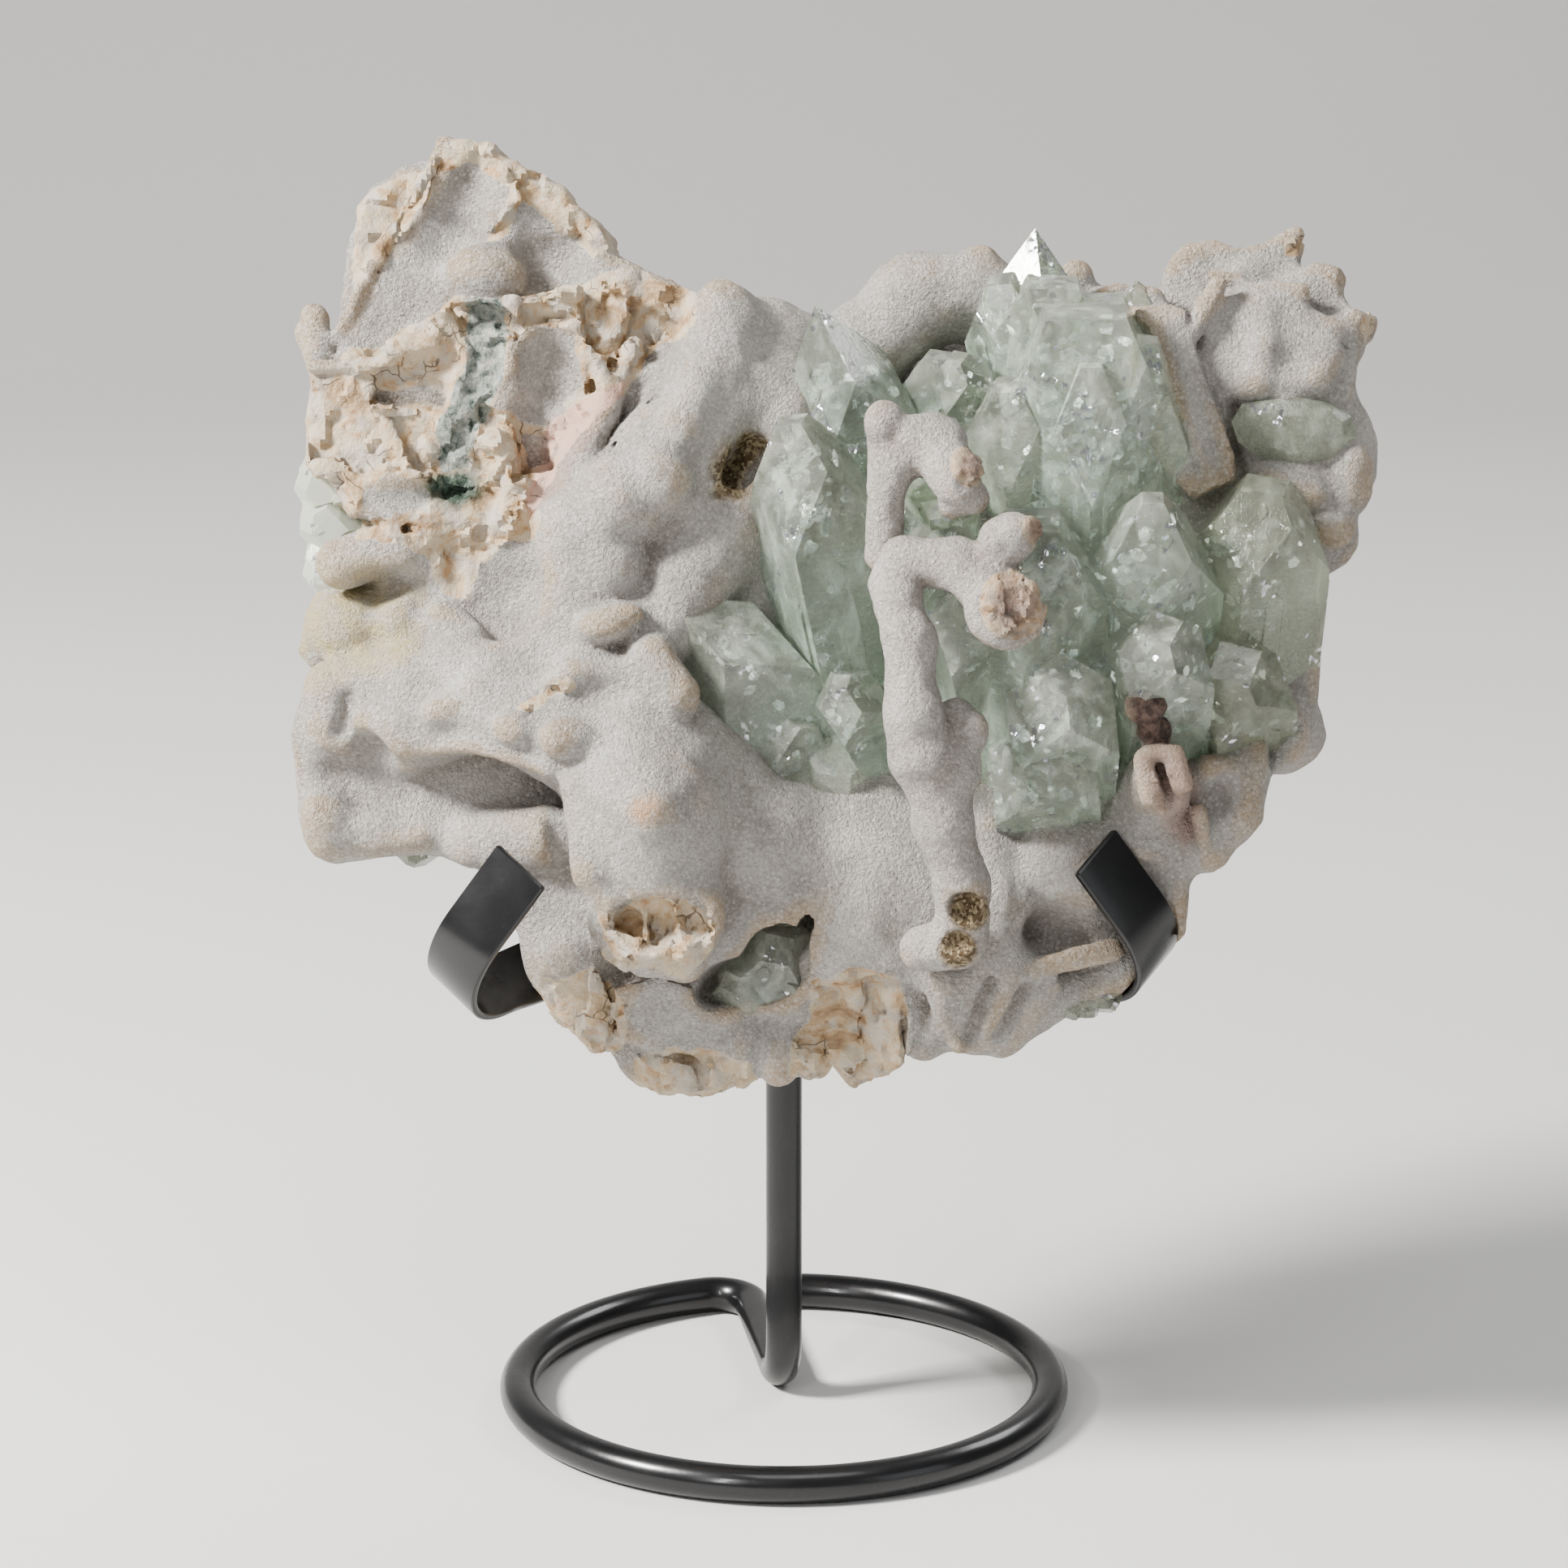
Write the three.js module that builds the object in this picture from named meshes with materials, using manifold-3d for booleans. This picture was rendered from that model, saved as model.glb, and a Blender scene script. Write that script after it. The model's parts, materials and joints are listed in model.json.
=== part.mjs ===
// An apophyllite cluster on stalactitic chalcedony, held by two claws on a bent-rod stand.
// Millimetres, +Z up, the front faces -Y. The origin is the bottom centre of the whole object.
import * as THREE from "three";
import { ConvexGeometry } from "three/addons/geometries/ConvexGeometry.js";
import { mergeVertices } from "three/addons/utils/BufferGeometryUtils.js";
import Module from "manifold-3d";

const wasm = await Module();
wasm.setup();

// The stand: one round rod bent into a foot ring, a spoke to its centre and an upright.
const ROD_DIAMETER = 6.3;
const ROD_SIDES = 8;
const RING_RADIUS = 46.7;
const RING_STEPS = 32;
const RING_END_ANGLE = 84;
const SPOKE_ANGLE = 93;
const SPOKE_BEND = 7;
const UPRIGHT_BEND = 9;
const BEND_STEPS = 5;
const UPRIGHT_TOP = 97;
const STAND_TURN = 5.3;

// The claws: flat strip, bent forward round the lower edge of the matrix.
const STRIP_WIDTH = 11;
const STRIP_THICKNESS = 1.3;
const CLAW_TIP = [46.8, -45, 111.5];
const CLAW_TIP_STRAIGHT = 13.5;
const CLAW_BEND = 14;
const CLAW_BEND_ANGLE = 112.7;
const CLAW_DOWN = [0.574, 0.093, -0.814];
const CLAW_INWARD = [-0.508, 0.82, -0.264];
const CLAW_EDGE = [-0.641, -0.562, -0.52];
const CLAW_BACK_LEG = 10;
const CLAW_HUB = [4.7, 0.4, 92];
const CLAW_HUB_EDGE = [-0.1, -0.1, -1];
const CLAW_LEG_BOW = 3.5;
const CLAW_STEPS = 6;

// The specimen is laid out in its front view: right, up and forward in millimetres, as it is seen from
// VIEW_DISTANCE in front of a point that lies VIEW_HEIGHT above the floor, looking down by VIEW_PITCH.
const VIEW_DISTANCE = 900;
const VIEW_PITCH = 15;
const VIEW_HEIGHT = 118;
const ROD_SETBACK = 22;

// The cells of the faceted surfaces, how far a feature reaches past its own size, the distance that stands
// for open space, how deep a mended corner lies, the least distance that counts as one, how near corners
// are that become one, and the gap between pieces.
const ROCK_CELL = new THREE.Vector3(6.2, 6.2, 8.6);
const FINGER_CELL = new THREE.Vector3(3.5, 3.5, 4.2);
const REACH = 2.5;
const FAR = 24;
const MENDED_DEPTH = 0.5;
const LEAST = 1e-6;
const SAME_CORNER = 1e-4;
const GAP = 0.35;

const radians = THREE.MathUtils.degToRad;
const pitchCos = Math.cos(radians(VIEW_PITCH));
const pitchSin = Math.sin(radians(VIEW_PITCH));

// A place in the front view, drawn in to allow for perspective.
function near([right, up, forward]) {
  const scale = (VIEW_DISTANCE - forward) / VIEW_DISTANCE;
  return new THREE.Vector3(right * scale, up * scale, forward);
}

// A direction in the front view, in the object's axes.
function turned([right, up, forward]) {
  return new THREE.Vector3(
    right,
    up * pitchSin - forward * pitchCos,
    up * pitchCos + forward * pitchSin,
  );
}

// A point in the front view, in the object's axes with the upright's foot as origin.
function placed(point) {
  return turned(point.toArray()).add(new THREE.Vector3(0, -ROD_SETBACK, VIEW_HEIGHT));
}

// A rounded join of two distances that blends over the given width.
function smoothMin(a, b, width) {
  const h = Math.max(width - Math.abs(a - b), 0) / width;
  return Math.min(a, b) - (h * h * width) / 4;
}

// A feature of the rock: the box it reaches, its distance function and how softly it joins.
function feature(low, high, blend, cuts, distance) {
  const margin = blend + REACH;
  return {
    low: low.clone().subScalar(margin),
    high: high.clone().addScalar(margin),
    blend,
    cuts,
    distance,
  };
}

function ellipsoid(centre, radii, turn, blend, cuts) {
  const c = near(centre);
  const cos = Math.cos(radians(turn));
  const sin = Math.sin(radians(turn));
  const reach = new THREE.Vector3(
    Math.max(radii[0], radii[1]),
    Math.max(radii[0], radii[1]),
    radii[2],
  );
  return feature(c.clone().sub(reach), c.clone().add(reach), blend, cuts, (x, y, z) => {
    const dx = x - c.x;
    const dy = y - c.y;
    const a = (cos * dx + sin * dy) / radii[0];
    const b = (cos * dy - sin * dx) / radii[1];
    const d = (z - c.z) / radii[2];
    const outer = Math.hypot(a, b, d);
    const inner = Math.hypot(a / radii[0], b / radii[1], d / radii[2]);
    return (outer * (outer - 1)) / Math.max(inner, LEAST);
  });
}

function tapered(from, to, startRadius, endRadius, blend, cuts) {
  const a = near(from);
  const ab = near(to).sub(a);
  const reach = Math.max(startRadius, endRadius);
  const box = new THREE.Box3().setFromPoints([a, near(to)]).expandByScalar(reach);
  return feature(box.min, box.max, blend, cuts, (x, y, z) => {
    const dx = x - a.x;
    const dy = y - a.y;
    const dz = z - a.z;
    const t = Math.min(1, Math.max(0, (dx * ab.x + dy * ab.y + dz * ab.z) / ab.lengthSq()));
    const away = Math.hypot(dx - t * ab.x, dy - t * ab.y, dz - t * ab.z);
    return away - (startRadius + (endRadius - startRadius) * t);
  });
}

const lump = (centre, radii, turn, blend) => ellipsoid(centre, radii, turn, blend, false);
const hollow = (centre, radii, turn, blend) => ellipsoid(centre, radii, turn, blend, true);
const knob = (from, to, r0, r1, blend) => tapered(from, to, r0, r1, blend, false);
const groove = (from, to, r0, r1, blend) => tapered(from, to, r0, r1, blend, true);

// Signed distance from a point to a closed outline.
function outlineDistance(outline, x, y) {
  let nearest = Infinity;
  let inside = false;
  outline.forEach(([x0, y0], i) => {
    const [x1, y1] = outline[(i + 1) % outline.length];
    const ex = x1 - x0;
    const ey = y1 - y0;
    const t = ((x - x0) * ex + (y - y0) * ey) / (ex * ex + ey * ey);
    const s = Math.min(1, Math.max(0, t));
    nearest = Math.min(nearest, Math.hypot(x - x0 - s * ex, y - y0 - s * ey));
    if (y0 <= y !== y1 <= y && x < x0 + ((y - y0) / ey) * ex) inside = !inside;
  });
  return inside ? -nearest : nearest;
}

// A block of rock with the given outline, a flat back, and a front face that may lean.
function slab(outline, back, front, lean, round, blend) {
  const scale = (VIEW_DISTANCE - front) / VIEW_DISTANCE;
  const rim = outline.map(([x, y]) => [x * scale, y * scale]);
  const middle = [0, 1].map((i) => rim.reduce((sum, p) => sum + p[i], 0) / rim.length);
  const faceAt = (x, y) => front + lean[0] * (x - middle[0]) + lean[1] * (y - middle[1]);
  const xs = rim.map((p) => p[0]);
  const ys = rim.map((p) => p[1]);
  const [x0, x1, y0, y1] = [Math.min(...xs), Math.max(...xs), Math.min(...ys), Math.max(...ys)];
  const top = Math.max(faceAt(x0, y0), faceAt(x0, y1), faceAt(x1, y0), faceAt(x1, y1));
  const low = new THREE.Vector3(x0, y0, back);
  const high = new THREE.Vector3(x1, y1, top);
  return feature(low, high, blend, false, (x, y, z) => {
    const side = outlineDistance(rim, x, y) + round;
    const cap = Math.max(z - faceAt(x, y), back - z) + round;
    return Math.min(Math.max(side, cap), 0) + Math.hypot(Math.max(side, 0), Math.max(cap, 0)) - round;
  });
}

// The matrix, feature by feature.
const MATRIX = [
  // The back and core of the matrix.
  lump([-48, 34, -14], [30, 36, 20], 0, 5),
  lump([-52, 70, -16], [20, 26, 12], 20, 6),
  lump([-4, 30, -16], [34, 42, 22], 0, 8),
  lump([48, 28, -12], [38, 44, 20], 0, 8),
  lump([8, -18, -4], [42, 26, 18], 0, 8),
  lump([20, 56, -30], [22, 20, 12], 30, 6),
  lump([-30, 22, -32], [24, 20, 11], -20, 6),
  lump([52, 8, -26], [20, 24, 12], 15, 6),
  lump([4, 14, -36], [13, 24, 8], 10, 5),
  lump([70, 44, -24], [16, 22, 10], -10, 5),
  // The left peak: a back slab, a crack, and the druse-coated front face that rises to the summit.
  slab([[-76, 60], [-72.5, 86], [-70.5, 96], [-68.7, 99], [-61.8, 102.9], [-57.5, 103.5], [-50, 92],
    [-54, 60]], -27, -14, [0, -0.05], 1.5, 1.5),
  slab([[-57.5, 105.5], [-54.4, 108], [-49.4, 106.1], [-43.6, 102.9], [-35.4, 97.2], [-31, 93.3],
    [-28.6, 88.8], [-19.2, 83.6], [-17, 60], [-40, 44], [-77, 52], [-78, 66], [-74.5, 72], [-67, 87],
    [-60, 98]], -24, -1, [0.05, -0.2], 1.5, 2),
  hollow([-55, 93, -1], [8, 8, 6], 35, 3),
  hollow([-62, 80, 3], [9, 11, 5], -25, 4),
  hollow([-39.5, 88, 0], [7, 6.5, 6], 20, 3),
  lump([-49.5, 85.5, -2], [6, 4, 6], 0, 4),
  knob([-57, 104, -9], [-46, 95, -5], 2, 1.6, 2),
  knob([-44, 95, -6], [-30, 90, -8], 2.4, 2, 2),
  groove([-69.5, 87, -9], [-76, 71, -7], 0.9, 1.1, 0.6),
  knob([-78.6, 75, -10], [-74, 65, -8], 3, 3.4, 2),
  // The broken face below the peak, with its ledge, rim, pocket and crevice.
  slab([[-78.6, 69], [-69, 70], [-62.8, 73.4], [-58.3, 74.1], [-55, 77], [-54.4, 81], [-45, 80.4],
    [-36.3, 82.3], [-27, 82.4], [-28, 70], [-33, 62], [-38, 50], [-46, 40], [-62, 42], [-72, 45],
    [-79.5, 54]], -20, 7, [0.04, -0.06], 0.8, 1.2),
  hollow([-60, 66, 9], [6.5, 4.6, 5], -15, 1.6),
  hollow([-38.5, 68, 11], [6.5, 9.5, 8], 10, 2),
  hollow([-51, 58, 9], [6, 6, 3.6], 30, 1.5),
  hollow([-57, 50, 9], [5, 3, 3.5], 0, 1.5),
  groove([-49.5, 80, 7.5], [-48.4, 70, 7], 1.6, 2, 1),
  groove([-49, 70, 7], [-50.5, 60, 7.5], 1.8, 2, 1),
  lump([-71, 60, 5], [7, 8, 4.5], 0, 3),
  lump([-64, 53, 6], [8, 5, 4], 15, 3),
  lump([-44.5, 54, 8], [3.5, 7, 4], 10, 1.5),
  lump([-46, 77, 5], [5, 3.4, 4], 0, 2),
  knob([-33, 79, 5], [-30, 67, 8], 2.4, 1.8, 1.2),
  groove([-25.5, 80, 3], [-31.5, 64, 6], 1.8, 2.2, 1),
  slab([[-27, 82.8], [-16, 82.8], [-14.2, 79], [-15, 70], [-23, 70], [-26, 76]], -16, 1, [0, -0.1], 1, 1.5),
  slab([[-39, 60], [-32, 65], [-26, 69.5], [-22, 70], [-15, 70], [-17, 58], [-24, 50], [-34, 46],
    [-38, 52]], -12, 6.5, [-0.05, -0.05], 1, 2),
  groove([-37.5, 58, 9.5], [-30, 47, 10], 1.2, 1.4, 1.5),
  // The ridge that runs down from the round top knob to the branching lower left.
  knob([-9.2, 75.6, 0], [-12, 66, 4], 6.3, 7.5, 3),
  knob([-12, 66, 4], [-20, 55, 9], 7.5, 7.6, 3),
  knob([-20, 55, 9], [-26, 47.5, 12], 7.6, 7.4, 3),
  knob([-26, 47.5, 12], [-33.5, 42, 10], 7.4, 7, 3),
  knob([-33.5, 42, 10], [-34, 28, 9], 7, 8.5, 4),
  lump([-27, 48, 15], [6.6, 5.6, 6], -30, 2.5),
  knob([-3, 74, -6], [-1, 60, 0], 7, 8, 4),
  knob([-1, 60, 0], [-9, 45, 4], 8, 8.5, 4),
  knob([-9, 45, 4], [-16, 34, 8], 8.5, 8, 4),
  knob([-4, 66, 5], [-13, 57, 11], 2.6, 3.4, 3),
  knob([-13, 57, 11], [-16.5, 47, 12], 3, 3, 3),
  hollow([-6.5, 51.5, 8], [4.6, 6.4, 4], -20, 1.5),
  // The saddle and the back wall between the knob and the top crystals.
  knob([-4, 72, -8], [12, 71, -10], 6.5, 6.8, 4),
  knob([12, 71, -10], [22, 80, -10], 7, 7.6, 4),
  knob([22, 80, -10], [30.5, 82, -9], 7.6, 6.5, 4),
  knob([11.3, 76.8, -10], [11.5, 74, -10], 2.8, 3, 2),
  knob([32.7, 87, -8], [34, 83, -8], 3.2, 4, 2),
  knob([36, 78, -12], [48.5, 78, -12], 7.5, 6, 4),
  knob([48.6, 84.4, -9], [48, 79, -9], 3, 3.6, 1.5),
  slab([[50, 80], [52, 82.6], [56, 83.6], [62, 82], [64, 76], [56, 66], [50, 70]], -18, -3, [0, 0], 1.5, 2),
  // The lobes at the top right, one behind the other like petals.
  slab([[62.6, 78], [63, 84.8], [64.4, 87.8], [67, 90], [71.8, 90.7], [75.8, 89.2], [80, 90.4],
    [85.4, 92.3], [86.4, 90.4], [85.6, 84], [84, 74], [70, 70]], -17, -7, [0.05, -0.15], 1.6, 2),
  slab([[78, 82], [84, 84.6], [88.4, 86.5], [92.6, 86.2], [93.6, 80.4], [91, 73], [80, 70],
    [74, 76]], -14, -3, [0.02, -0.2], 1.6, 2),
  slab([[84, 74], [91, 76.5], [94.5, 80], [98.3, 76.3], [95.6, 70], [94.4, 64], [80, 60],
    [76, 68]], -12, 1, [-0.05, -0.15], 2, 2.5),
  knob([71, 72, -3], [76.5, 83.5, -6], 4.6, 3, 2.5),
  knob([78, 68, -1], [80, 80, -4], 5, 2.8, 2.5),
  knob([82, 65, 0], [96.5, 76, -6], 5, 2, 2.5),
  hollow([74, 79.5, 2], [3.2, 5, 4], -20, 1.5),
  hollow([88, 78, 1], [3, 5, 4], -30, 2),
  lump([84, 56, -7], [14.4, 13, 12], 0, 4),
  slab([[78, 66], [95.6, 62], [98.4, 57], [98.7, 51], [95.2, 43.6], [86, 40],
    [74, 44]], -15, 0, [-0.1, 0], 3, 3),
  lump([89.5, 41.5, -8], [6, 6.5, 7], 0, 2),
  // The druse wedge beside the largest crystal.
  slab([[56.8, 80.4], [66.4, 78.6], [69, 69], [75, 51], [68, 47], [58, 56]], -12, 6, [0.1, -0.1], 1.2, 1.5),
  knob([64, 76.6, 4], [72.4, 53, 7], 2.6, 3, 1.5),
  hollow([70.5, 72, 6], [2.4, 9, 8], 20, 1.5),
  // The right edge, the lobe with the broken stub, and the mass under the crystals.
  slab([[80, 42], [90.3, 38], [89.8, 26], [89, 14], [85, 9], [74, 6], [70, 30]], -18, 2, [-0.1, 0], 2.5, 3),
  lump([82, 9, -3], [6, 7.5, 8], 0, 2),
  knob([76.5, 4.5, 3], [74.5, -4, 5], 5.6, 4.8, 3),
  knob([74.5, -4, 5], [71, -11.5, 6], 4.8, 3, 2.5),
  slab([[58, 6], [79, 2], [78.8, -4], [71, -14.2], [64, -12], [57, -4]], -8, 9, [0, 0.1], 2, 2),
  knob([61.5, -1.5, 8], [62.5, 1.5, 20], 6.2, 4.8, 1.5),
  groove([62.6, 3.6, 21], [65, -2.6, 19], 0.9, 1.1, 0.5),
  groove([65, -4, 12], [66.8, -11, 11.5], 0.9, 1.2, 0.6),
  groove([60.6, -6.6, 12], [65, -8.4, 11.5], 0.7, 0.9, 0.6),
  slab([[24, 2], [60, 2], [68.2, -10], [67, -25.4], [59.7, -33.4], [54.7, -36], [46.4, -38.6],
    [37, -44.6], [30, -44], [22, -46], [18, -20]], -14, 6, [0.02, 0.1], 3.5, 4),
  lump([50, -13, 5], [14, 9, 9], -10, 5),
  hollow([46, -27.5, 9], [8, 4.6, 6], -25, 4),
  hollow([60, -22, 9], [6, 9, 4], 20, 4),
  knob([34, -8, 8], [33.8, -26, 8], 3.4, 4.4, 2.5),
  knob([33.8, -28, 8], [31, -41, 2], 4.6, 3.4, 3),
  knob([27, -32, 8], [23, -43, 2], 4.2, 3, 2.5),
  knob([38, -31, 7], [37, -43, 0], 4, 2.2, 3),
  lump([34, -34, 2], [13, 9, 7], 0, 4),
  // The rounded lumps and the broken cream face at the bottom.
  lump([14, -20.5, 5], [7.6, 11, 8], 0, 2),
  lump([6.4, -28.4, 4], [5, 6.2, 6], 20, 1.2),
  slab([[4, -32], [12, -31], [18.6, -31], [19.4, -42], [17, -47.6], [12, -50.2], [8.6, -47],
    [5, -40]], -10, 5, [-0.06, 0.08], 0.9, 1),
  groove([13.6, -34, 6.5], [11.2, -39.5, 5.5], 0.8, 1, 0.5),
  knob([4.4, -45.8, 3], [5, -42, 2], 3.3, 3.2, 1.2),
  lump([-1, -43.6, 1], [4.2, 7, 6], 0, 1.2),
  lump([-9, -42, -1], [7, 8.6, 7], 0, 2),
  lump([-13, -48, -2], [7, 4, 5], 10, 1.5),
  lump([-21.5, -46, -2], [7.5, 5, 6], -25, 1.5),
  slab([[-30, -27], [-10, -27], [-11, -42], [-22, -46], [-29, -40]], -14, 6, [0.06, 0.12], 2.5, 2.5),
  hollow([-3, -31, 8], [7.4, 8.4, 9], -20, 1.5),
  // The bottom left, below the large branching lump.
  slab([[-50, -8], [-34, -6], [-28, -20], [-30, -42], [-37.3, -39.6], [-42, -32.8], [-44.2, -24.8],
    [-49, -16]], -12, 8, [0.1, 0.1], 3, 3),
  lump([-36, -28.5, 4], [7, 6.6, 7], 15, 2.5),
  slab([[-41, -33], [-34, -31], [-28.6, -36], [-29.4, -44.6], [-34, -42.4],
    [-38.6, -38]], -10, 7, [0.1, 0.1], 1, 1.5),
  // The large lump, its branches and its broken hollow end.
  knob([-27, 10, 12], [-23, -4, 17], 11.5, 12.5, 4),
  knob([-23, -4, 17], [-20.5, -22, 15], 12.5, 10.4, 4),
  knob([-16, 4, 10], [-4, -9, 6], 9.5, 9.5, 5),
  knob([-4, -9, 6], [5, -14, 2], 9.5, 7, 5),
  knob([-40, 12.5, 16], [-33.5, 19, 16], 3, 3.4, 3),
  knob([-33.5, 19, 16], [-20, 14, 16], 4, 4.4, 4),
  lump([-35.6, 7.8, 23], [3.6, 3.2, 3.4], 0, 3),
  lump([-22.4, -4.2, 28.5], [4, 3.6, 3.4], 0, 3),
  lump([-14.5, -21.5, 20], [4.6, 5.6, 5], 0, 2),
  lump([-28, -23, 14], [4.4, 5, 6], 0, 2),
  lump([-16.6, -29, 15], [4, 4, 4], 0, 2),
  hollow([-22.6, -24, 27], [5, 4.6, 9], 25, 1),
  hollow([-15, -23.4, 28], [3, 4.2, 7], -20, 1),
  lump([-29, 26.6, 18], [5.6, 3, 4.4], 12, 1.2),
  knob([-22.2, 21.4, 18.5], [-18, 14.6, 20], 3.7, 3.9, 1.2),
  knob([-34, 26, 9], [-20, 26, 10], 7, 6.5, 4),
  // The branch that reaches out to the lower left, with its crest, overhanging lip and two end knobs.
  slab([[-81.4, 11], [-80, 16.4], [-70, 18], [-40, 20], [-34, 8], [-36, -8], [-44, -13], [-53, -12.4],
    [-64, -10], [-75.6, -13], [-79.6, -9], [-80.4, 2]], -10, 3.5, [0.06, 0.02], 3, 3),
  knob([-75.8, 16.4, 4], [-62, 18.6, 8], 4, 4.6, 3),
  knob([-62, 18.6, 8], [-52, 20, 9], 4.6, 5.4, 3),
  knob([-52, 20, 9], [-38, 21, 9], 5.4, 7, 3),
  knob([-74, 10, 3], [-62, 9, 8], 6, 6.5, 4),
  knob([-62, 9, 8], [-48, 13, 11], 6.5, 7.6, 4),
  knob([-48, 13, 11], [-38, 8, 13], 7.6, 8.6, 4),
  knob([-79, 8, 1], [-78.6, -4, 0], 2.6, 2.4, 2.5),
  lump([-76, -6, 3], [4.2, 5.4, 4.6], 0, 2),
  knob([-75, -9, 2], [-60, -7.5, 3], 3.8, 4.2, 3),
  hollow([-57, -1, 13], [11, 5, 7], 12, 3),
  hollow([-46.5, -1.6, 17], [8, 4.4, 8], -18, 3),
  hollow([-68.5, 2.6, 10], [4, 6, 5], 20, 3),
  knob([-52, -9.4, 4], [-40, -9, 9], 4.4, 5.4, 3),
  // The left edge: lumps above the branch, the stub finger and the pitted face behind it.
  lump([-72, 26, -1], [7.4, 6.4, 7], 0, 2.5),
  lump([-63.4, 26.4, 1], [5, 7, 7], 0, 2),
  slab([[-81, 22], [-79, 30], [-77, 34], [-66, 36], [-64, 20], [-77, 17.5]], -12, -2, [0, 0], 1.5, 2),
  knob([-58.6, 25.4, 4.4], [-54, 24, 6], 4, 3.6, 1.5),
  knob([-73.6, 36.6, 5], [-64, 39, 4.5], 4.4, 4.6, 1.5),
  knob([-64, 39, 4.5], [-56, 41.5, 3], 4.6, 5, 2),
  hollow([-66.5, 32.6, 8], [5, 2.8, 5], 8, 1),
  lump([-55, 35, 2], [6, 8, 5], 0, 2.5),
  hollow([-55, 36, 8.6], [2.4, 4.6, 3], 15, 1),
  lump([-44, 33, 2], [8, 12, 7], -15, 3),
  hollow([-46.5, 31, 11], [6.5, 8, 5], -20, 2.5),
];

// The two stalactite fingers in front of the crystals.
const UPPER_FINGER = [
  knob([17.2, 59.4, 26], [17.2, 50, 28], 3.5, 2.9, 1.5),
  knob([17.2, 50, 28], [16.6, 38, 26], 2.9, 3.2, 1.5),
  knob([18, 53, 28], [24.6, 57, 27], 3.4, 4.3, 2),
  knob([24.6, 57, 27], [29, 50.4, 33], 4.4, 4.1, 1.5),
];

const LOWER_FINGER = [
  knob([17.6, 33.6, 28], [20, 37.2, 29], 3.3, 3.6, 2),
  knob([20, 37.2, 29], [29, 36.6, 31], 3.6, 4, 2),
  knob([29, 36.6, 31], [36.4, 30, 34], 4, 4.8, 2),
  lump([37, 29, 35.5], [5.6, 5.6, 3.4], 0, 1.5),
  lump([37.4, 41.2, 34], [5, 4, 3.6], 10, 1.5),
  knob([34, 33, 33], [37, 40, 33], 3, 3, 2),
  knob([17.8, 34, 28], [20.8, 24, 32], 3.4, 4, 2),
  knob([20.8, 24, 32], [21.4, 12, 33], 4, 4.3, 2),
  knob([21.4, 12, 33], [22, 5, 31], 4.3, 4.6, 3),
  knob([28.5, 10.4, 28], [28, 3, 29], 3.6, 4.8, 2.5),
  knob([24, 4, 30], [26.6, -6, 28], 5.4, 4.2, 3),
  knob([26.6, -6, 28], [29.6, -17, 24], 4.2, 4.3, 3),
  knob([29.6, -17, 24], [29.6, -25, 19], 4.4, 4.6, 2),
  knob([28.6, -26.4, 18], [23, -27.4, 16], 4.4, 3.6, 2),
];

// A crystal by its tip, the direction it points, half width, roll about its length, length, half width of
// the flat at its tip, and how steep its pyramid is.
const crystal = (name, tip, lean, half, roll, length, flat, steep) =>
  ({ name, tip, lean, half, roll, length, flat, steep });

const LEFT_CRYSTALS = [
  crystal("pointed", [5.1, 79.6, 8], [-0.28, 0.86, 0.42], 9.2, 22, 34, 0, 1.3),
  crystal("tall", [1.2, 60.6, 17], [-0.2, 0.9, 0.38], 8.9, 30, 46, 3.2, 1.3),
  crystal("slanting", [-18.6, 30, 14], [-0.62, 0.62, 0.46], 9.6, 20, 42, 1.5, 1.2),
  crystal("small_blue", [9.4, 17, 20], [-0.3, 0.5, 0.8], 5.2, 30, 24, 2, 1),
  crystal("dull", [-12, 46, 9], [-0.35, 0.6, 0.7], 4.6, 10, 20, 2, 1),
  crystal("dark_low", [8, -1, 10], [-0.1, -0.5, 0.86], 6.5, 40, 20, 4, 1),
  crystal("dark_mid", [-2, 8, 11], [-0.3, 0.3, 0.9], 7.4, 10, 20, 5, 1),
];

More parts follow.
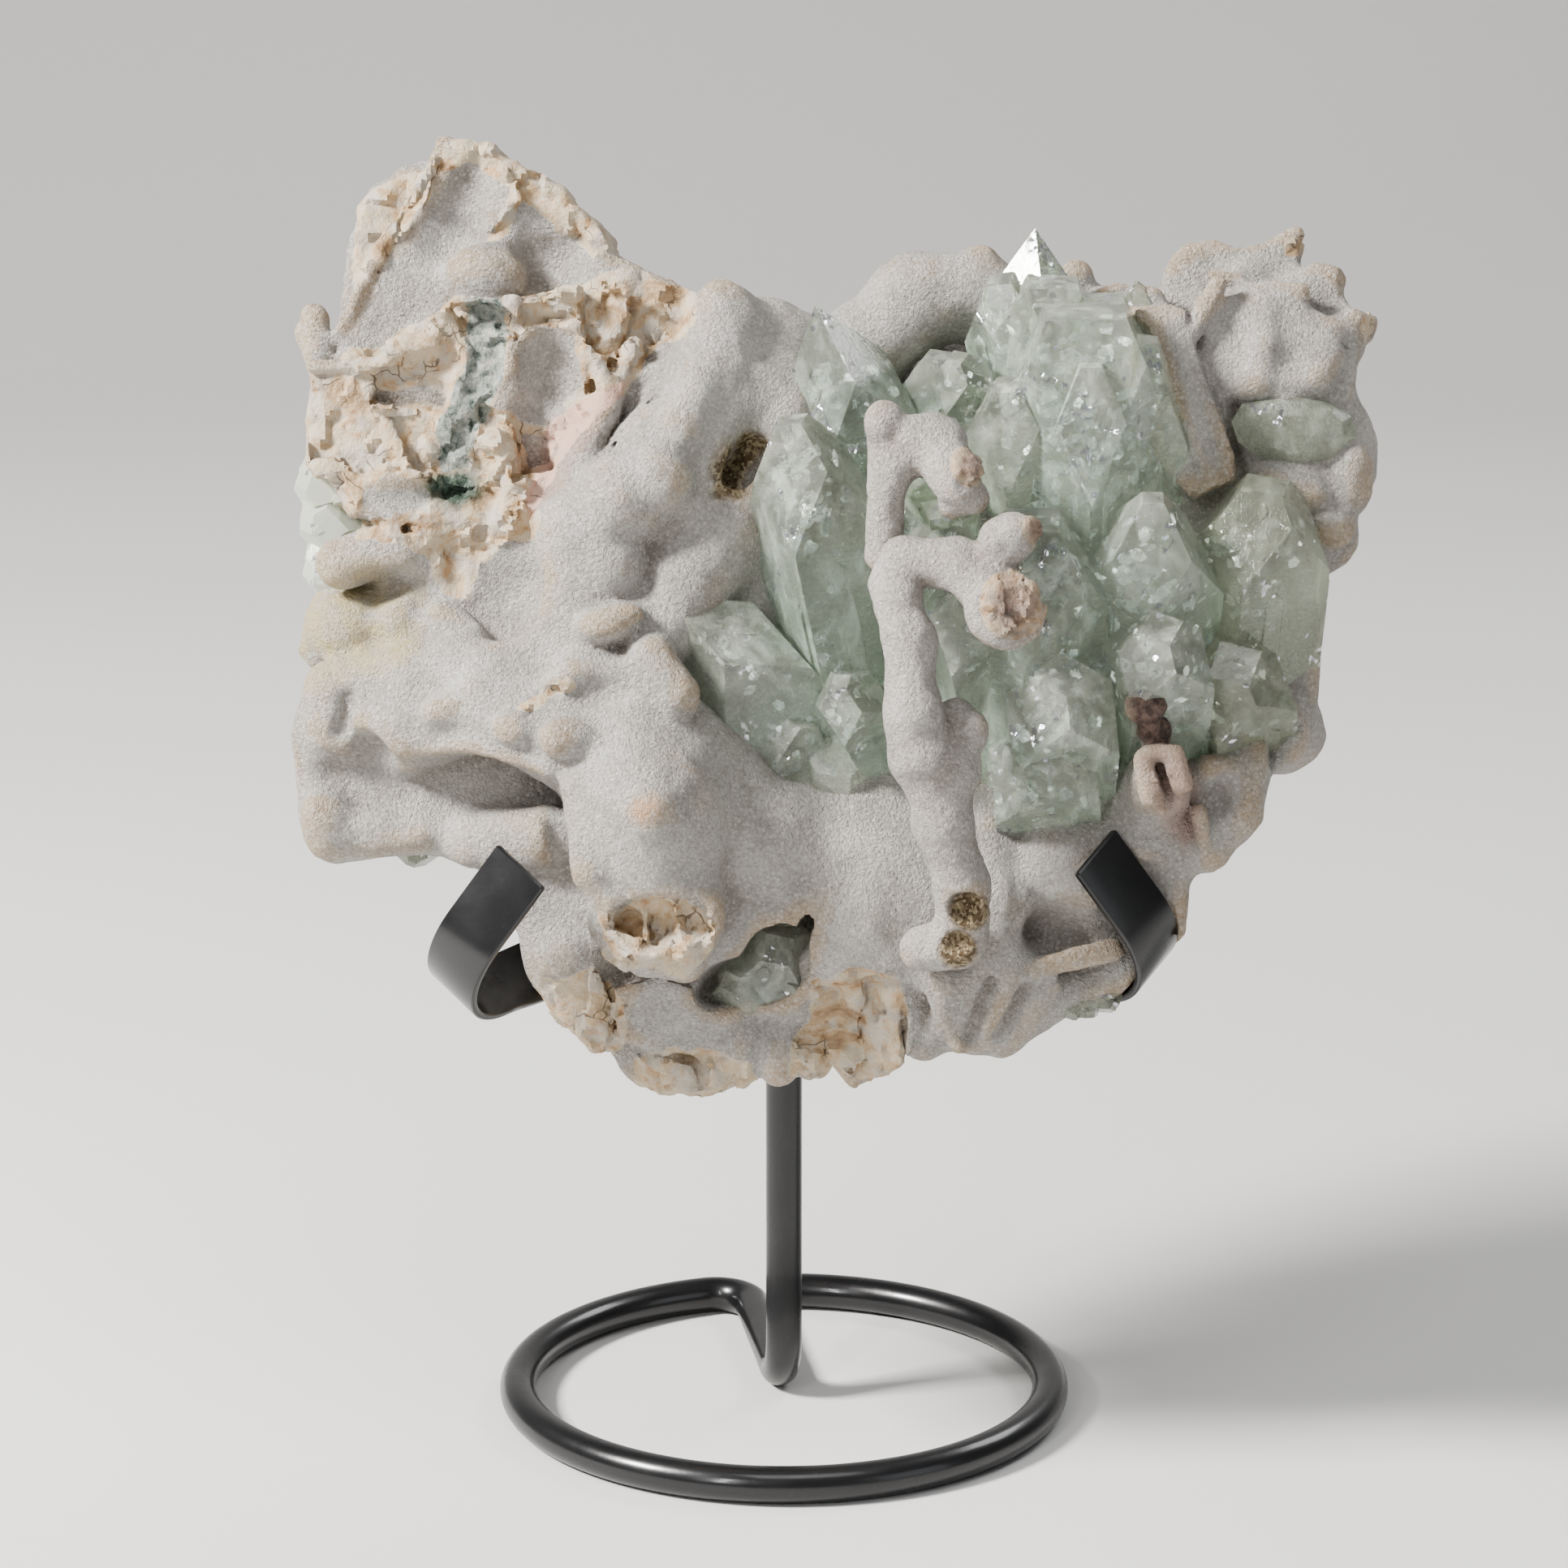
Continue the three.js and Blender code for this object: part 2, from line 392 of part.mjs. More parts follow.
const MAIN_CRYSTALS = [
  // The top of the main group.
  crystal("spire", [41.8, 92.5, 4], [0.02, 0.96, 0.28], 6.2, 10, 34, 0, 1.4),
  crystal("spire_side", [36, 84, 5], [-0.22, 0.8, 0.5], 6, 35, 26, 3, 1.2),
  crystal("shelf", [44.8, 82.4, 9], [0.05, 0.92, 0.38], 6.4, 45, 34, 6.6, 1.3),
  crystal("green_back", [25.4, 71, 2], [-0.1, 0.8, 0.6], 6.4, 20, 24, 3, 1),
  crystal("bluish", [28.8, 71, 11], [-0.2, 0.7, 0.68], 4.6, 15, 24, 2, 1),
  // The largest crystal and those that overlap it.
  crystal("largest", [50, 79.4, 15], [-0.02, 0.9, 0.42], 13.6, 45, 56, 9.3, 1.6),
  crystal("largest_step", [51, 70, 21], [-0.02, 0.86, 0.5], 8, 45, 30, 2.5, 1.5),
  crystal("largest_right", [60, 74, 14], [0.12, 0.88, 0.44], 8, 40, 44, 3, 1.6),
  crystal("grey", [37.4, 66.4, 17], [-0.14, 0.74, 0.66], 7.4, 35, 30, 3, 1.2),
  // The lower half of the main group.
  crystal("bright", [61.4, 47.6, 24], [0.02, 0.8, 0.6], 9, 45, 38, 2.4, 1.2),
  crystal("olive", [80, 49.6, 14], [0.05, 0.86, 0.5], 8.6, 30, 44, 5, 1.1),
  crystal("olive_low", [75, 20, 16], [-0.1, 0.5, 0.86], 7.4, 25, 26, 5, 1),
  crystal("round_low", [62.6, 26, 27], [0, 0.6, 0.8], 7.2, 20, 30, 4, 1),
  crystal("block", [41.5, 44, 22], [0, 0.86, 0.5], 11.5, 40, 44, 6, 1.1),
  crystal("block_left", [31, 33, 20], [-0.2, 0.7, 0.68], 7.5, 15, 34, 4, 1),
  crystal("low_front", [46, 18.6, 25], [0.02, 0.6, 0.8], 8.8, 10, 30, 5, 1),
  crystal("low_base", [43, 7, 20], [-0.05, 0.45, 0.9], 8.6, 5, 24, 6, 1),
];

// The small groups at the edges of the specimen.
const CRYSTAL_GROUPS = {
  crystals_main: [...LEFT_CRYSTALS, ...MAIN_CRYSTALS],
  crystals_left_edge: [
    crystal("plate_top", [-80.6, 50, -1], [-0.9, 0.1, 0.4], 4.4, 10, 14, 1.5, 0.8),
    crystal("plate_mid", [-79.6, 43, -3], [-0.9, -0.1, 0.4], 3.8, 30, 13, 1, 0.8),
    crystal("plate_low", [-79.4, 35, -5], [-0.9, -0.1, 0.3], 4, 20, 12, 1, 0.8),
  ],
  crystal_bottom_left: [crystal("splinter", [-62, -13.4, 1], [-0.2, -0.8, 0.5], 3.8, 25, 12, 1, 0.8)],
  crystal_cavity: [
    crystal("deep", [-2.5, -27, 9], [-0.1, 0.3, 0.95], 6, 35, 18, 4, 0.9),
    crystal("deep_low", [-4, -35, 6], [-0.2, -0.2, 0.95], 4.6, 15, 16, 2.6, 0.9),
  ],
  crystals_bottom_right: [
    crystal("quartz_a", [55, -37, 4], [0.5, -0.5, 0.7], 2.8, 10, 10, 1, 1),
    crystal("quartz_b", [51, -38.4, 4], [0.2, -0.6, 0.7], 2.6, 40, 10, 1, 1),
    crystal("quartz_c", [47.6, -38.6, 4], [-0.1, -0.6, 0.7], 2.4, 25, 10, 1, 1),
  ],
  crystal_top_right: [crystal("clear", [58.6, 83.6, 0], [-0.1, 0.9, 0.4], 3.6, 35, 12, 0.4, 1)],
};

// The lens-shaped crystal, by its centre, how far it is turned and swung, where it faces, its half sizes,
// and its rings as shares of its width and of its thickness.
const LENS = {
  centre: [85, 59, 3.4],
  turn: -6,
  swing: -0.12,
  out: [0.1, 0.05, 1],
  length: 10.8,
  width: 6.4,
  thickness: 3.6,
  sides: 12,
  rings: [[1, 0], [0.72, 0.72], [0.3, 1], [0.8, -0.6]],
};

// Every cell whose inside or outside corners fall apart is mended, so that the surface is a clean one.
const CORNERS = [0, 1, 2, 3, 4, 5, 6, 7].map((i) => [i & 1, (i >> 1) & 1, (i >> 2) & 1]);
const NEIGHBOURS = CORNERS.map((_, i) => [i ^ 1, i ^ 2, i ^ 4]);

function oneGroup(mask, wanted) {
  const members = CORNERS.map((_, i) => i).filter((i) => ((mask >> i) & 1) === wanted);
  if (members.length < 2) return true;
  const seen = new Set([members[0]]);
  const queue = [members[0]];
  while (queue.length) {
    for (const next of NEIGHBOURS[queue.pop()]) {
      if (members.includes(next) && !seen.has(next)) {
        seen.add(next);
        queue.push(next);
      }
    }
  }
  return seen.size === members.length;
}

const TANGLED = Array.from({ length: 256 }, (_, mask) => !oneGroup(mask, 1) || !oneGroup(mask, 0));

// The closed faceted surface of a list of features, grown outward by the given amount.
function surfaceOf(features, cell, grown) {
  const box = new THREE.Box3();
  features.filter((f) => !f.cuts).forEach((f) => {
    box.expandByPoint(f.low);
    box.expandByPoint(f.high);
  });
  box.expandByVector(cell);
  const size = box.getSize(new THREE.Vector3()).divide(cell).ceil().addScalar(1);
  const [nx, ny, nz] = size.toArray();
  const at = (i, j, k) => i + nx * (j + ny * k);
  const field = new Float32Array(nx * ny * nz).fill(FAR);
  for (const f of features) {
    const from = f.low.clone().sub(box.min).divide(cell).floor().clampScalar(0, Infinity);
    const to = f.high.clone().sub(box.min).divide(cell).ceil();
    for (let k = from.z; k <= Math.min(to.z, nz - 1); k++)
      for (let j = from.y; j <= Math.min(to.y, ny - 1); j++)
        for (let i = from.x; i <= Math.min(to.x, nx - 1); i++) {
          const corner = new THREE.Vector3(i, j, k).multiply(cell).add(box.min);
          const d = f.distance(...corner.toArray());
          const old = field[at(i, j, k)];
          field[at(i, j, k)] = f.cuts ? -smoothMin(-old, d, f.blend) : smoothMin(old, d, f.blend);
        }
  }
  const value = (i, j, k) => field[at(i, j, k)] - grown;
  const maskOf = (i, j, k) =>
    CORNERS.reduce((mask, [a, b, c], n) => mask | ((value(i + a, j + b, k + c) < 0 ? 1 : 0) << n), 0);
  let mended = true;
  while (mended) {
    mended = false;
    for (let k = 0; k < nz - 1; k++)
      for (let j = 0; j < ny - 1; j++)
        for (let i = 0; i < nx - 1; i++) {
          if (!TANGLED[maskOf(i, j, k)]) continue;
          const outer = CORNERS.map(([a, b, c]) => [i + a, j + b, k + c]).filter((p) => value(...p) >= 0);
          outer.sort((p, q) => value(...p) - value(...q));
          field[at(...outer[0])] = grown - MENDED_DEPTH;
          mended = true;
        }
  }
  const positions = [];
  const vertexOf = new Int32Array(nx * ny * nz).fill(-1);
  for (let k = 0; k < nz - 1; k++)
    for (let j = 0; j < ny - 1; j++)
      for (let i = 0; i < nx - 1; i++) {
        const mask = maskOf(i, j, k);
        if (mask === 0 || mask === 255) continue;
        const sum = new THREE.Vector3();
        let crossings = 0;
        CORNERS.forEach(([a, b, c], n) =>
          NEIGHBOURS[n].filter((m) => m > n).forEach((m) => {
            if (((mask >> n) & 1) === ((mask >> m) & 1)) return;
            const [d, e, g] = CORNERS[m];
            const v0 = value(i + a, j + b, k + c);
            const t = v0 / (v0 - value(i + d, j + e, k + g));
            sum.add(new THREE.Vector3(a + (d - a) * t, b + (e - b) * t, c + (g - c) * t));
            crossings++;
          }),
        );
        const local = sum.divideScalar(crossings).add(new THREE.Vector3(i, j, k));
        vertexOf[at(i, j, k)] = positions.length / 3;
        positions.push(...placed(local.multiply(cell).add(box.min)).toArray());
      }
  const index = [];
  const steps = [[1, 0, 0], [0, 1, 0], [0, 0, 1]];
  for (let k = 1; k < nz - 1; k++)
    for (let j = 1; j < ny - 1; j++)
      for (let i = 1; i < nx - 1; i++)
        steps.forEach(([a, b, c], axis) => {
          const inside = value(i, j, k) < 0;
          if (inside === value(i + a, j + b, k + c) < 0) return;
          const [p, q] = [steps[(axis + 1) % 3], steps[(axis + 2) % 3]];
          const ring = [[1, 1], [0, 1], [0, 0], [1, 0]].map(([m, n]) =>
            vertexOf[at(i - m * p[0] - n * q[0], j - m * p[1] - n * q[1], k - m * p[2] - n * q[2])],
          );
          if (!inside) ring.reverse();
          index.push(ring[0], ring[1], ring[2], ring[0], ring[2], ring[3]);
        });
  return closed(positions, index);
}

// A geometry from plain lists of coordinates and triangle corners.
function closed(positions, index) {
  return new THREE.BufferGeometry()
    .setAttribute("position", new THREE.Float32BufferAttribute(positions, 3))
    .setIndex(index);
}

// A solid that can be joined and cut, from a closed geometry.
function solid(geometry) {
  const bare = geometry.clone();
  bare.deleteAttribute("normal");
  bare.deleteAttribute("uv");
  const merged = mergeVertices(bare, SAME_CORNER);
  const make = (triVerts) =>
    new wasm.Manifold(
      new wasm.Mesh({
        numProp: 3,
        vertProperties: new Float32Array(merged.attributes.position.array),
        triVerts,
      }),
    );
  const corners = new Uint32Array(merged.index.array);
  const made = make(corners);
  if (made.volume() > 0) return made;
  for (let i = 0; i < corners.length; i += 3) {
    [corners[i + 1], corners[i + 2]] = [corners[i + 2], corners[i + 1]];
  }
  return make(corners);
}

// The largest body of a solid, so that a cut leaves no loose flakes.
function mainBody(whole) {
  return whole.decompose().reduce((best, body) => (body.volume() > best.volume() ? body : best));
}

// A tetragonal crystal: a square prism with a pyramid whose rhombic faces stand over the prism's edges,
// cut flat at the tip. Grown makes it larger all round.
function crystalSolid({ tip, lean, half, roll, length, flat, steep }, grown = 0) {
  const axis = turned(lean).normalize();
  const across = new THREE.Vector3(1, 0, 0).projectOnPlane(axis).normalize();
  const other = axis.clone().cross(across);
  const x = across.clone().applyAxisAngle(axis, radians(roll));
  const y = other.clone().applyAxisAngle(axis, radians(roll));
  const wide = half + grown;
  const cut = Math.max(steep * flat - grown, 0);
  const apex = placed(near(tip)).addScaledVector(axis, steep * flat + grown * 2);
  const point = (i, j, depth) =>
    apex.clone().addScaledVector(x, i * wide).addScaledVector(y, j * wide).addScaledVector(axis, -depth);
  const shoulder = steep * wide;
  const foot = Math.max(length + steep * flat, 2 * shoulder + 1) + 3 * grown;
  const share = cut / shoulder;
  const points = [];
  if (cut > 0) {
    points.push(point(share, 0, cut), point(0, share, cut), point(-share, 0, cut), point(0, -share, cut));
  } else {
    points.push(apex);
  }
  for (const [i, j] of [[1, 0], [0, 1], [-1, 0], [0, -1]]) points.push(point(i, j, shoulder));
  for (const [i, j] of [[1, 1], [-1, 1], [-1, -1], [1, -1]]) {
    points.push(point(i, j, 2 * shoulder), point(i, j, foot));
  }
  return solid(new ConvexGeometry(points));
}

// A lens-shaped crystal that lies flat on the rock.
function lensSolid(grown = 0) {
  const points = [];
  const centre = placed(near(LENS.centre));
  const along = turned([Math.cos(radians(LENS.turn)), Math.sin(radians(LENS.turn)), LENS.swing]).normalize();
  const out = turned(LENS.out).projectOnPlane(along).normalize();
  const across = out.clone().cross(along);
  for (const [ring, height] of LENS.rings) {
    for (let i = 0; i < LENS.sides; i++) {
      const angle = ((i + height) / LENS.sides) * 2 * Math.PI;
      points.push(
        centre.clone()
          .addScaledVector(along, (LENS.length * ring + grown) * Math.cos(angle))
          .addScaledVector(across, (LENS.width * ring + grown) * Math.sin(angle))
          .addScaledVector(out, height * (LENS.thickness + grown)),
      );
    }
  }
  return solid(new ConvexGeometry(points));
}

const join = (solids) => solids.reduce((whole, next) => whole.add(next));

// A curve whose sections fall on its own points, so that straight stretches take few of them.
class StationCurve extends THREE.CatmullRomCurve3 {
  getUtoTmapping(u) {
    return u;
  }
}

// The rod, from the free end of the ring, round it, in along the spoke and up.
function rodSolid(grown = 0) {
  const height = ROD_DIAMETER / 2;
  const spoke = radians(SPOKE_ANGLE);
  const points = [];
  const bendAngle = Math.asin(SPOKE_BEND / (RING_RADIUS - SPOKE_BEND));
  const start = radians(RING_END_ANGLE);
  const sweep = 2 * Math.PI - (spoke + bendAngle - start);
  for (let i = 0; i <= RING_STEPS; i++) {
    const angle = start - (sweep * i) / RING_STEPS;
    points.push(new THREE.Vector3(RING_RADIUS * Math.cos(angle), RING_RADIUS * Math.sin(angle), height));
  }
  const bendCentre = new THREE.Vector3(
    (RING_RADIUS - SPOKE_BEND) * Math.cos(spoke + bendAngle),
    (RING_RADIUS - SPOKE_BEND) * Math.sin(spoke + bendAngle),
    height,
  );
  const turn = Math.PI / 2 + bendAngle;
  for (let i = 1; i <= BEND_STEPS; i++) {
    const angle = spoke + bendAngle - (turn * i) / BEND_STEPS;
    const offset = new THREE.Vector3(Math.cos(angle), Math.sin(angle), 0).multiplyScalar(SPOKE_BEND);
    points.push(bendCentre.clone().add(offset));
  }
  const outward = new THREE.Vector3(Math.cos(spoke), Math.sin(spoke), 0);
  for (let i = 0; i <= BEND_STEPS; i++) {
    const angle = ((Math.PI / 2) * i) / BEND_STEPS;
    const back = UPRIGHT_BEND * (1 - Math.sin(angle));
    const rise = UPRIGHT_BEND * (1 - Math.cos(angle));
    points.push(outward.clone().multiplyScalar(back).setZ(height + rise));
  }
  const middle = (height + UPRIGHT_BEND + UPRIGHT_TOP) / 2;
  points.push(new THREE.Vector3(0, 0, middle), new THREE.Vector3(0, 0, UPRIGHT_TOP + grown));
  const radius = (ROD_DIAMETER / 2 + grown) / Math.cos(Math.PI / ROD_SIDES);
  const section = new THREE.Shape(
    Array.from({ length: ROD_SIDES }, (_, i) => {
      const angle = ((i + 0.5) / ROD_SIDES) * 2 * Math.PI;
      return new THREE.Vector2(radius * Math.cos(angle), radius * Math.sin(angle));
    }),
  );
  const extrudePath = new StationCurve(points);
  return solid(new THREE.ExtrudeGeometry(section, { steps: points.length - 1, extrudePath }));
}

// One claw, on the side that the sign gives: a strip swept from its tip round the bend and in to the rod.
function clawSolid(side, grown = 0) {
  const vector = ([x, y, z]) => new THREE.Vector3(x * side, y, z);
  const down = vector(CLAW_DOWN);
  const inward = vector(CLAW_INWARD);
  const stations = [vector(CLAW_TIP).addScaledVector(down, -grown)];
  const bendStart = vector(CLAW_TIP).addScaledVector(down, CLAW_TIP_STRAIGHT);
  for (let i = 0; i <= CLAW_STEPS; i++) {
    const angle = (radians(CLAW_BEND_ANGLE) * i) / CLAW_STEPS;
    stations.push(
      bendStart.clone()
        .addScaledVector(inward, CLAW_BEND * (1 - Math.cos(angle)))
        .addScaledVector(down, CLAW_BEND * Math.sin(angle)),
    );
  }
  const legStart = stations[stations.length - 1];
  const leg = legStart.clone().sub(stations[stations.length - 2]).normalize();
  const legEnd = legStart.clone().addScaledVector(leg, CLAW_BACK_LEG);
  const hub = vector(CLAW_HUB).add(new THREE.Vector3(-grown * side, 0, 0));
  const reach = new THREE.CatmullRomCurve3([
    legStart,
    legEnd,
    new THREE.Vector3().lerpVectors(legEnd, hub, 0.5).add(new THREE.Vector3(0, CLAW_LEG_BOW, 0)),
    hub,
  ]);
  const backSteps = CLAW_STEPS + 1;
  for (let i = 1; i <= backSteps; i++) stations.push(reach.getPoint(i / backSteps));
  const front = vector(CLAW_EDGE);
  const hubEdge = vector(CLAW_HUB_EDGE);
  const positions = [];
  stations.forEach((p, i) => {
    const before = stations[Math.max(i - 1, 0)];
    const after = stations[Math.min(i + 1, stations.length - 1)];
    const along = after.clone().sub(before).normalize();
    const share = Math.max(0, (i - CLAW_STEPS - 1) / backSteps);
    const eased = share * share * (3 - 2 * share);
    const edge = front.clone().lerp(hubEdge, eased).projectOnPlane(along).normalize();
    const face = along.clone().cross(edge);
    for (const [a, b] of [[1, 1], [-1, 1], [-1, -1], [1, -1]]) {
      positions.push(
        ...p.clone()
          .addScaledVector(edge, a * (STRIP_WIDTH / 2 + grown))
          .addScaledVector(face, b * (STRIP_THICKNESS / 2 + grown))
          .toArray(),
      );
    }
  });
  const index = [0, 1, 2, 0, 2, 3];
  const last = (stations.length - 1) * 4;
  index.push(last, last + 2, last + 1, last, last + 3, last + 2);
  for (let i = 0; i < stations.length - 1; i++) {
    for (let n = 0; n < 4; n++) {
      const a = i * 4 + n;
      const b = i * 4 + ((n + 1) % 4);
      index.push(a, a + 4, b + 4, a, b + 4, b);
    }
  }
  return solid(closed(positions, index));
}

// The materials, from the real surfaces.
const coating = new THREE.MeshStandardMaterial({ color: 0xcfc6bc, roughness: 0.95, metalness: 0 });
const mint = new THREE.MeshStandardMaterial({
  color: 0xbcd8c4, roughness: 0.12, metalness: 0, transparent: true, opacity: 0.7,
});
const blackPaint = new THREE.MeshStandardMaterial({ color: 0x0b0b0d, roughness: 0.35, metalness: 0.2 });

const cluster = new THREE.Group();
const standTurn = new THREE.Matrix4().makeRotationZ(radians(STAND_TURN));

// A named mesh from a solid.
function piece(name, body, material) {
  const { vertProperties, triVerts } = body.getMesh();
  const mesh = new THREE.Mesh(closed(Array.from(vertProperties), Array.from(triVerts)), material);
  mesh.geometry.computeVertexNormals();
  mesh.name = name;
  cluster.add(mesh);
}

const turnedStand = (make, grown) => make(grown).transform(standTurn.toArray());
const standParts = {
  stand_rod: rodSolid,
  claw_left: (grown) => clawSolid(-1, grown),
  claw_right: (grown) => clawSolid(1, grown),
};
for (const [name, make] of Object.entries(standParts)) piece(name, turnedStand(make, 0), blackPaint);
const standRoom = join(Object.values(standParts).map((make) => turnedStand(make, GAP)));

const upperRoom = solid(surfaceOf(UPPER_FINGER, FINGER_CELL, GAP));
const lowerRoom = solid(surfaceOf(LOWER_FINGER, FINGER_CELL, GAP));
const fingerRoom = upperRoom.add(lowerRoom);
const groupRoom = {};
for (const [name, members] of Object.entries(CRYSTAL_GROUPS)) {
  const whole = join(members.map((member) => crystalSolid(member)));
  groupRoom[name] = join(members.map((member) => crystalSolid(member, GAP)));
  piece(name, mainBody(whole.subtract(fingerRoom).subtract(standRoom)), mint);
}
piece("crystal_lens", lensSolid(), mint);
piece("finger_upper", solid(surfaceOf(UPPER_FINGER, FINGER_CELL, 0)), coating);
piece("finger_lower", mainBody(solid(surfaceOf(LOWER_FINGER, FINGER_CELL, 0)).subtract(upperRoom)), coating);

const rock = solid(surfaceOf(MATRIX, ROCK_CELL, 0));
const rooms = [...Object.values(groupRoom), lensSolid(GAP), fingerRoom, standRoom];
piece("matrix", mainBody(rooms.reduce((left, room) => left.subtract(room), rock)), coating);

// The whole is set down with its bottom centre at the origin.
const bounds = new THREE.Box3().setFromObject(cluster);
const middle = bounds.getCenter(new THREE.Vector3());
cluster.position.set(-middle.x, -middle.y, -bounds.min.z);

export default cluster;
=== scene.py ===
"""An apophyllite cluster on druse-coated chalcedony, on its black rod stand. Metres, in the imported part's frame."""
import json

import bpy
import bmesh
import numpy as np
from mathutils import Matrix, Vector
from mathutils.bvhtree import BVHTree

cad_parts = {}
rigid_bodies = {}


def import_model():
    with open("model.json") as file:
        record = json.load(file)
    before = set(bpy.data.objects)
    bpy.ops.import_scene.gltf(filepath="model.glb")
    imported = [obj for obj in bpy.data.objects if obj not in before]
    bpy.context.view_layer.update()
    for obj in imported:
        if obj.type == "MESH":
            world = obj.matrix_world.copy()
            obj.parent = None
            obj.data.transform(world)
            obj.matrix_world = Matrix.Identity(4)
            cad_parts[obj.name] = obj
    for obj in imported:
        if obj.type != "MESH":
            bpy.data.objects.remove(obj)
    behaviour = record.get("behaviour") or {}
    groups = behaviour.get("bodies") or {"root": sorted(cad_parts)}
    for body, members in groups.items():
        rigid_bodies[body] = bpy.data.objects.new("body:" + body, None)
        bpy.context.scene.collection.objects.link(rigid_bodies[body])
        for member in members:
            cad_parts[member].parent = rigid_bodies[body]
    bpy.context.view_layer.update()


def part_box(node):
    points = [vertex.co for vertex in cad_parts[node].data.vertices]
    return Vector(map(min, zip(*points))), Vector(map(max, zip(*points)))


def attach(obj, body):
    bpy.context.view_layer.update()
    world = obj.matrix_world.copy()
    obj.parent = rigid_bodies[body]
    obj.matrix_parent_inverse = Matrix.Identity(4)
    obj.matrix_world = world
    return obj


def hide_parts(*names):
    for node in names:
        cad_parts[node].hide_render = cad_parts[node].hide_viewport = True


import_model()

MM = 0.001

# The front view: right, up and forward in millimetres, seen from VIEW_DISTANCE in front of a point that lies
# VIEW_HEIGHT above the floor, looking down by VIEW_PITCH. The upright's foot is the stand's own origin.
VIEW_DISTANCE = 900.0
VIEW_PITCH = np.radians(15.0)
VIEW_HEIGHT = 118.0
ROD_SETBACK = 22.0
PITCH_COS = np.cos(VIEW_PITCH)
PITCH_SIN = np.sin(VIEW_PITCH)

stand_low, stand_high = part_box("stand_rod")
STAND = np.array([(stand_low.x + stand_high.x) / 2, (stand_low.y + stand_high.y) / 2, 0.0]) / MM


def near(p):
    """A place in the front view, drawn in to allow for perspective."""
    scale = (VIEW_DISTANCE - p[2]) / VIEW_DISTANCE
    return (p[0] * scale, p[1] * scale, p[2])


def turned(d):
    """Directions in the front view, in the part's axes."""
    d = np.asarray(d, float)
    right, up, out = d[..., 0], d[..., 1], d[..., 2]
    return np.stack([right, up * PITCH_SIN - out * PITCH_COS, up * PITCH_COS + out * PITCH_SIN], -1)


def placed(p):
    """Points in the front view, in the part's frame, in millimetres."""
    return turned(p) + np.array([0.0, -ROD_SETBACK, VIEW_HEIGHT]) + STAND


def seen(p):
    """Points in the part's frame, as they were before near and placed."""
    q = np.asarray(p, float) - np.array([0.0, -ROD_SETBACK, VIEW_HEIGHT]) - STAND
    out = q[:, 2] * PITCH_SIN - q[:, 1] * PITCH_COS
    up = q[:, 1] * PITCH_SIN + q[:, 2] * PITCH_COS
    scale = (VIEW_DISTANCE - out) / VIEW_DISTANCE
    return np.stack([q[:, 0] / scale, up / scale, out], 1)


# Noise that is the same in every run: values on a lattice, blended, and cells with a jittered centre each.
def scrambled(i, j, k, seed):
    h = (i * 374761393 + j * 668265263 + k * 1274126177 + seed * 974711) & 0xFFFFFFFF
    h = ((h ^ (h >> 13)) * 1274126177) & 0xFFFFFFFF
    h = ((h ^ (h >> 16)) * 2246822519) & 0xFFFFFFFF
    return ((h ^ (h >> 15)) & 0xFFFFFF) / float(0x1000000)


def value_noise(p, size, seed):
    q = p / size
    base = np.floor(q).astype(np.int64)
    t = q - base
    t = t * t * (3 - 2 * t)
    total = np.zeros(len(p))
    for a in (0, 1):
        for b in (0, 1):
            for c in (0, 1):
                weight = (np.where(a, t[:, 0], 1 - t[:, 0]) * np.where(b, t[:, 1], 1 - t[:, 1])
                          * np.where(c, t[:, 2], 1 - t[:, 2]))
                total += weight * scrambled(base[:, 0] + a, base[:, 1] + b, base[:, 2] + c, seed)
    return total * 2 - 1


def layered(p, size, octaves, seed):
    total = np.zeros(len(p))
    strength = 1.0
    for n in range(octaves):
        total += strength * value_noise(p, size / 2 ** n, seed + 17 * n)
        strength *= 0.5
    return total


def cells(p, size, seed):
    """Distance to the nearest and next cell centre, the nearest centre and a number for its cell."""
    q = p / size
    base = np.floor(q).astype(np.int64)
    first = np.full(len(p), 9.0)
    second = np.full(len(p), 9.0)
    centre = np.zeros((len(p), 3))
    number = np.zeros(len(p))
    for a in (-1, 0, 1):
        for b in (-1, 0, 1):
            for c in (-1, 0, 1):
                i, j, k = base[:, 0] + a, base[:, 1] + b, base[:, 2] + c
                spot = np.stack([i + scrambled(i, j, k, seed), j + scrambled(i, j, k, seed + 1),
                                 k + scrambled(i, j, k, seed + 2)], 1)
                d = np.linalg.norm(spot - q, axis=1)
                closer = d < first
                second = np.where(closer, first, np.minimum(second, d))
                centre[closer] = spot[closer]
                number = np.where(closer, scrambled(i, j, k, seed + 3), number)
                first = np.minimum(first, d)
    return first * size, second * size, centre * size, number


# The solids as distance fields, joined and cut softly on a grid.
FAR = 99.0
FACET_DEPTH = 9.0
FACET_BLEND = 0.4
FACET_ROUND = 0.3
REACH = 2.5
LEAST = 1e-6


def smooth_min(a, b, width):
    h = np.maximum(width - np.abs(a - b), 0.0) / width
    return np.minimum(a, b) - h * h * width / 4


def tapered(p, a, b, start_radius, end_radius):
    a, b = np.array(a, np.float32), np.array(b, np.float32)
    ab = b - a
    q = [p[i] - a[i] for i in range(3)]
    t = np.clip((q[0] * ab[0] + q[1] * ab[1] + q[2] * ab[2]) / (ab @ ab), 0, 1)
    away = sum((q[i] - t * ab[i]) ** 2 for i in range(3))
    return np.sqrt(away) - (start_radius + (end_radius - start_radius) * t)


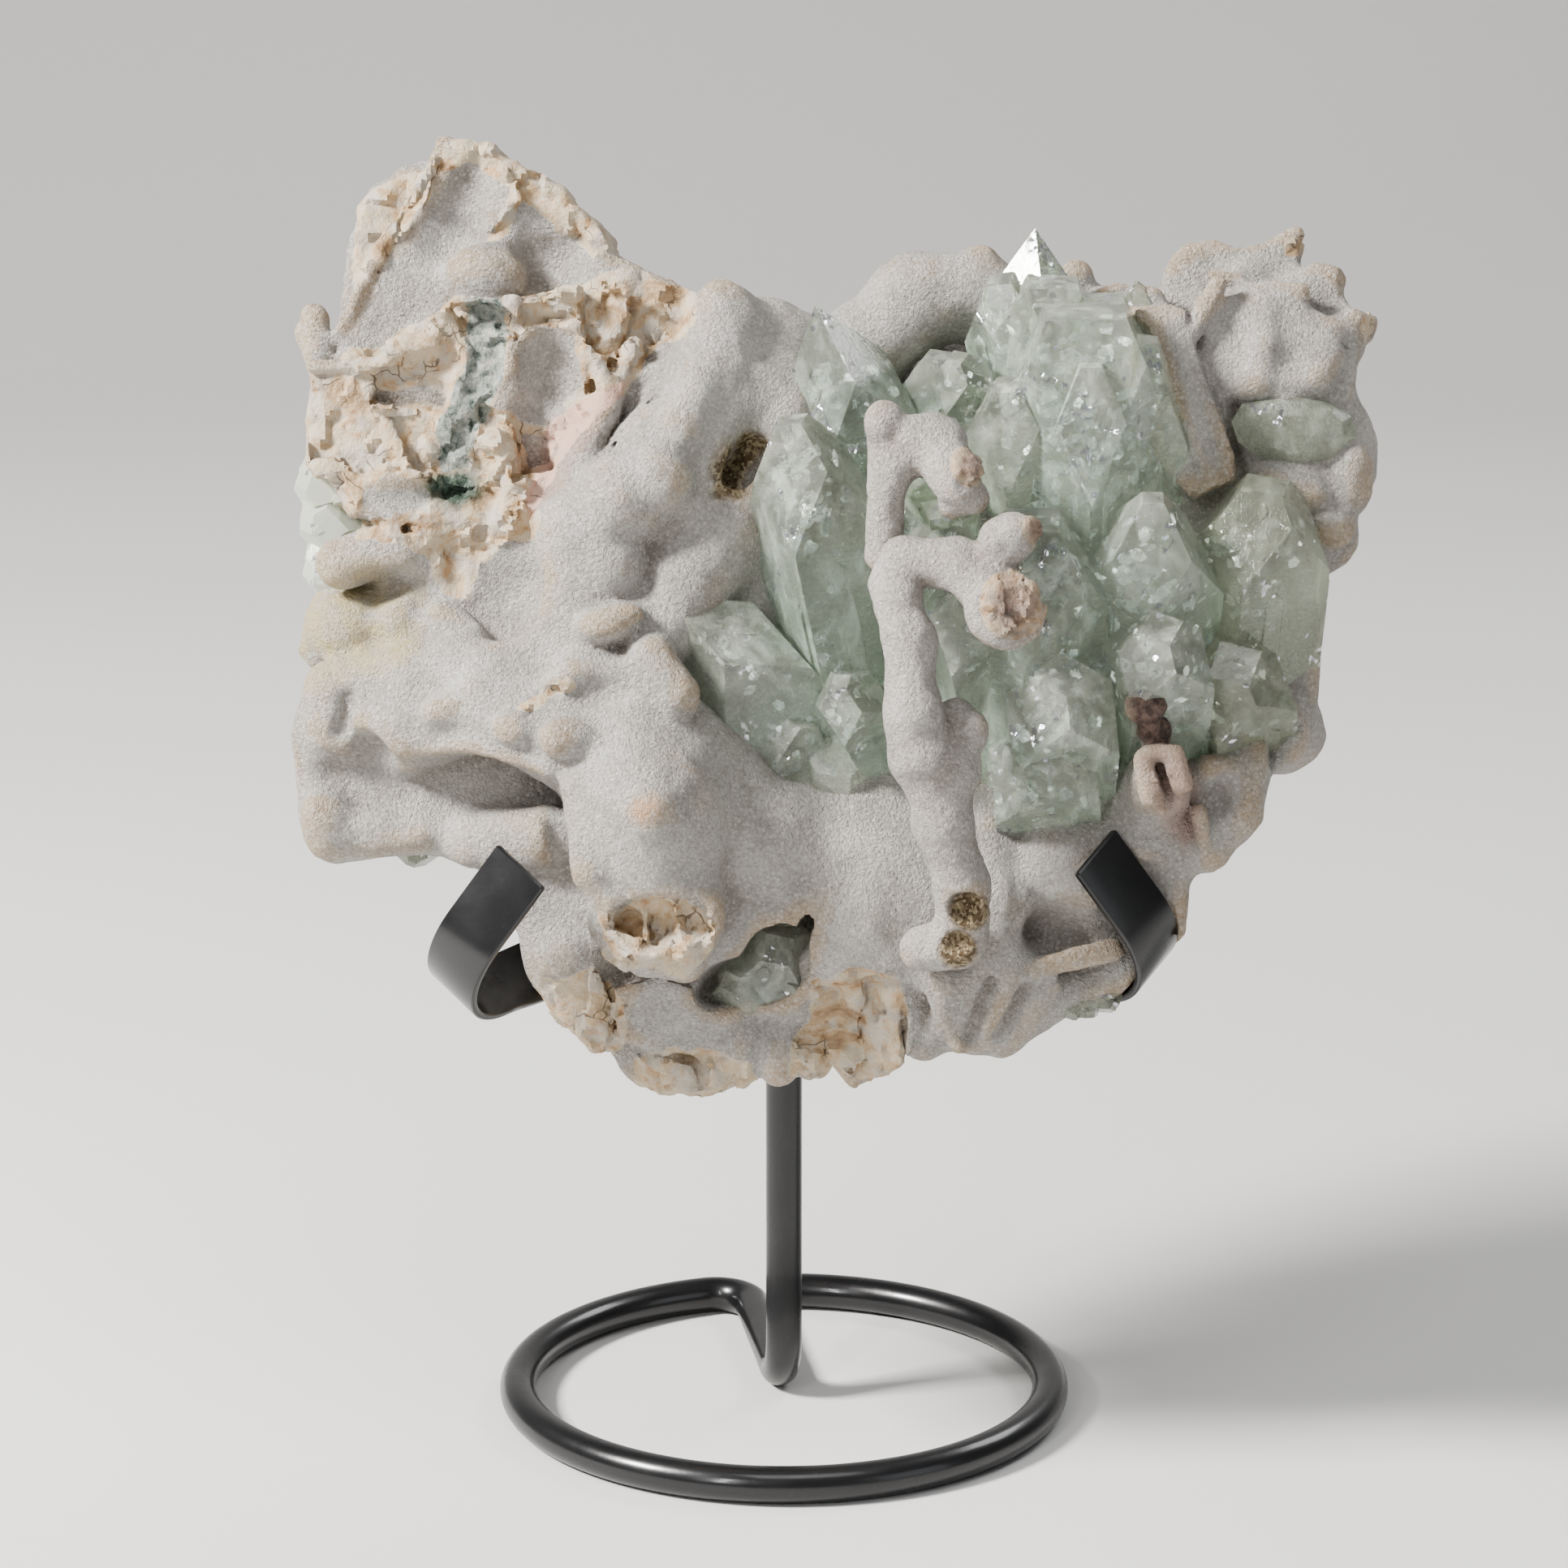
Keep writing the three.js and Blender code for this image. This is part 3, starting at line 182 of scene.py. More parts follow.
def ellipsoid(p, centre, radii, turn):
    s, c = np.sin(np.radians(turn)), np.cos(np.radians(turn))
    x, y, z = p[0] - centre[0], p[1] - centre[1], (p[2] - centre[2]) / radii[2]
    a = (c * x + s * y) / radii[0]
    b = (c * y - s * x) / radii[1]
    outer = np.sqrt(a ** 2 + b ** 2 + z ** 2)
    inner = np.sqrt((a / radii[0]) ** 2 + (b / radii[1]) ** 2 + (z / radii[2]) ** 2)
    return outer * (outer - 1) / np.maximum(inner, LEAST)


def outline_distance(outline, x, y):
    best = np.full(np.broadcast(x, y).shape, 1e9, np.float32)
    inside = np.zeros(best.shape, bool)
    for (x0, y0), (x1, y1) in zip(outline, outline[1:] + outline[:1]):
        ex, ey = x1 - x0, y1 - y0
        wx, wy = x - x0, y - y0
        t = np.clip((wx * ex + wy * ey) / (ex * ex + ey * ey), 0, 1)
        best = np.minimum(best, (wx - t * ex) ** 2 + (wy - t * ey) ** 2)
        if y1 != y0:
            crosses = ((y0 <= y) & (y < y1)) | ((y1 <= y) & (y < y0))
            inside ^= crosses & (x < x0 + wy / ey * ex)
    return np.where(inside, -1.0, 1.0) * np.sqrt(best)


def block(p, outline, back, front, lean, rounding):
    middle = np.mean(outline, 0)
    side = outline_distance(outline, p[0][:, :, 0], p[1][:, :, 0])[:, :, None] + rounding
    face = front + lean[0] * (p[0] - middle[0]) + lean[1] * (p[1] - middle[1])
    cap = np.maximum(p[2] - face, back - p[2]) + rounding
    return (np.minimum(np.maximum(side, cap), 0)
            + np.sqrt(np.maximum(side, 0) ** 2 + np.maximum(cap, 0) ** 2) - rounding)


def feature(low, high, blend, cuts, distance):
    margin = blend + REACH
    return (np.array(low) - margin, np.array(high) + margin, blend, cuts, distance)


def rounded(centre, radii, turn, blend, cuts):
    c = np.array(near(centre))
    reach = np.array([max(radii[:2]), max(radii[:2]), radii[2]])
    return feature(c - reach, c + reach, blend, cuts, lambda p: ellipsoid(p, c, radii, turn))


def rod(a, b, r0, r1, blend, cuts):
    a, b = np.array(near(a)), np.array(near(b))
    reach = max(r0, r1)
    return feature(np.minimum(a, b) - reach, np.maximum(a, b) + reach, blend, cuts,
                   lambda p: tapered(p, a, b, r0, r1))


def lump(centre, radii, turn, blend):
    return rounded(centre, radii, turn, blend, False)


def hollow(centre, radii, turn, blend):
    return rounded(centre, radii, turn, blend, True)


def knob(a, b, r0, r1, blend):
    return rod(a, b, r0, r1, blend, False)


def groove(a, b, r0, r1, blend):
    return rod(a, b, r0, r1, blend, True)


def slab(outline, back, front, lean, rounding, blend):
    scale = (VIEW_DISTANCE - front) / VIEW_DISTANCE
    rim = [(x * scale, y * scale) for x, y in outline]
    xs, ys = [q[0] for q in rim], [q[1] for q in rim]
    middle = np.mean(rim, 0)
    tops = [front + lean[0] * (x - middle[0]) + lean[1] * (y - middle[1])
            for x in (min(xs), max(xs)) for y in (min(ys), max(ys))]
    return feature((min(xs), min(ys), back), (max(xs), max(ys), max(tops)), blend, False,
                   lambda p: block(p, rim, back, front, lean, rounding))


def facet(outline, front, lean):
    """A flat break: rock up to a leaning plane within the outline, and none in front of it."""
    scale = (VIEW_DISTANCE - front) / VIEW_DISTANCE
    rim = [(x * scale, y * scale) for x, y in outline]
    middle = np.mean(rim, 0)
    low, high = np.min(rim, 0), np.max(rim, 0)

    def distance(p):
        side = outline_distance(rim, p[0][:, :, 0], p[1][:, :, 0])[:, :, None]
        face = front + lean[0] * (p[0] - middle[0]) + lean[1] * (p[1] - middle[1])
        return np.maximum(side, face - p[2])

    cut = feature((*low, front - FACET_DEPTH), (*high, front + FACET_DEPTH), FACET_BLEND, True, distance)
    return slab(outline, front - FACET_DEPTH, front, lean, FACET_ROUND, FACET_BLEND), cut


def field_of(features, step):
    """The joined field of the features on a grid with the given spacing, and the grid's three axes."""
    solid = [f for f in features if not f[3]]
    low = np.min([f[0] for f in solid], 0) - step
    high = np.max([f[1] for f in solid], 0) + step
    axes = [np.arange(a, b + step, step, dtype=np.float32) for a, b in zip(low, high)]
    field = np.full([len(a) for a in axes], FAR, np.float32)
    for start, end, blend, cuts, distance in features:
        window = tuple(slice(max(0, int(np.searchsorted(a, s)) - 1), min(len(a), int(np.searchsorted(a, e)) + 1))
                       for a, s, e in zip(axes, start, end))
        x, y, z = (a[w] for a, w in zip(axes, window))
        grid = [np.broadcast_to(x[:, None, None], (len(x), len(y), 1)),
                np.broadcast_to(y[None, :, None], (len(x), len(y), 1)), z[None, None, :]]
        d = distance(grid)
        old = field[window]
        field[window] = -smooth_min(-old, d, blend) if cuts else smooth_min(old, d, blend)
    return field, axes


def surface_of(field, axes):
    """The field's zero surface: its corners, in the axes' units, and its four-sided faces."""
    inside = field < 0
    cell = tuple(s - 1 for s in field.shape)
    count = np.zeros(cell, np.uint8)
    total = np.zeros(cell + (3,), np.float32)

    def shifted(array, by):
        return array[by[0]:by[0] + cell[0], by[1]:by[1] + cell[1], by[2]:by[2] + cell[2]]

    for corner in [(i, j, k) for i in (0, 1) for j in (0, 1) for k in (0, 1)]:
        for axis in range(3):
            if corner[axis]:
                continue
            other = tuple(1 if n == axis else c for n, c in enumerate(corner))
            where = np.nonzero(shifted(inside, corner) != shifted(inside, other))
            f0, f1 = shifted(field, corner)[where], shifted(field, other)[where]
            spot = np.tile(np.array(corner, np.float32), (len(f0), 1))
            spot[:, axis] += f0 / (f0 - f1)
            total[where] += spot
            count[where] += 1
    active = np.nonzero(count)
    index = np.full(cell, -1, np.int64)
    index[active] = np.arange(len(active[0]))
    local = total[active] / count[active][:, None]
    points = np.stack([axes[n][active[n]] + local[:, n] * (axes[n][1] - axes[n][0]) for n in range(3)], 1)
    quads = []
    for axis in range(3):
        o1, o2 = (axis + 1) % 3, (axis + 2) % 3
        low = [slice(1, -1)] * 3
        low[axis] = slice(0, -1)
        high = [slice(1, -1)] * 3
        high[axis] = slice(1, None)
        first, next_one = inside[tuple(low)], inside[tuple(high)]
        where = np.nonzero(first != next_one)
        corner = [w.copy() for w in where]
        corner[o1] += 1
        corner[o2] += 1

        def at(d1, d2):
            spot = list(corner)
            spot[o1] = spot[o1] - d1
            spot[o2] = spot[o2] - d2
            return index[spot[0], spot[1], spot[2]]

        ring = np.stack([at(1, 1), at(0, 1), at(0, 0), at(1, 0)], 1)
        outward = first[where]
        ring[~outward] = ring[~outward][:, ::-1]
        quads.append(ring)
    return points.astype(float), np.concatenate(quads)


def normals_of(points, quads):
    a, b, c, d = (points[quads[:, n]] for n in range(4))
    face = np.cross(c - a, d - b)
    total = np.zeros_like(points)
    for n in range(4):
        for axis in range(3):
            total[:, axis] += np.bincount(quads[:, n], face[:, axis], len(points))
    return total / np.maximum(np.linalg.norm(total, axis=1, keepdims=True), LEAST)


def smoothed(points, quads, times, share):
    """The corners drawn towards the middle of their neighbours."""
    ends = np.concatenate([quads, np.roll(quads, -1, 1)], 0).ravel()
    others = np.concatenate([np.roll(quads, -1, 1), quads], 0).ravel()
    count = np.bincount(ends, minlength=len(points))[:, None]
    for _ in range(times):
        mean = np.stack([np.bincount(ends, points[others, axis], len(points)) for axis in range(3)], 1) / count
        points = points + share * (mean - points)
    return points


def spread(values, quads, times):
    """Values at the corners, softened over their neighbours."""
    return smoothed(np.repeat(values[:, None], 3, 1), quads, times, 0.5)[:, 0]


# The matrix, feature by feature.
MATRIX = [
    # The back and core of the matrix.
    lump([-48, 34, -14], [30, 36, 20], 0, 5),
    lump([-52, 70, -16], [20, 26, 12], 20, 6),
    lump([-4, 30, -16], [34, 42, 22], 0, 8),
    lump([48, 28, -12], [38, 44, 20], 0, 8),
    lump([8, -18, -4], [42, 26, 18], 0, 8),
    lump([20, 56, -30], [22, 20, 12], 30, 6),
    lump([-30, 22, -32], [24, 20, 11], -20, 6),
    lump([52, 8, -26], [20, 24, 12], 15, 6),
    lump([4, 14, -36], [13, 24, 8], 10, 5),
    lump([70, 44, -24], [16, 22, 10], -10, 5),
    # The left peak: a back slab, a crack, and the druse-coated front face that rises to the summit.
    slab([[-76, 60], [-72.5, 86], [-70.5, 96], [-68.7, 99], [-61.8, 102.9], [-57.5, 103.5], [-50, 92],
         [-54, 60]], -27, -14, [0, -0.05], 1.5, 1.5),
    slab([[-57.5, 105.5], [-54.4, 108], [-49.4, 106.1], [-43.6, 102.9], [-35.4, 97.2], [-31, 93.3],
         [-28.6, 88.8], [-19.2, 83.6], [-17, 60], [-40, 44], [-77, 52], [-78, 66], [-74.5, 72], [-67, 87],
         [-60, 98]], -24, -1, [0.05, -0.2], 1.5, 2),
    hollow([-55, 93, -1], [8, 8, 6], 35, 3),
    hollow([-62, 80, 3], [9, 11, 5], -25, 4),
    hollow([-39.5, 88, 0], [7, 6.5, 6], 20, 3),
    lump([-49.5, 85.5, -2], [6, 4, 6], 0, 4),
    knob([-57, 104, -9], [-46, 95, -5], 2, 1.6, 2),
    knob([-44, 95, -6], [-30, 90, -8], 2.4, 2, 2),
    groove([-69.5, 87, -9], [-76, 71, -7], 0.9, 1.1, 0.6),
    knob([-78.6, 75, -10], [-74, 65, -8], 3, 3.4, 2),
    # The broken face below the peak, with its ledge, rim, pocket and crevice.
    slab([[-78.6, 69], [-69, 70], [-62.8, 73.4], [-58.3, 74.1], [-55, 77], [-54.4, 81], [-45, 80.4],
         [-36.3, 82.3], [-27, 82.4], [-28, 70], [-33, 62], [-38, 50], [-46, 40], [-62, 42], [-72, 45],
         [-79.5, 54]], -20, 7, [0.04, -0.06], 0.8, 1.2),
    hollow([-60, 66, 9], [6.5, 4.6, 5], -15, 1.6),
    hollow([-38.5, 68, 11], [6.5, 9.5, 8], 10, 2),
    hollow([-51, 58, 9], [6, 6, 3.6], 30, 1.5),
    hollow([-57, 50, 9], [5, 3, 3.5], 0, 1.5),
    groove([-49.5, 80, 7.5], [-48.4, 70, 7], 1.6, 2, 1),
    groove([-49, 70, 7], [-50.5, 60, 7.5], 1.8, 2, 1),
    lump([-71, 60, 5], [7, 8, 4.5], 0, 3),
    lump([-64, 53, 6], [8, 5, 4], 15, 3),
    lump([-44.5, 54, 8], [3.5, 7, 4], 10, 1.5),
    lump([-46, 77, 5], [5, 3.4, 4], 0, 2),
    knob([-33, 79, 5], [-30, 67, 8], 2.4, 1.8, 1.2),
    groove([-25.5, 80, 3], [-31.5, 64, 6], 1.8, 2.2, 1),
    slab([[-27, 82.8], [-16, 82.8], [-14.2, 79], [-15, 70], [-23, 70], [-26, 76]], -16, 1, [0, -0.1], 1, 1.5),
    slab([[-39, 60], [-32, 65], [-26, 69.5], [-22, 70], [-15, 70], [-17, 58], [-24, 50], [-34, 46],
         [-38, 52]], -12, 6.5, [-0.05, -0.05], 1, 2),
    groove([-37.5, 58, 9.5], [-30, 47, 10], 1.2, 1.4, 1.5),
    # The ridge that runs down from the round top knob to the branching lower left.
    knob([-9.2, 75.6, 0], [-12, 66, 4], 6.3, 7.5, 3),
    knob([-12, 66, 4], [-20, 55, 9], 7.5, 7.6, 3),
    knob([-20, 55, 9], [-26, 47.5, 12], 7.6, 7.4, 3),
    knob([-26, 47.5, 12], [-33.5, 42, 10], 7.4, 7, 3),
    knob([-33.5, 42, 10], [-34, 28, 9], 7, 8.5, 4),
    lump([-27, 48, 15], [6.6, 5.6, 6], -30, 2.5),
    knob([-3, 74, -6], [-1, 60, 0], 7, 8, 4),
    knob([-1, 60, 0], [-9, 45, 4], 8, 8.5, 4),
    knob([-9, 45, 4], [-16, 34, 8], 8.5, 8, 4),
    knob([-4, 66, 5], [-13, 57, 11], 2.6, 3.4, 3),
    knob([-13, 57, 11], [-16.5, 47, 12], 3, 3, 3),
    hollow([-7, 52.6, 9.4], [2.8, 6.6, 3.4], -32, 1),
    # The saddle and the back wall between the knob and the top crystals.
    knob([-4, 72, -8], [12, 71, -10], 6.5, 6.8, 4),
    knob([12, 71, -10], [22, 80, -10], 7, 7.6, 4),
    knob([22, 80, -10], [30.5, 82, -9], 7.6, 6.5, 4),
    knob([11.3, 76.8, -10], [11.5, 74, -10], 2.8, 3, 2),
    knob([32.7, 87, -8], [34, 83, -8], 3.2, 4, 2),
    knob([36, 78, -12], [48.5, 78, -12], 7.5, 6, 4),
    knob([48.6, 84.4, -9], [48, 79, -9], 3, 3.6, 1.5),
    slab([[50, 80], [52, 82.6], [56, 83.6], [62, 82], [64, 76], [56, 66], [50, 70]], -18, -3, [0, 0], 1.5, 2),
    # The lobes at the top right, one behind the other like petals.
    slab([[62.6, 78], [63, 84.8], [64.4, 87.8], [67, 90], [71.8, 90.7], [75.8, 89.2], [80, 90.4],
         [85.4, 92.3], [86.4, 90.4], [85.6, 84], [84, 74], [70, 70]], -17, -7, [0.05, -0.15], 1.6, 2),
    slab([[78, 82], [84, 84.6], [88.4, 86.5], [92.6, 86.2], [93.6, 80.4], [91, 73], [80, 70],
         [74, 76]], -14, -3, [0.02, -0.2], 1.6, 2),
    slab([[84, 74], [91, 76.5], [94.5, 80], [98.3, 76.3], [95.6, 70], [94.4, 64], [80, 60],
         [76, 68]], -12, 1, [-0.05, -0.15], 2, 2.5),
    knob([71, 72, -3], [76.5, 83.5, -6], 4.6, 3, 2.5),
    knob([78, 68, -1], [80, 80, -4], 5, 2.8, 2.5),
    knob([82, 65, 0], [96.5, 76, -6], 5, 2, 2.5),
    hollow([74, 79.5, 2], [3.2, 5, 4], -20, 1.5),
    hollow([88, 78, 1], [3, 5, 4], -30, 2),
    lump([84, 56, -7], [14.4, 13, 12], 0, 4),
    slab([[78, 66], [95.6, 62], [98.4, 57], [98.7, 51], [95.2, 43.6], [86, 40],
         [74, 44]], -15, 0, [-0.1, 0], 3, 3),
    lump([89.5, 41.5, -8], [6, 6.5, 7], 0, 2),
    # The druse wedge beside the largest crystal.
    slab([[56.8, 80.4], [66.4, 78.6], [69, 69], [75, 51], [68, 47], [58, 56]], -12, 6, [0.1, -0.1], 1.2, 1.5),
    knob([64, 76.6, 4], [72.4, 53, 7], 2.6, 3, 1.5),
    hollow([70.5, 72, 6], [2.4, 9, 8], 20, 1.5),
    # The right edge, the lobe with the broken stub, and the mass under the crystals.
    slab([[80, 42], [90.3, 38], [89.8, 26], [89, 14], [85, 9], [74, 6], [70, 30]], -18, 2, [-0.1, 0], 2.5, 3),
    lump([82, 9, -3], [6, 7.5, 8], 0, 2),
    knob([76.5, 4.5, 3], [74.5, -4, 5], 5.6, 4.8, 3),
    knob([74.5, -4, 5], [71, -11.5, 6], 4.8, 3, 2.5),
    slab([[58, 6], [79, 2], [78.8, -4], [71, -14.2], [64, -12], [57, -4]], -8, 9, [0, 0.1], 2, 2),
    knob([61.5, -1.5, 8], [62.5, 1.5, 20], 6.2, 4.8, 1.5),
    groove([62.6, 3.6, 21], [65, -2.6, 19], 0.9, 1.1, 0.5),
    groove([65, -4, 12], [66.8, -11, 11.5], 0.9, 1.2, 0.6),
    groove([60.6, -6.6, 12], [65, -8.4, 11.5], 0.7, 0.9, 0.6),
    slab([[24, 2], [60, 2], [68.2, -10], [67, -25.4], [59.7, -33.4], [54.7, -36], [46.4, -38.6], [37, -44.6],
         [30, -44], [22, -46], [18, -20]], -14, 6, [0.02, 0.1], 3.5, 4),
    lump([50, -13, 5], [14, 9, 9], -10, 5),
    hollow([46, -27.5, 9], [8, 4.6, 6], -25, 4),
    hollow([60, -22, 9], [6, 9, 4], 20, 4),
    knob([34, -8, 8], [33.8, -26, 8], 3.4, 4.4, 2.5),
    knob([33.8, -28, 8], [31, -41, 2], 4.6, 3.4, 3),
    knob([27, -32, 8], [23, -43, 2], 4.2, 3, 2.5),
    knob([38, -31, 7], [37, -43, 0], 4, 2.2, 3),
    lump([34, -34, 2], [13, 9, 7], 0, 4),
    # The rounded lumps and the broken cream face at the bottom.
    lump([14, -20.5, 5], [7.6, 11, 8], 0, 2),
    lump([6.4, -28.4, 4], [5, 6.2, 6], 20, 1.2),
    slab([[4, -32], [12, -31], [18.6, -31], [19.4, -42], [17, -47.6], [12, -50.2], [8.6, -47],
         [5, -40]], -10, 5, [-0.06, 0.08], 0.9, 1),
    groove([13.6, -34, 6.5], [11.2, -39.5, 5.5], 0.8, 1, 0.5),
    knob([4.4, -45.8, 3], [5, -42, 2], 3.3, 3.2, 1.2),
    lump([-1, -43.6, 1], [4.2, 7, 6], 0, 1.2),
    lump([-9, -42, -1], [7, 8.6, 7], 0, 2),
    lump([-13, -48, -2], [7, 4, 5], 10, 1.5),
    lump([-21.5, -46, -2], [7.5, 5, 6], -25, 1.5),
    slab([[-30, -27], [-10, -27], [-11, -42], [-22, -46], [-29, -40]], -14, 6, [0.06, 0.12], 2.5, 2.5),
    hollow([-1.6, -29.6, 8], [5.6, 7.6, 9], -35, 1),
    # The bottom left, below the large branching lump.
    slab([[-50, -8], [-34, -6], [-28, -20], [-30, -42], [-37.3, -39.6], [-42, -32.8], [-44.2, -24.8],
         [-49, -16]], -12, 8, [0.1, 0.1], 3, 3),
    lump([-36, -28.5, 4], [7, 6.6, 7], 15, 2.5),
    slab([[-41, -33], [-34, -31], [-28.6, -36], [-29.4, -44.6], [-34, -42.4],
         [-38.6, -38]], -10, 7, [0.1, 0.1], 1, 1.5),
    # The large lump, its branches and its broken hollow end.
    knob([-27, 10, 12], [-23, -4, 17], 11.5, 12.5, 4),
    knob([-23, -4, 17], [-20.5, -22, 15], 12.5, 10.4, 4),
    knob([-16, 4, 10], [-4, -9, 6], 9.5, 9.5, 5),
    knob([-4, -9, 6], [5, -14, 2], 9.5, 7, 5),
    knob([-40, 12.5, 16], [-33.5, 19, 16], 3, 3.4, 3),
    knob([-33.5, 19, 16], [-20, 14, 16], 4, 4.4, 4),
    lump([-35.6, 7.8, 23], [3.6, 3.2, 3.4], 0, 3),
    lump([-22.4, -4.2, 28.5], [4, 3.6, 3.4], 0, 3),
    lump([-14.5, -21.5, 20], [4.6, 5.6, 5], 0, 2),
    lump([-28, -23, 14], [4.4, 5, 6], 0, 2),
    lump([-16.6, -29, 15], [4, 4, 4], 0, 2),
    hollow([-22.6, -24, 27], [5, 4.6, 9], 25, 1),
    hollow([-15, -23.4, 28], [3, 4.2, 7], -20, 1),
    lump([-29, 26.6, 18], [5.6, 3, 4.4], 12, 1.2),
    knob([-22.2, 21.4, 18.5], [-18, 14.6, 20], 3.7, 3.9, 1.2),
    knob([-34, 26, 9], [-20, 26, 10], 7, 6.5, 4),
    # The branch that reaches out to the lower left, with its crest, overhanging lip and two end knobs.
    slab([[-81.4, 11], [-80, 16.4], [-70, 18], [-40, 20], [-34, 8], [-36, -8], [-44, -13], [-53, -12.4],
         [-64, -10], [-75.6, -13], [-79.6, -9], [-80.4, 2]], -10, 3.5, [0.06, 0.02], 3, 3),
    knob([-75.8, 16.4, 4], [-62, 18.6, 8], 4, 4.6, 3),
    knob([-62, 18.6, 8], [-52, 20, 9], 4.6, 5.4, 3),
    knob([-52, 20, 9], [-38, 21, 9], 5.4, 7, 3),
    knob([-74, 10, 3], [-62, 9, 8], 6, 6.5, 4),
    knob([-62, 9, 8], [-48, 13, 11], 6.5, 7.6, 4),
    knob([-48, 13, 11], [-38, 8, 13], 7.6, 8.6, 4),
    knob([-79, 8, 1], [-78.6, -4, 0], 2.6, 2.4, 2.5),
    lump([-76, -6, 3], [4.2, 5.4, 4.6], 0, 2),
    knob([-75, -9, 2], [-60, -7.5, 3], 3.8, 4.2, 3),
    hollow([-58, -2, 13], [13, 6.4, 7.4], 10, 3),
    hollow([-46.5, -1.6, 17], [8, 4.4, 8], -18, 3),
    hollow([-68.5, 2.6, 10], [4, 6, 5], 20, 3),
    knob([-52, -9.4, 4], [-40, -9, 9], 4.4, 5.4, 3),
    # The left edge: lumps above the branch, the stub finger and the pitted face behind it.
    lump([-72, 26, -1], [7.4, 6.4, 7], 0, 2.5),
    lump([-63.4, 26.4, 1], [5, 7, 7], 0, 2),
    slab([[-81, 22], [-79, 30], [-77, 34], [-66, 36], [-64, 20], [-77, 17.5]], -12, -2, [0, 0], 1.5, 2),
    knob([-58.6, 25.4, 4.4], [-54, 24, 6], 4, 3.6, 1.5),
    knob([-73.6, 36.6, 5], [-64, 39, 4.5], 4.4, 4.6, 1.5),
    knob([-64, 39, 4.5], [-56, 41.5, 3], 4.6, 5, 2),
    hollow([-66.5, 32.6, 8], [5, 2.8, 5], 8, 1),
    lump([-55, 35, 2], [6, 8, 5], 0, 2.5),
    hollow([-55, 36, 8.6], [2.4, 4.6, 3], 15, 1),
    lump([-44, 33, 2], [8, 12, 7], -15, 3),
    hollow([-46.5, 31, 11], [6.5, 8, 5], -20, 2.5),
]

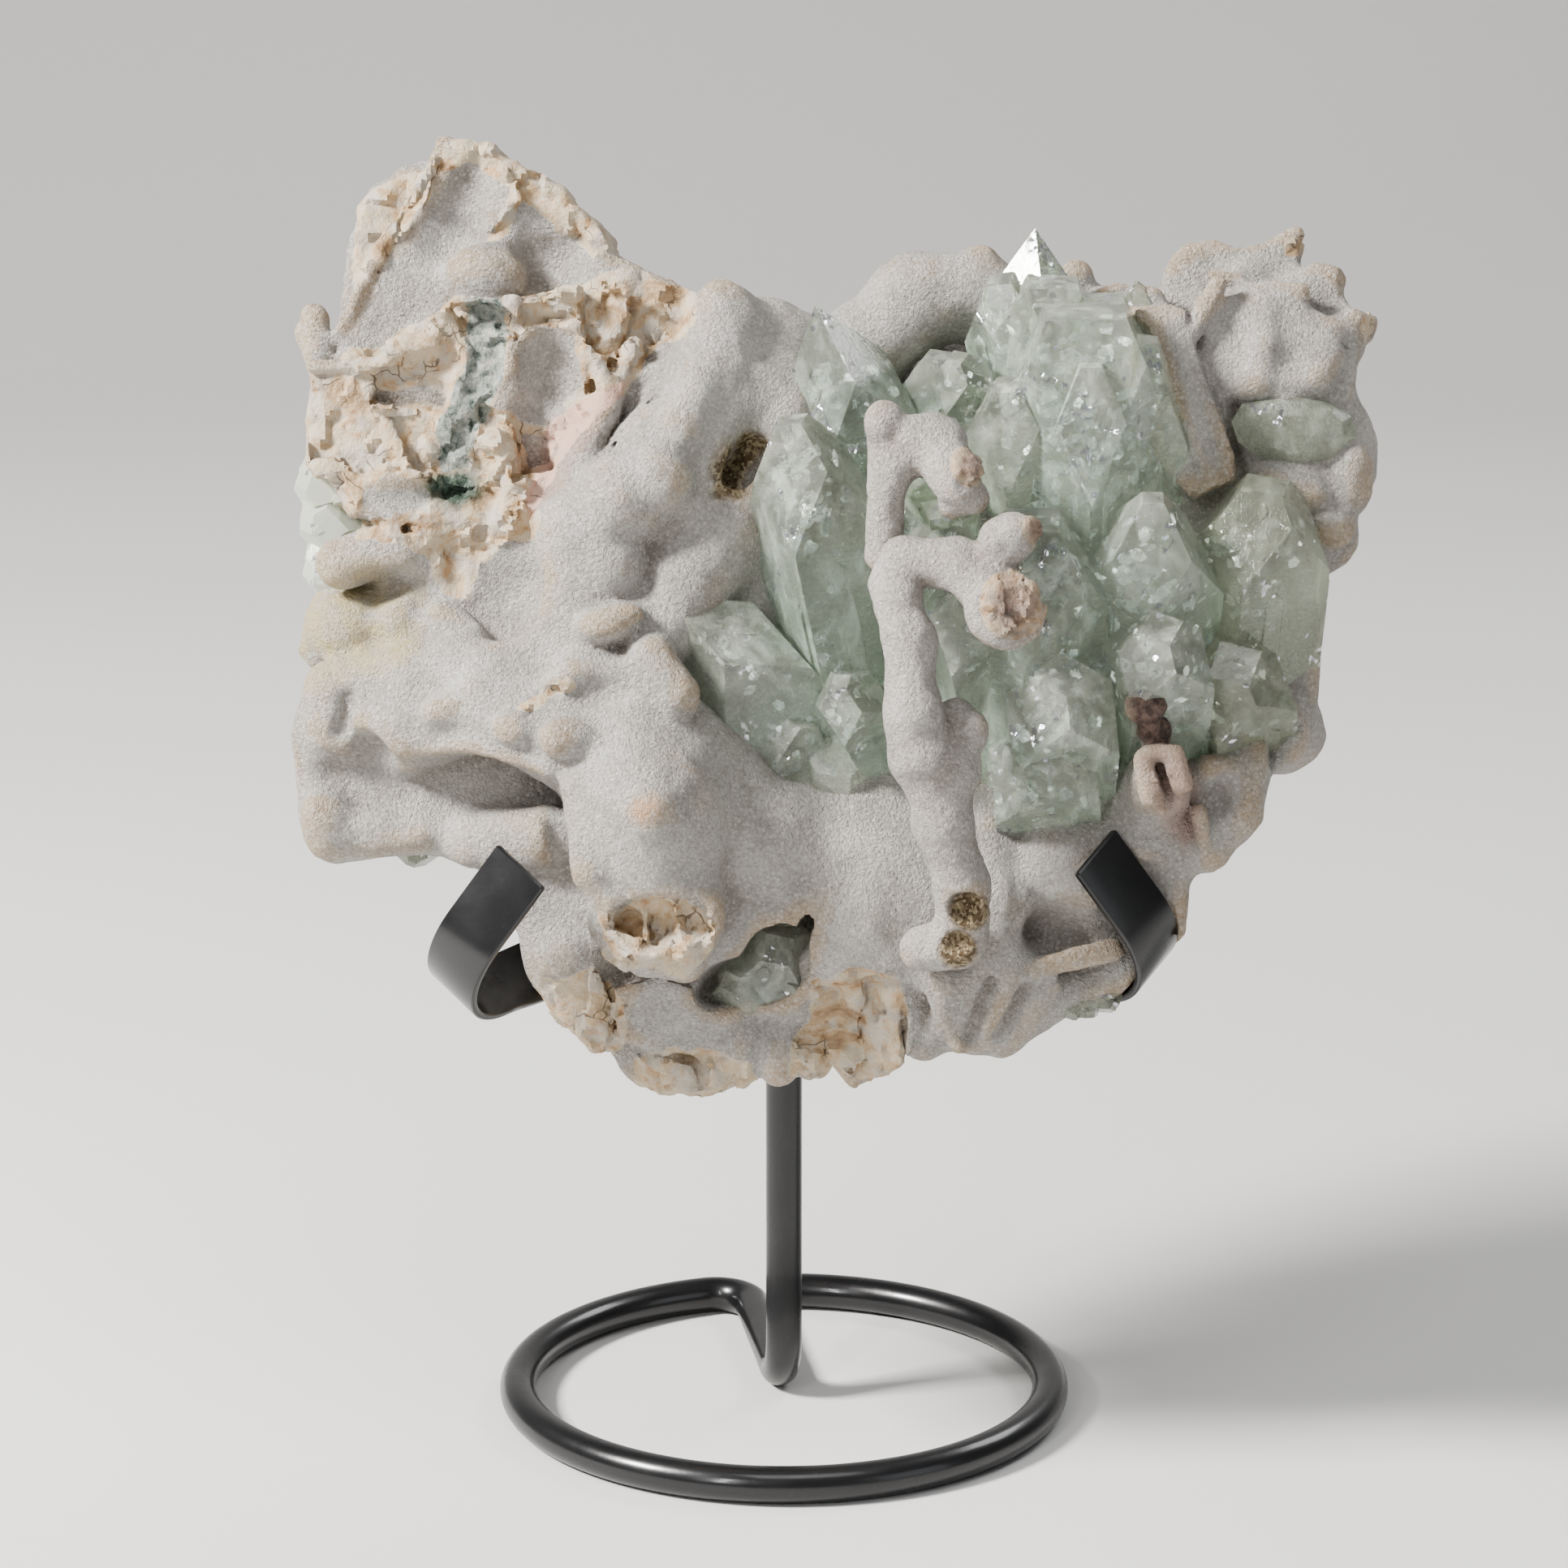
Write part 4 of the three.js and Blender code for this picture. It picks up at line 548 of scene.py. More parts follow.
# Finer forms of the matrix, over the first.
MATRIX_DETAIL = [
    # The peak: its rim, lip, cups and the flat tan break.
    knob([-56.4, 106.2, -6], [-49, 104.4, -5.4], 1.7, 1.8, 1),
    knob([-49, 104.4, -5.4], [-43.4, 101.2, -5], 1.8, 1.7, 1),
    knob([-43.4, 101.2, -5], [-37.2, 97.2, -4.4], 1.7, 1.8, 1),
    knob([-37.2, 97.2, -4.4], [-30.4, 89, -3.4], 1.8, 1.5, 1),
    knob([-58, 103.6, -5], [-65.2, 92.5, -3.4], 0.9, 1, 0.8),
    knob([-65.2, 92.5, -3.4], [-74.6, 73.8, -1], 1, 1.2, 0.8),
    groove([-60, 101.6, -7], [-69.5, 86.6, -6], 0.5, 0.8, 0.3),
    groove([-69.5, 86.6, -5], [-74.9, 73.6, -3], 0.8, 0.9, 0.3),
    hollow([-53, 99, -3.4], [3.6, 5.2, 3.6], -12, 1.2),
    *facet([[-50, 102.4], [-46.8, 102.8], [-43.2, 97.4], [-49.6, 91]], -2.6, [0.5, -0.1]),
    hollow([-41.4, 91.4, 0], [5.2, 4.4, 4], -25, 1),
    lump([-49.6, 84.6, 0], [6.4, 4.6, 4.4], -8, 1.5),
    hollow([-67.5, 77.5, 4], [5, 7, 5], -25, 3),
    knob([-78.3, 77.4, -3], [-77.4, 71, -1], 2.5, 2.7, 0.8),
    # The broken face: a thick crust along its top, then flat breaks, each at its own angle.
    knob([-54.6, 80.4, 6.4], [-45, 80.2, 8], 0.8, 0.9, 0.5),
    knob([-45, 80.2, 8], [-38, 81.6, 8], 0.9, 0.9, 0.5),
    knob([-38, 81.6, 8], [-25.8, 82, 4], 0.9, 0.9, 0.5),
    *facet([[-79.4, 69.6], [-69, 70], [-66, 67.4], [-68.6, 63], [-70, 58], [-70, 50.5], [-74, 53.4], [-78.6, 53.6],
            [-79.4, 60]], 4.6, [0.2, -0.05]),
    *facet([[-66.4, 69.4], [-63.2, 70.8], [-57.8, 70.8], [-56.2, 65], [-54.8, 62.2], [-61.5, 62],
            [-68.6, 63.2]], 4, [0.05, 0.38]),
    *facet([[-58.2, 71], [-54.2, 72], [-53.6, 62.6], [-56, 62.6]], 6.4, [0.6, -0.15]),
    *facet([[-54.4, 79.8], [-50.6, 80], [-42.6, 77], [-45.4, 72], [-46.2, 66.4], [-49.8, 62.4], [-53.6, 61.4],
            [-53.2, 67], [-51.6, 71], [-53.6, 75]], 5.4, [0.12, -0.2]),
    *facet([[-44, 79.8], [-34, 81], [-33.6, 76.8], [-40, 76.6], [-43.4, 76]], 4.8, [0.1, 0.3]),
    *facet([[-33.6, 82], [-26, 82.2], [-25.6, 78.6], [-28, 70.4], [-31.5, 71], [-33.4, 75]], 4.6, [0.35, -0.05]),
    *facet([[-52.2, 60.6], [-47, 61.2], [-44.6, 59.6], [-44.8, 52], [-46.4, 47.6], [-50.4, 49.4],
            [-51.2, 54.6]], 7.6, [0.35, -0.2]),
    *facet([[-65.6, 61.4], [-54, 62], [-52.4, 60.4], [-51.4, 56], [-52, 52.4], [-57, 50.6], [-61.6, 52],
            [-63.4, 56]], 5.6, [0.12, 0.1]),
    *facet([[-70.2, 62.2], [-65.8, 61.6], [-63.6, 56], [-61.8, 51.6], [-70.2, 50.8]], 6.4, [0.35, -0.1]),
    *facet([[-44.6, 60.6], [-38.6, 60], [-38.2, 56], [-37.8, 52.2], [-41, 51], [-44.6, 50]], 2.4, [-0.25, 0.25]),
    *facet([[-38.8, 60], [-32.4, 64.6], [-27.6, 66], [-30.6, 59], [-31.4, 55.4], [-34, 52], [-37.8, 51.2]], 8.6,
           [0.3, -0.3]),
    hollow([-38, 67, 9.5], [4.8, 8.4, 5.4], 8, 0.8),
    hollow([-41.6, 61.6, 8], [4.6, 4, 4.4], 30, 0.8),
    knob([-34.2, 77, 5], [-33, 74, 6], 0.8, 1, 0.5),
    knob([-33, 74, 6], [-33.2, 66.4, 7], 1, 0.8, 0.5),
    knob([-46, 74.6, 6], [-45.6, 69.6, 7], 1, 1.2, 0.8),
    knob([-45.6, 69.6, 7], [-49, 63.4, 6.6], 1.2, 1, 0.8),
    groove([-31.6, 74.4, 6], [-31, 71.6, 6], 1, 0.7, 0.4),
    groove([-25.8, 78.6, 4], [-28, 69.6, 6], 0.7, 1.3, 0.4),
    groove([-28.6, 69, 7], [-31.4, 65.4, 7.4], 1.5, 0.8, 0.5),
    knob([-78.4, 69.4, 4.4], [-68.4, 69.8, 5.4], 1.2, 1.4, 0.6),
    knob([-68.4, 69.8, 5.4], [-62.8, 73, 6.4], 1.4, 1.7, 0.6),
    knob([-62.8, 72.6, 6.4], [-58.4, 73.2, 6.6], 1.7, 1.5, 0.6),
    knob([-58.4, 73.2, 6.6], [-55.6, 78.6, 6], 1.5, 1.3, 0.6),
    groove([-63, 70.7, 8.4], [-58, 71.2, 8.6], 0.35, 0.45, 0.2),
    groove([-58, 71.2, 8.6], [-54.8, 73.6, 8], 0.45, 0.4, 0.2),
    groove([-62.2, 60, 7.4], [-60.6, 55.6, 7.4], 0.7, 0.4, 0.3),
    groove([-53.4, 74.8, 7], [-51.8, 79, 6.8], 0.6, 0.4, 0.3),
    groove([-50.2, 77, 7.2], [-47.4, 74.6, 7.4], 0.35, 0.35, 0.2),
    lump([-53, 53.8, 6.4], [2, 2.1, 1.8], 0, 0.5),
    lump([-56, 58.6, 6], [1.7, 2.6, 1.6], 20, 0.6),
    lump([-59.4, 55, 5.8], [1.6, 2.2, 1.6], 0, 0.6),
    lump([-48.8, 57, 8], [2.4, 2, 1.6], 30, 0.6),
    lump([-63.6, 47.4, 3.6], [5.4, 2.8, 3], -5, 1),
    lump([-45.6, 44.6, 7], [3.4, 3.4, 3.4], 0, 0.8),
    lump([-50.6, 42, 5.4], [4.4, 3, 3.4], 10, 0.8),
    hollow([-55.4, 48.7, 7.4], [4, 1.9, 3], 4, 0.4),
    hollow([-74.4, 61, 6.4], [1.2, 1.3, 1.6], 0, 0.3),
    hollow([-68, 53.8, 7], [3, 1.6, 1.2], 20, 0.5),
    groove([-20.8, 76.6, 3.4], [-23, 72.4, 3.6], 1.6, 1.6, 1.2),
    # Between the broken face and the ridge.
    knob([-24.6, 72.8, 4.4], [-29.8, 62, 8.4], 1.6, 2.2, 1.2),
    knob([-29.8, 62, 8.4], [-36, 49.4, 9.6], 2.2, 2.4, 1.4),
    groove([-20.4, 69, 8], [-22.4, 59.6, 11], 0.9, 1.1, 0.8),
    groove([-22.4, 59.6, 11], [-29.6, 54.4, 12.6], 1.1, 1, 0.8),
    groove([-29.6, 54.4, 12.6], [-33.4, 46.6, 13.6], 1, 0.8, 0.8),
    lump([-20.6, 51, 15.6], [5.4, 6.2, 5.4], 15, 1.6),
    lump([-29, 45.6, 15.4], [4, 6.4, 4], -30, 1.6),
    knob([-10.6, 79.4, 1.4], [-11.6, 72.4, 5], 4.6, 4.6, 2),
    knob([-13, 69, 9], [-17.6, 58.4, 14.6], 3.4, 4, 1.6),
    knob([-6, 68.6, 3], [-8.6, 60.4, 8], 2, 2.4, 1.2),
    lump([-6.2, 52, 2.4], [4.6, 6.6, 3.4], -15, 1),
    lump([-29.6, 36.4, 12.6], [6.4, 8, 6], -18, 1.6),
    groove([-38.4, 39, 12.6], [-38.6, 27.6, 14], 0.8, 0.9, 0.6),
    hollow([-47, 29, 11], [5.6, 4.6, 4], -10, 1.6),
    lump([-28.6, 27.5, 19], [5.6, 2.4, 3], 10, 0.6),
    knob([-56.8, 27.4, 6.6], [-52.6, 23.6, 8.6], 3.4, 3.6, 0.8),
    hollow([-66.2, 33, 8.6], [4.4, 2.2, 4.6], 8, 0.6),
    hollow([-55.6, 34.4, 8.4], [1.4, 2.9, 2.6], 25, 0.4),
    hollow([-50.4, 41.4, 9], [1.3, 1.5, 2.4], 0, 0.4),
    hollow([-62.6, 42.4, 7.6], [1.2, 0.8, 2], 20, 0.3),
    groove([-66, 40.6, 9.2], [-61, 42.4, 8.4], 0.35, 0.35, 0.2),
    groove([-61, 42.4, 8.4], [-56.6, 38.8, 8], 0.35, 0.5, 0.2),
    # The branch: a crest, small bumps, and the lip over its hollow underside.
    knob([-70, 20.6, 4], [-59.6, 21.8, 6], 2.2, 2, 1),
    knob([-59.6, 19, 10], [-56, 20.8, 11], 2.2, 2.6, 1.2),
    knob([-56, 20.8, 11], [-44, 20.6, 12.4], 2.6, 3, 1.2),
    knob([-44, 20.6, 12.4], [-37, 24, 13.6], 3, 3, 1.2),
    lump([-51.4, 15.6, 17.4], [2.4, 1.9, 2], -20, 1.2),
    lump([-62.4, 16.8, 12.2], [2.4, 1.8, 1.8], 15, 1.2),
    lump([-76, 15.4, 5.4], [3.6, 3.6, 3.6], 0, 1.2),
    groove([-72.4, 14.6, 9], [-73.8, 9, 9], 1.2, 1.6, 1.6),
    lump([-56, 12.4, 16.4], [4.4, 2.6, 2.4], 10, 1.6),
    lump([-44.6, 9.4, 20], [4, 3.2, 2.8], 0, 1.6),
    knob([-63, 5.8, 12], [-52, 6.8, 16.4], 1.6, 1.8, 0.8),
    knob([-52, 6.8, 16.4], [-38.6, 2.6, 20], 1.8, 1.8, 0.8),
    hollow([-54, 0.4, 14.6], [11, 4.2, 7], 8, 0.8),
    hollow([-44, -1.6, 18.6], [6.4, 3.8, 8], -22, 0.8),
    lump([-77, -5.8, 3.8], [3.6, 4.6, 4.4], 12, 0.8),
    groove([-73, -1.4, 8], [-70.6, -8, 8], 1.2, 1.4, 0.8),
    groove([-79, 1.6, 4], [-76, -0.6, 6], 1, 1, 1),
    # The large lump, its dark hollow under the crest, and the broken end with its fins.
    knob([-42.2, 13.2, 19.4], [-34.4, 19.2, 19.6], 1.5, 1.7, 0.8),
    hollow([-31, 15.4, 24], [7, 3.2, 4.6], 8, 1.2),
    lump([-37.8, 7.6, 24.4], [2.8, 3, 2.8], 0, 1.6),
    knob([-33.4, 0, 22], [-31.6, -14, 22], 3.6, 3.6, 1.6),
    knob([-31.6, -14, 22], [-28.4, -20.6, 21], 3.6, 2.6, 1.6),
    groove([-38.8, -3, 15], [-33.4, -24, 12], 2, 2, 1),
    hollow([-25.6, -22.8, 25], [3.8, 3.2, 7.4], 18, 0.5),
    hollow([-20.8, -23.2, 26], [0.8, 3.6, 6], 6, 0.3),
    hollow([-15.8, -22, 26.6], [2.6, 2.6, 5.4], -35, 0.5),
    hollow([-18, -26, 25], [1.2, 2, 4], -30, 0.3),
    knob([-23.6, -19, 20], [-22.6, -26.4, 20.6], 0.6, 0.5, 0.3),
    knob([-28, -24.8, 21], [-24, -26.4, 21.4], 1.1, 0.6, 0.4),
    knob([-19, -19.6, 21], [-17.4, -27, 22], 0.5, 0.6, 0.3),
    knob([-12.4, -20.6, 19.6], [-13, -26.4, 20], 1.6, 1.4, 0.8),
    knob([-19.6, -30, 17], [-16.4, -31.4, 16], 1.8, 1.4, 0.8),
    groove([-26.8, -27.6, 18.6], [-25.6, -30, 17.6], 0.5, 0.4, 0.2),
    hollow([-24, -29.8, 18], [0.8, 0.7, 2], 0, 0.2),
    # The bottom: flat slabs, rounded lumps, cream breaks with their cracks and holes.
    *facet([[-40.4, -32.4], [-31, -31.2], [-28.4, -36.4], [-27.4, -43], [-31, -45.4], [-36, -40.6],
            [-39.6, -36.4]], 7.4, [0.2, 0.3]),
    *facet([[-28.4, -33.8], [-20.6, -31.8], [-15.6, -34], [-10.4, -33.4], [-9, -39.6], [-15, -45.6],
            [-21, -44.4], [-27, -43]], 8.6, [-0.12, 0.42]),
    groove([-30.6, -33.6, 9.6], [-27.6, -44, 6], 0.8, 0.8, 0.6),
    *facet([[-25.4, -45], [-15, -46.4], [-13.6, -51.4], [-19, -50.2]], 4.4, [0.1, 0.5]),
    *facet([[-12.4, -46.4], [-9, -44], [-6, -45], [-9.6, -51], [-13, -51]], 4.6, [-0.3, 0.3]),
    groove([-12.8, -49.4, 6], [-10.8, -45.8, 7], 0.7, 0.7, 0.3),
    lump([-7, -42.4, 1.4], [4.4, 6, 5.4], -25, 0.8),
    lump([-0.6, -45.4, 2.6], [4.2, 4.8, 4.4], 0, 0.6),
    lump([3.9, -45.8, 3.4], [3.2, 3.2, 3.4], 0, 0.6),
    hollow([3.5, -46.2, 7], [0.5, 0.5, 2], 0, 0.2),
    lump([6.2, -30, 6], [4.7, 4.6, 4.6], 0, 0.6),
    lump([13.8, -21.6, 7.4], [5.8, 9.4, 6.4], 12, 0.8),
    *facet([[3.6, -36], [9.2, -34], [11.4, -38], [13.2, -44], [12, -50.2], [8.6, -47.6], [7.4, -44.4],
            [4, -42.6]], 6.6, [0.1, 0.15]),
    *facet([[12.8, -33], [19.8, -31], [19.4, -42], [19.8, -47], [14.4, -49.8], [13, -44]], 7.2, [0.25, 0.2]),
    groove([16.8, -35, 8.6], [13, -37.6, 8], 0.4, 0.6, 0.2),
    groove([14.6, -37.4, 8], [12.9, -41.4, 7], 0.6, 0.5, 0.2),
    groove([17, -37, 8.4], [15, -40.4, 7.4], 0.45, 0.4, 0.2),
    hollow([15.9, -43.6, 8], [1.2, 0.9, 2.2], 10, 0.3),
    hollow([16.1, -46.4, 7.4], [0.7, 0.6, 2], 0, 0.2),
    hollow([10.7, -47.6, 6], [0.6, 0.6, 2], 0, 0.2),
    hollow([9.8, -42.6, 7], [0.5, 0.5, 2], 0, 0.2),
    hollow([13.4, -44.4, 7.4], [0.6, 0.5, 2], 0, 0.2),
    hollow([7, -39.6, 7.4], [0.4, 0.9, 2], 15, 0.2),
    *facet([[20.4, -33], [25, -36], [24, -42], [20.2, -46], [20, -40]], 6.8, [-0.5, 0.2]),
    knob([25.4, -36, 8], [29.4, -43.6, 5], 1.6, 1.4, 0.8),
    groove([22.6, -37.6, 9], [23.4, -42.6, 7], 1.2, 1, 0.8),
    lump([-2.6, -38, -2], [9, 4, 3], 0, 1),
    lump([-11.6, -25.6, 7], [3, 3.4, 5], 30, 1),
    lump([-9, -38.6, 3.6], [4, 2.6, 4], 20, 0.8),
    lump([4.6, -25, 5], [3.4, 3, 4], 0, 0.8),
    # The mass under the crystals: a pale fold, a valley and ribs that fan out to the lower edge.
    knob([33.6, -8.4, 7.4], [36.4, -19, 9], 3.4, 3.8, 3),
    knob([36.4, -19, 9], [33, -30, 7.4], 3.8, 3.8, 3),
    groove([38.8, -13, 13], [40, -22, 14], 1.3, 1.6, 1.4),
    hollow([48, -25.4, 13], [6.4, 3.6, 5], 25, 1.6),
    knob([42, -30.6, 9], [54.6, -27.6, 8], 1.8, 2, 1.2),
    groove([40, -33.6, 9], [36, -42, 6], 1.2, 1.4, 1.2),
    groove([34.4, -32.6, 10.4], [31, -42, 6.4], 1, 1.3, 1.2),
    knob([44.6, -33.4, 7.4], [38.4, -41.6, 4], 1.6, 1.4, 1),
    # The right lobe: the stub with its split, folds and the salmon break.
    knob([59.4, 4.2, 23.4], [60.6, -2, 22.6], 1.7, 1.7, 0.5),
    knob([60.6, -2, 22.6], [63, -4.4, 22], 1.7, 0.9, 0.5),
    knob([59.8, 5, 23.4], [64.4, 5.6, 23.4], 1.5, 1.5, 0.5),
    knob([65, 5, 23.4], [66.6, 0, 22.6], 1.9, 1.6, 0.5),
    groove([62.2, 3.4, 26], [64.1, -2.4, 24], 0.9, 0.9, 0.15),
    groove([62.2, 3.4, 24.4], [64.1, -2.4, 22.6], 0.9, 0.9, 0.15),
    groove([62.4, 3, 22.6], [64, -2, 21], 0.8, 0.8, 0.15),
    lump([60.2, 12.8, 23.4], [3.6, 3.2, 2.2], 0, 0.8),
    lump([61.6, 8.6, 19.6], [3.2, 3, 3.2], 0, 0.8),
    knob([60.4, 11.4, 22.6], [61.6, 6.6, 19.6], 1.8, 2, 0.8),
    groove([64.6, -2.8, 21], [66.8, -9, 15.6], 0.9, 0.8, 0.2),
    groove([64.4, -2.2, 18.6], [67, -9, 14], 0.8, 0.7, 0.2),
    groove([61.2, -5.6, 16.6], [64.4, -7.4, 16], 0.4, 0.5, 0.2),
    knob([70.6, 2.6, 9], [77.6, 3.4, 6], 2.4, 2.4, 1.2),
    hollow([72.8, -2.4, 13], [3.6, 5, 5], -20, 1.4),
    knob([77.4, 0.8, 5.4], [72.4, -11, 8], 2.2, 1.6, 1),
    knob([69, -4.6, 11.4], [70.4, -12.4, 8.6], 1.6, 1.4, 1),
    *facet([[80.4, 7.6], [86.6, 10.4], [86, 6.4], [83.6, 3.6], [80.4, 2]], 3.6, [0.2, -0.3]),
    # The petals at the top right, their ribs and hollows, and the little tube between them.
    knob([67.4, 74.6, 5], [72.2, 83, 4], 1.7, 1.6, 0.8),
    knob([71.4, 84.6, -3], [76.4, 84, -2.4], 1, 1.1, 0.6),
    knob([76.4, 84.4, -2.4], [78.4, 81.6, -1], 1.1, 1.2, 0.5),
    knob([77.6, 82.2, -0.6], [86.4, 82.2, 0.6], 1.3, 1.3, 0.4),
    hollow([76.4, 79.6, 2.4], [1.5, 1.6, 3.6], -25, 0.4),
    knob([78.8, 81, 0], [80.2, 72, 4], 1.5, 2.4, 0.8),
    knob([80.2, 72, 4], [78.6, 66.6, 4.4], 2.4, 2.6, 0.8),
    hollow([84.6, 73.4, 6.4], [2.6, 5, 2], -16, 1.6),
    knob([88.6, 68, 3], [94.8, 76.6, -2], 3, 2.4, 1.2),
    groove([89.6, 75.4, 3], [93.4, 72.6, 2], 1, 1, 1),
    knob([76.6, 65.8, 3.6], [88, 67, 3.6], 2.2, 2.2, 0.8),
    groove([74, 63.4, 4], [83, 64.8, 4.4], 0.8, 0.7, 0.5),
    knob([89, 85, -7], [91.8, 83.6, -7], 2, 2, 1),
    knob([82.4, 90, -9], [85.2, 91.4, -9], 1.6, 1.7, 1),
    hollow([79.6, 87, -2.4], [4.4, 2.6, 3], 12, 1.2),
    lump([94, 51, 1], [4.2, 6.6, 4.4], 0, 1.6),
    lump([85, 49.6, 2.6], [7, 3.6, 4], -20, 1.6),
    lump([91, 43, 1], [4, 4, 3], 0, 1.4),
    # The wedge: its flat pink top and straight edge.
    *facet([[58.4, 78.6], [66.6, 79], [69.6, 70], [75.2, 51.8], [70.6, 49], [66, 60], [61.4, 74]], 8, [-0.25, -0.08]),
    *facet([[58, 79.4], [64.2, 80.4], [66.8, 79], [64.6, 76.8], [58.8, 76.8]], 7, [-0.1, -0.7]),
    lump([68.6, 64, -2], [6, 14, 7], 18, 1),
    lump([60.4, 80, -3], [3.4, 3, 4], 0, 0.8),
    # Folds that fill the space between the petals' ribs.
    slab([[70, 80], [76, 82], [86, 81], [93, 77], [91, 68], [84, 65], [74, 65], [70, 70]], -8, 4, [-0.04, -0.14], 2.5, 3),
    # The hollow between the lumps at the bottom runs down to the left and up into a cleft.
    hollow([-9.4, -33.4, 9], [6, 3.8, 7], 28, 0.8),
    hollow([3.4, -24, 8], [2, 5, 6], -24, 0.6),
    groove([5, -20, 8], [6.6, -14, 8], 1.4, 0.7, 0.6),
]

# The two stalactite fingers in front of the crystals.
UPPER_FINGER = [
    knob([17.2, 59.4, 26], [17.2, 50, 28], 3.5, 2.9, 1.5),
    knob([17.2, 50, 28], [16.6, 38, 26], 2.9, 3.2, 1.5),
    knob([18, 53, 28], [24.6, 57, 27], 3.4, 4.3, 2),
    knob([24.6, 57, 27], [29, 50.4, 33], 4.4, 4.1, 1.5),
]

LOWER_FINGER = [
    knob([17.6, 33.6, 28], [20, 37.2, 29], 3.3, 3.6, 2),
    knob([20, 37.2, 29], [29, 36.6, 31], 3.6, 4, 2),
    knob([29, 36.6, 31], [36.4, 30, 34], 4, 4.8, 2),
    lump([37, 29, 35.5], [5.6, 5.6, 3.4], 0, 1.5),
    lump([37.4, 41.2, 34], [5, 4, 3.6], 10, 1.5),
    knob([34, 33, 33], [37, 40, 33], 3, 3, 2),
    knob([17.8, 34, 28], [20.8, 24, 32], 3.4, 4, 2),
    knob([20.8, 24, 32], [21.4, 12, 33], 4, 4.3, 2),
    knob([21.4, 12, 33], [22, 5, 31], 4.3, 4.6, 3),
    knob([28.5, 10.4, 28], [28, 3, 29], 3.6, 4.8, 2.5),
    knob([24, 4, 30], [26.6, -6, 28], 5.4, 4.2, 3),
    knob([26.6, -6, 28], [29.6, -17, 24], 4.2, 4.3, 3),
    knob([29.6, -17, 24], [29.6, -25, 19], 4.4, 4.6, 2),
    knob([28.6, -26.4, 18], [23, -27.4, 16], 4.4, 3.6, 2),
]

# Finer forms of the fingers: the knob above the bend, the broken ends and the two openings low down.
UPPER_DETAIL = [
    lump([16.8, 60, 28.4], [3.5, 3.8, 3.4], 0, 0.8),
    groove([21, 63, 31.4], [20.6, 55.8, 32.6], 1.2, 0.7, 0.4),
    knob([21.4, 57.6, 28], [26.6, 56.6, 28], 3.8, 3.8, 1),
    hollow([30.4, 50, 37.6], [2, 2.2, 1.6], 0, 0.4),
    knob([31.6, 47.6, 32], [28, 46.4, 31], 2.6, 2.2, 1),
]
LOWER_DETAIL = [
    lump([19.4, 31, 30.6], [3.6, 4.2, 3.4], 0, 1),
    hollow([37.4, 29, 39.4], [4, 4, 1.8], 10, 0.5),
    knob([33.6, 33, 36.4], [35, 26.4, 36.6], 1, 1.2, 0.5),
    knob([35, 26.4, 36.6], [39.4, 25, 36.4], 1.2, 1.1, 0.5),
    knob([39.4, 25, 36.4], [41.8, 28.6, 36.4], 1.1, 1, 0.5),
    lump([38.6, 42, 35.6], [3.4, 3, 2.6], 20, 0.6),
    lump([37, 28.6, 35.6], [6.5, 6.1, 3.3], 0, 1),
    lump([35.4, 40.6, 35.4], [2.6, 2.6, 2.2], 0, 0.6),
    lump([23.6, 4.6, 33.4], [4, 3.4, 3], 20, 1.4),
    lump([31, 8.6, 29.6], [3, 3.6, 3], 0, 1),
    hollow([30, -20.6, 27], [2.8, 3.2, 2.6], -8, 0.4),
    hollow([28.2, -27, 24], [3.2, 2.4, 2.6], 20, 0.4),
    groove([29.6, -19, 25.4], [30, -22.6, 25], 0.5, 0.4, 0.15),
    groove([26.6, -27.4, 22.4], [29.4, -26.2, 22.4], 0.5, 0.4, 0.15),
]


SHARP = np.radians(34)


def mesh_piece(name, points, faces, material, smooth=True):
    """A piece of the object from its corners in millimetres and its faces."""
    mesh = bpy.data.meshes.new(name)
    faces = [np.asarray(f) for f in faces] if isinstance(faces, list) else faces
    if isinstance(faces, list):
        mesh.from_pydata((points * MM).tolist(), [], [f.tolist() for f in faces])
    else:
        count, sides = faces.shape
        mesh.vertices.add(len(points))
        mesh.vertices.foreach_set("co", (points * MM).ravel())
        mesh.loops.add(count * sides)
        mesh.loops.foreach_set("vertex_index", faces.ravel())
        mesh.polygons.add(count)
        mesh.polygons.foreach_set("loop_start", np.arange(0, count * sides, sides))
        mesh.update(calc_edges=True)
    if smooth:
        mesh.shade_smooth()
        mesh.set_sharp_from_angle(angle=SHARP)
    mesh.materials.append(material)
    piece = bpy.data.objects.new(name, mesh)
    bpy.context.scene.collection.objects.link(piece)
    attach(piece, "root")
    return piece


def thinned(piece, share):
    """Fewer triangles where the surface is calm."""
    change = piece.modifiers.new("thin", "DECIMATE")
    change.ratio = share
    whole = piece.data
    piece.data = bpy.data.meshes.new_from_object(piece.evaluated_get(bpy.context.evaluated_depsgraph_get()))
    piece.modifiers.clear()
    bpy.data.meshes.remove(whole)
    piece.data.shade_smooth()
    piece.data.set_sharp_from_angle(angle=SHARP)


def paint(piece, name, values):
    """Keeps a number at each corner, which the material reads."""
    layer = piece.data.attributes.new(name, "FLOAT", "POINT")
    layer.data.foreach_set("value", np.clip(values, 0, 1).astype(np.float32))


def inside_outline(points, outline, soft):
    d = outline_distance([tuple(q) for q in outline], points[:, 0], points[:, 1])
    return np.clip(0.5 - d / soft, 0, 1)


def inside_oval(points, centre, radii, turn, soft):
    s, c = np.sin(np.radians(turn)), np.cos(np.radians(turn))
    x, y = points[:, 0] - centre[0], points[:, 1] - centre[1]
    d = (np.hypot((c * x + s * y) / radii[0], (c * y - s * x) / radii[1]) - 1) * min(radii)
    return np.clip(0.5 - d / soft, 0, 1)


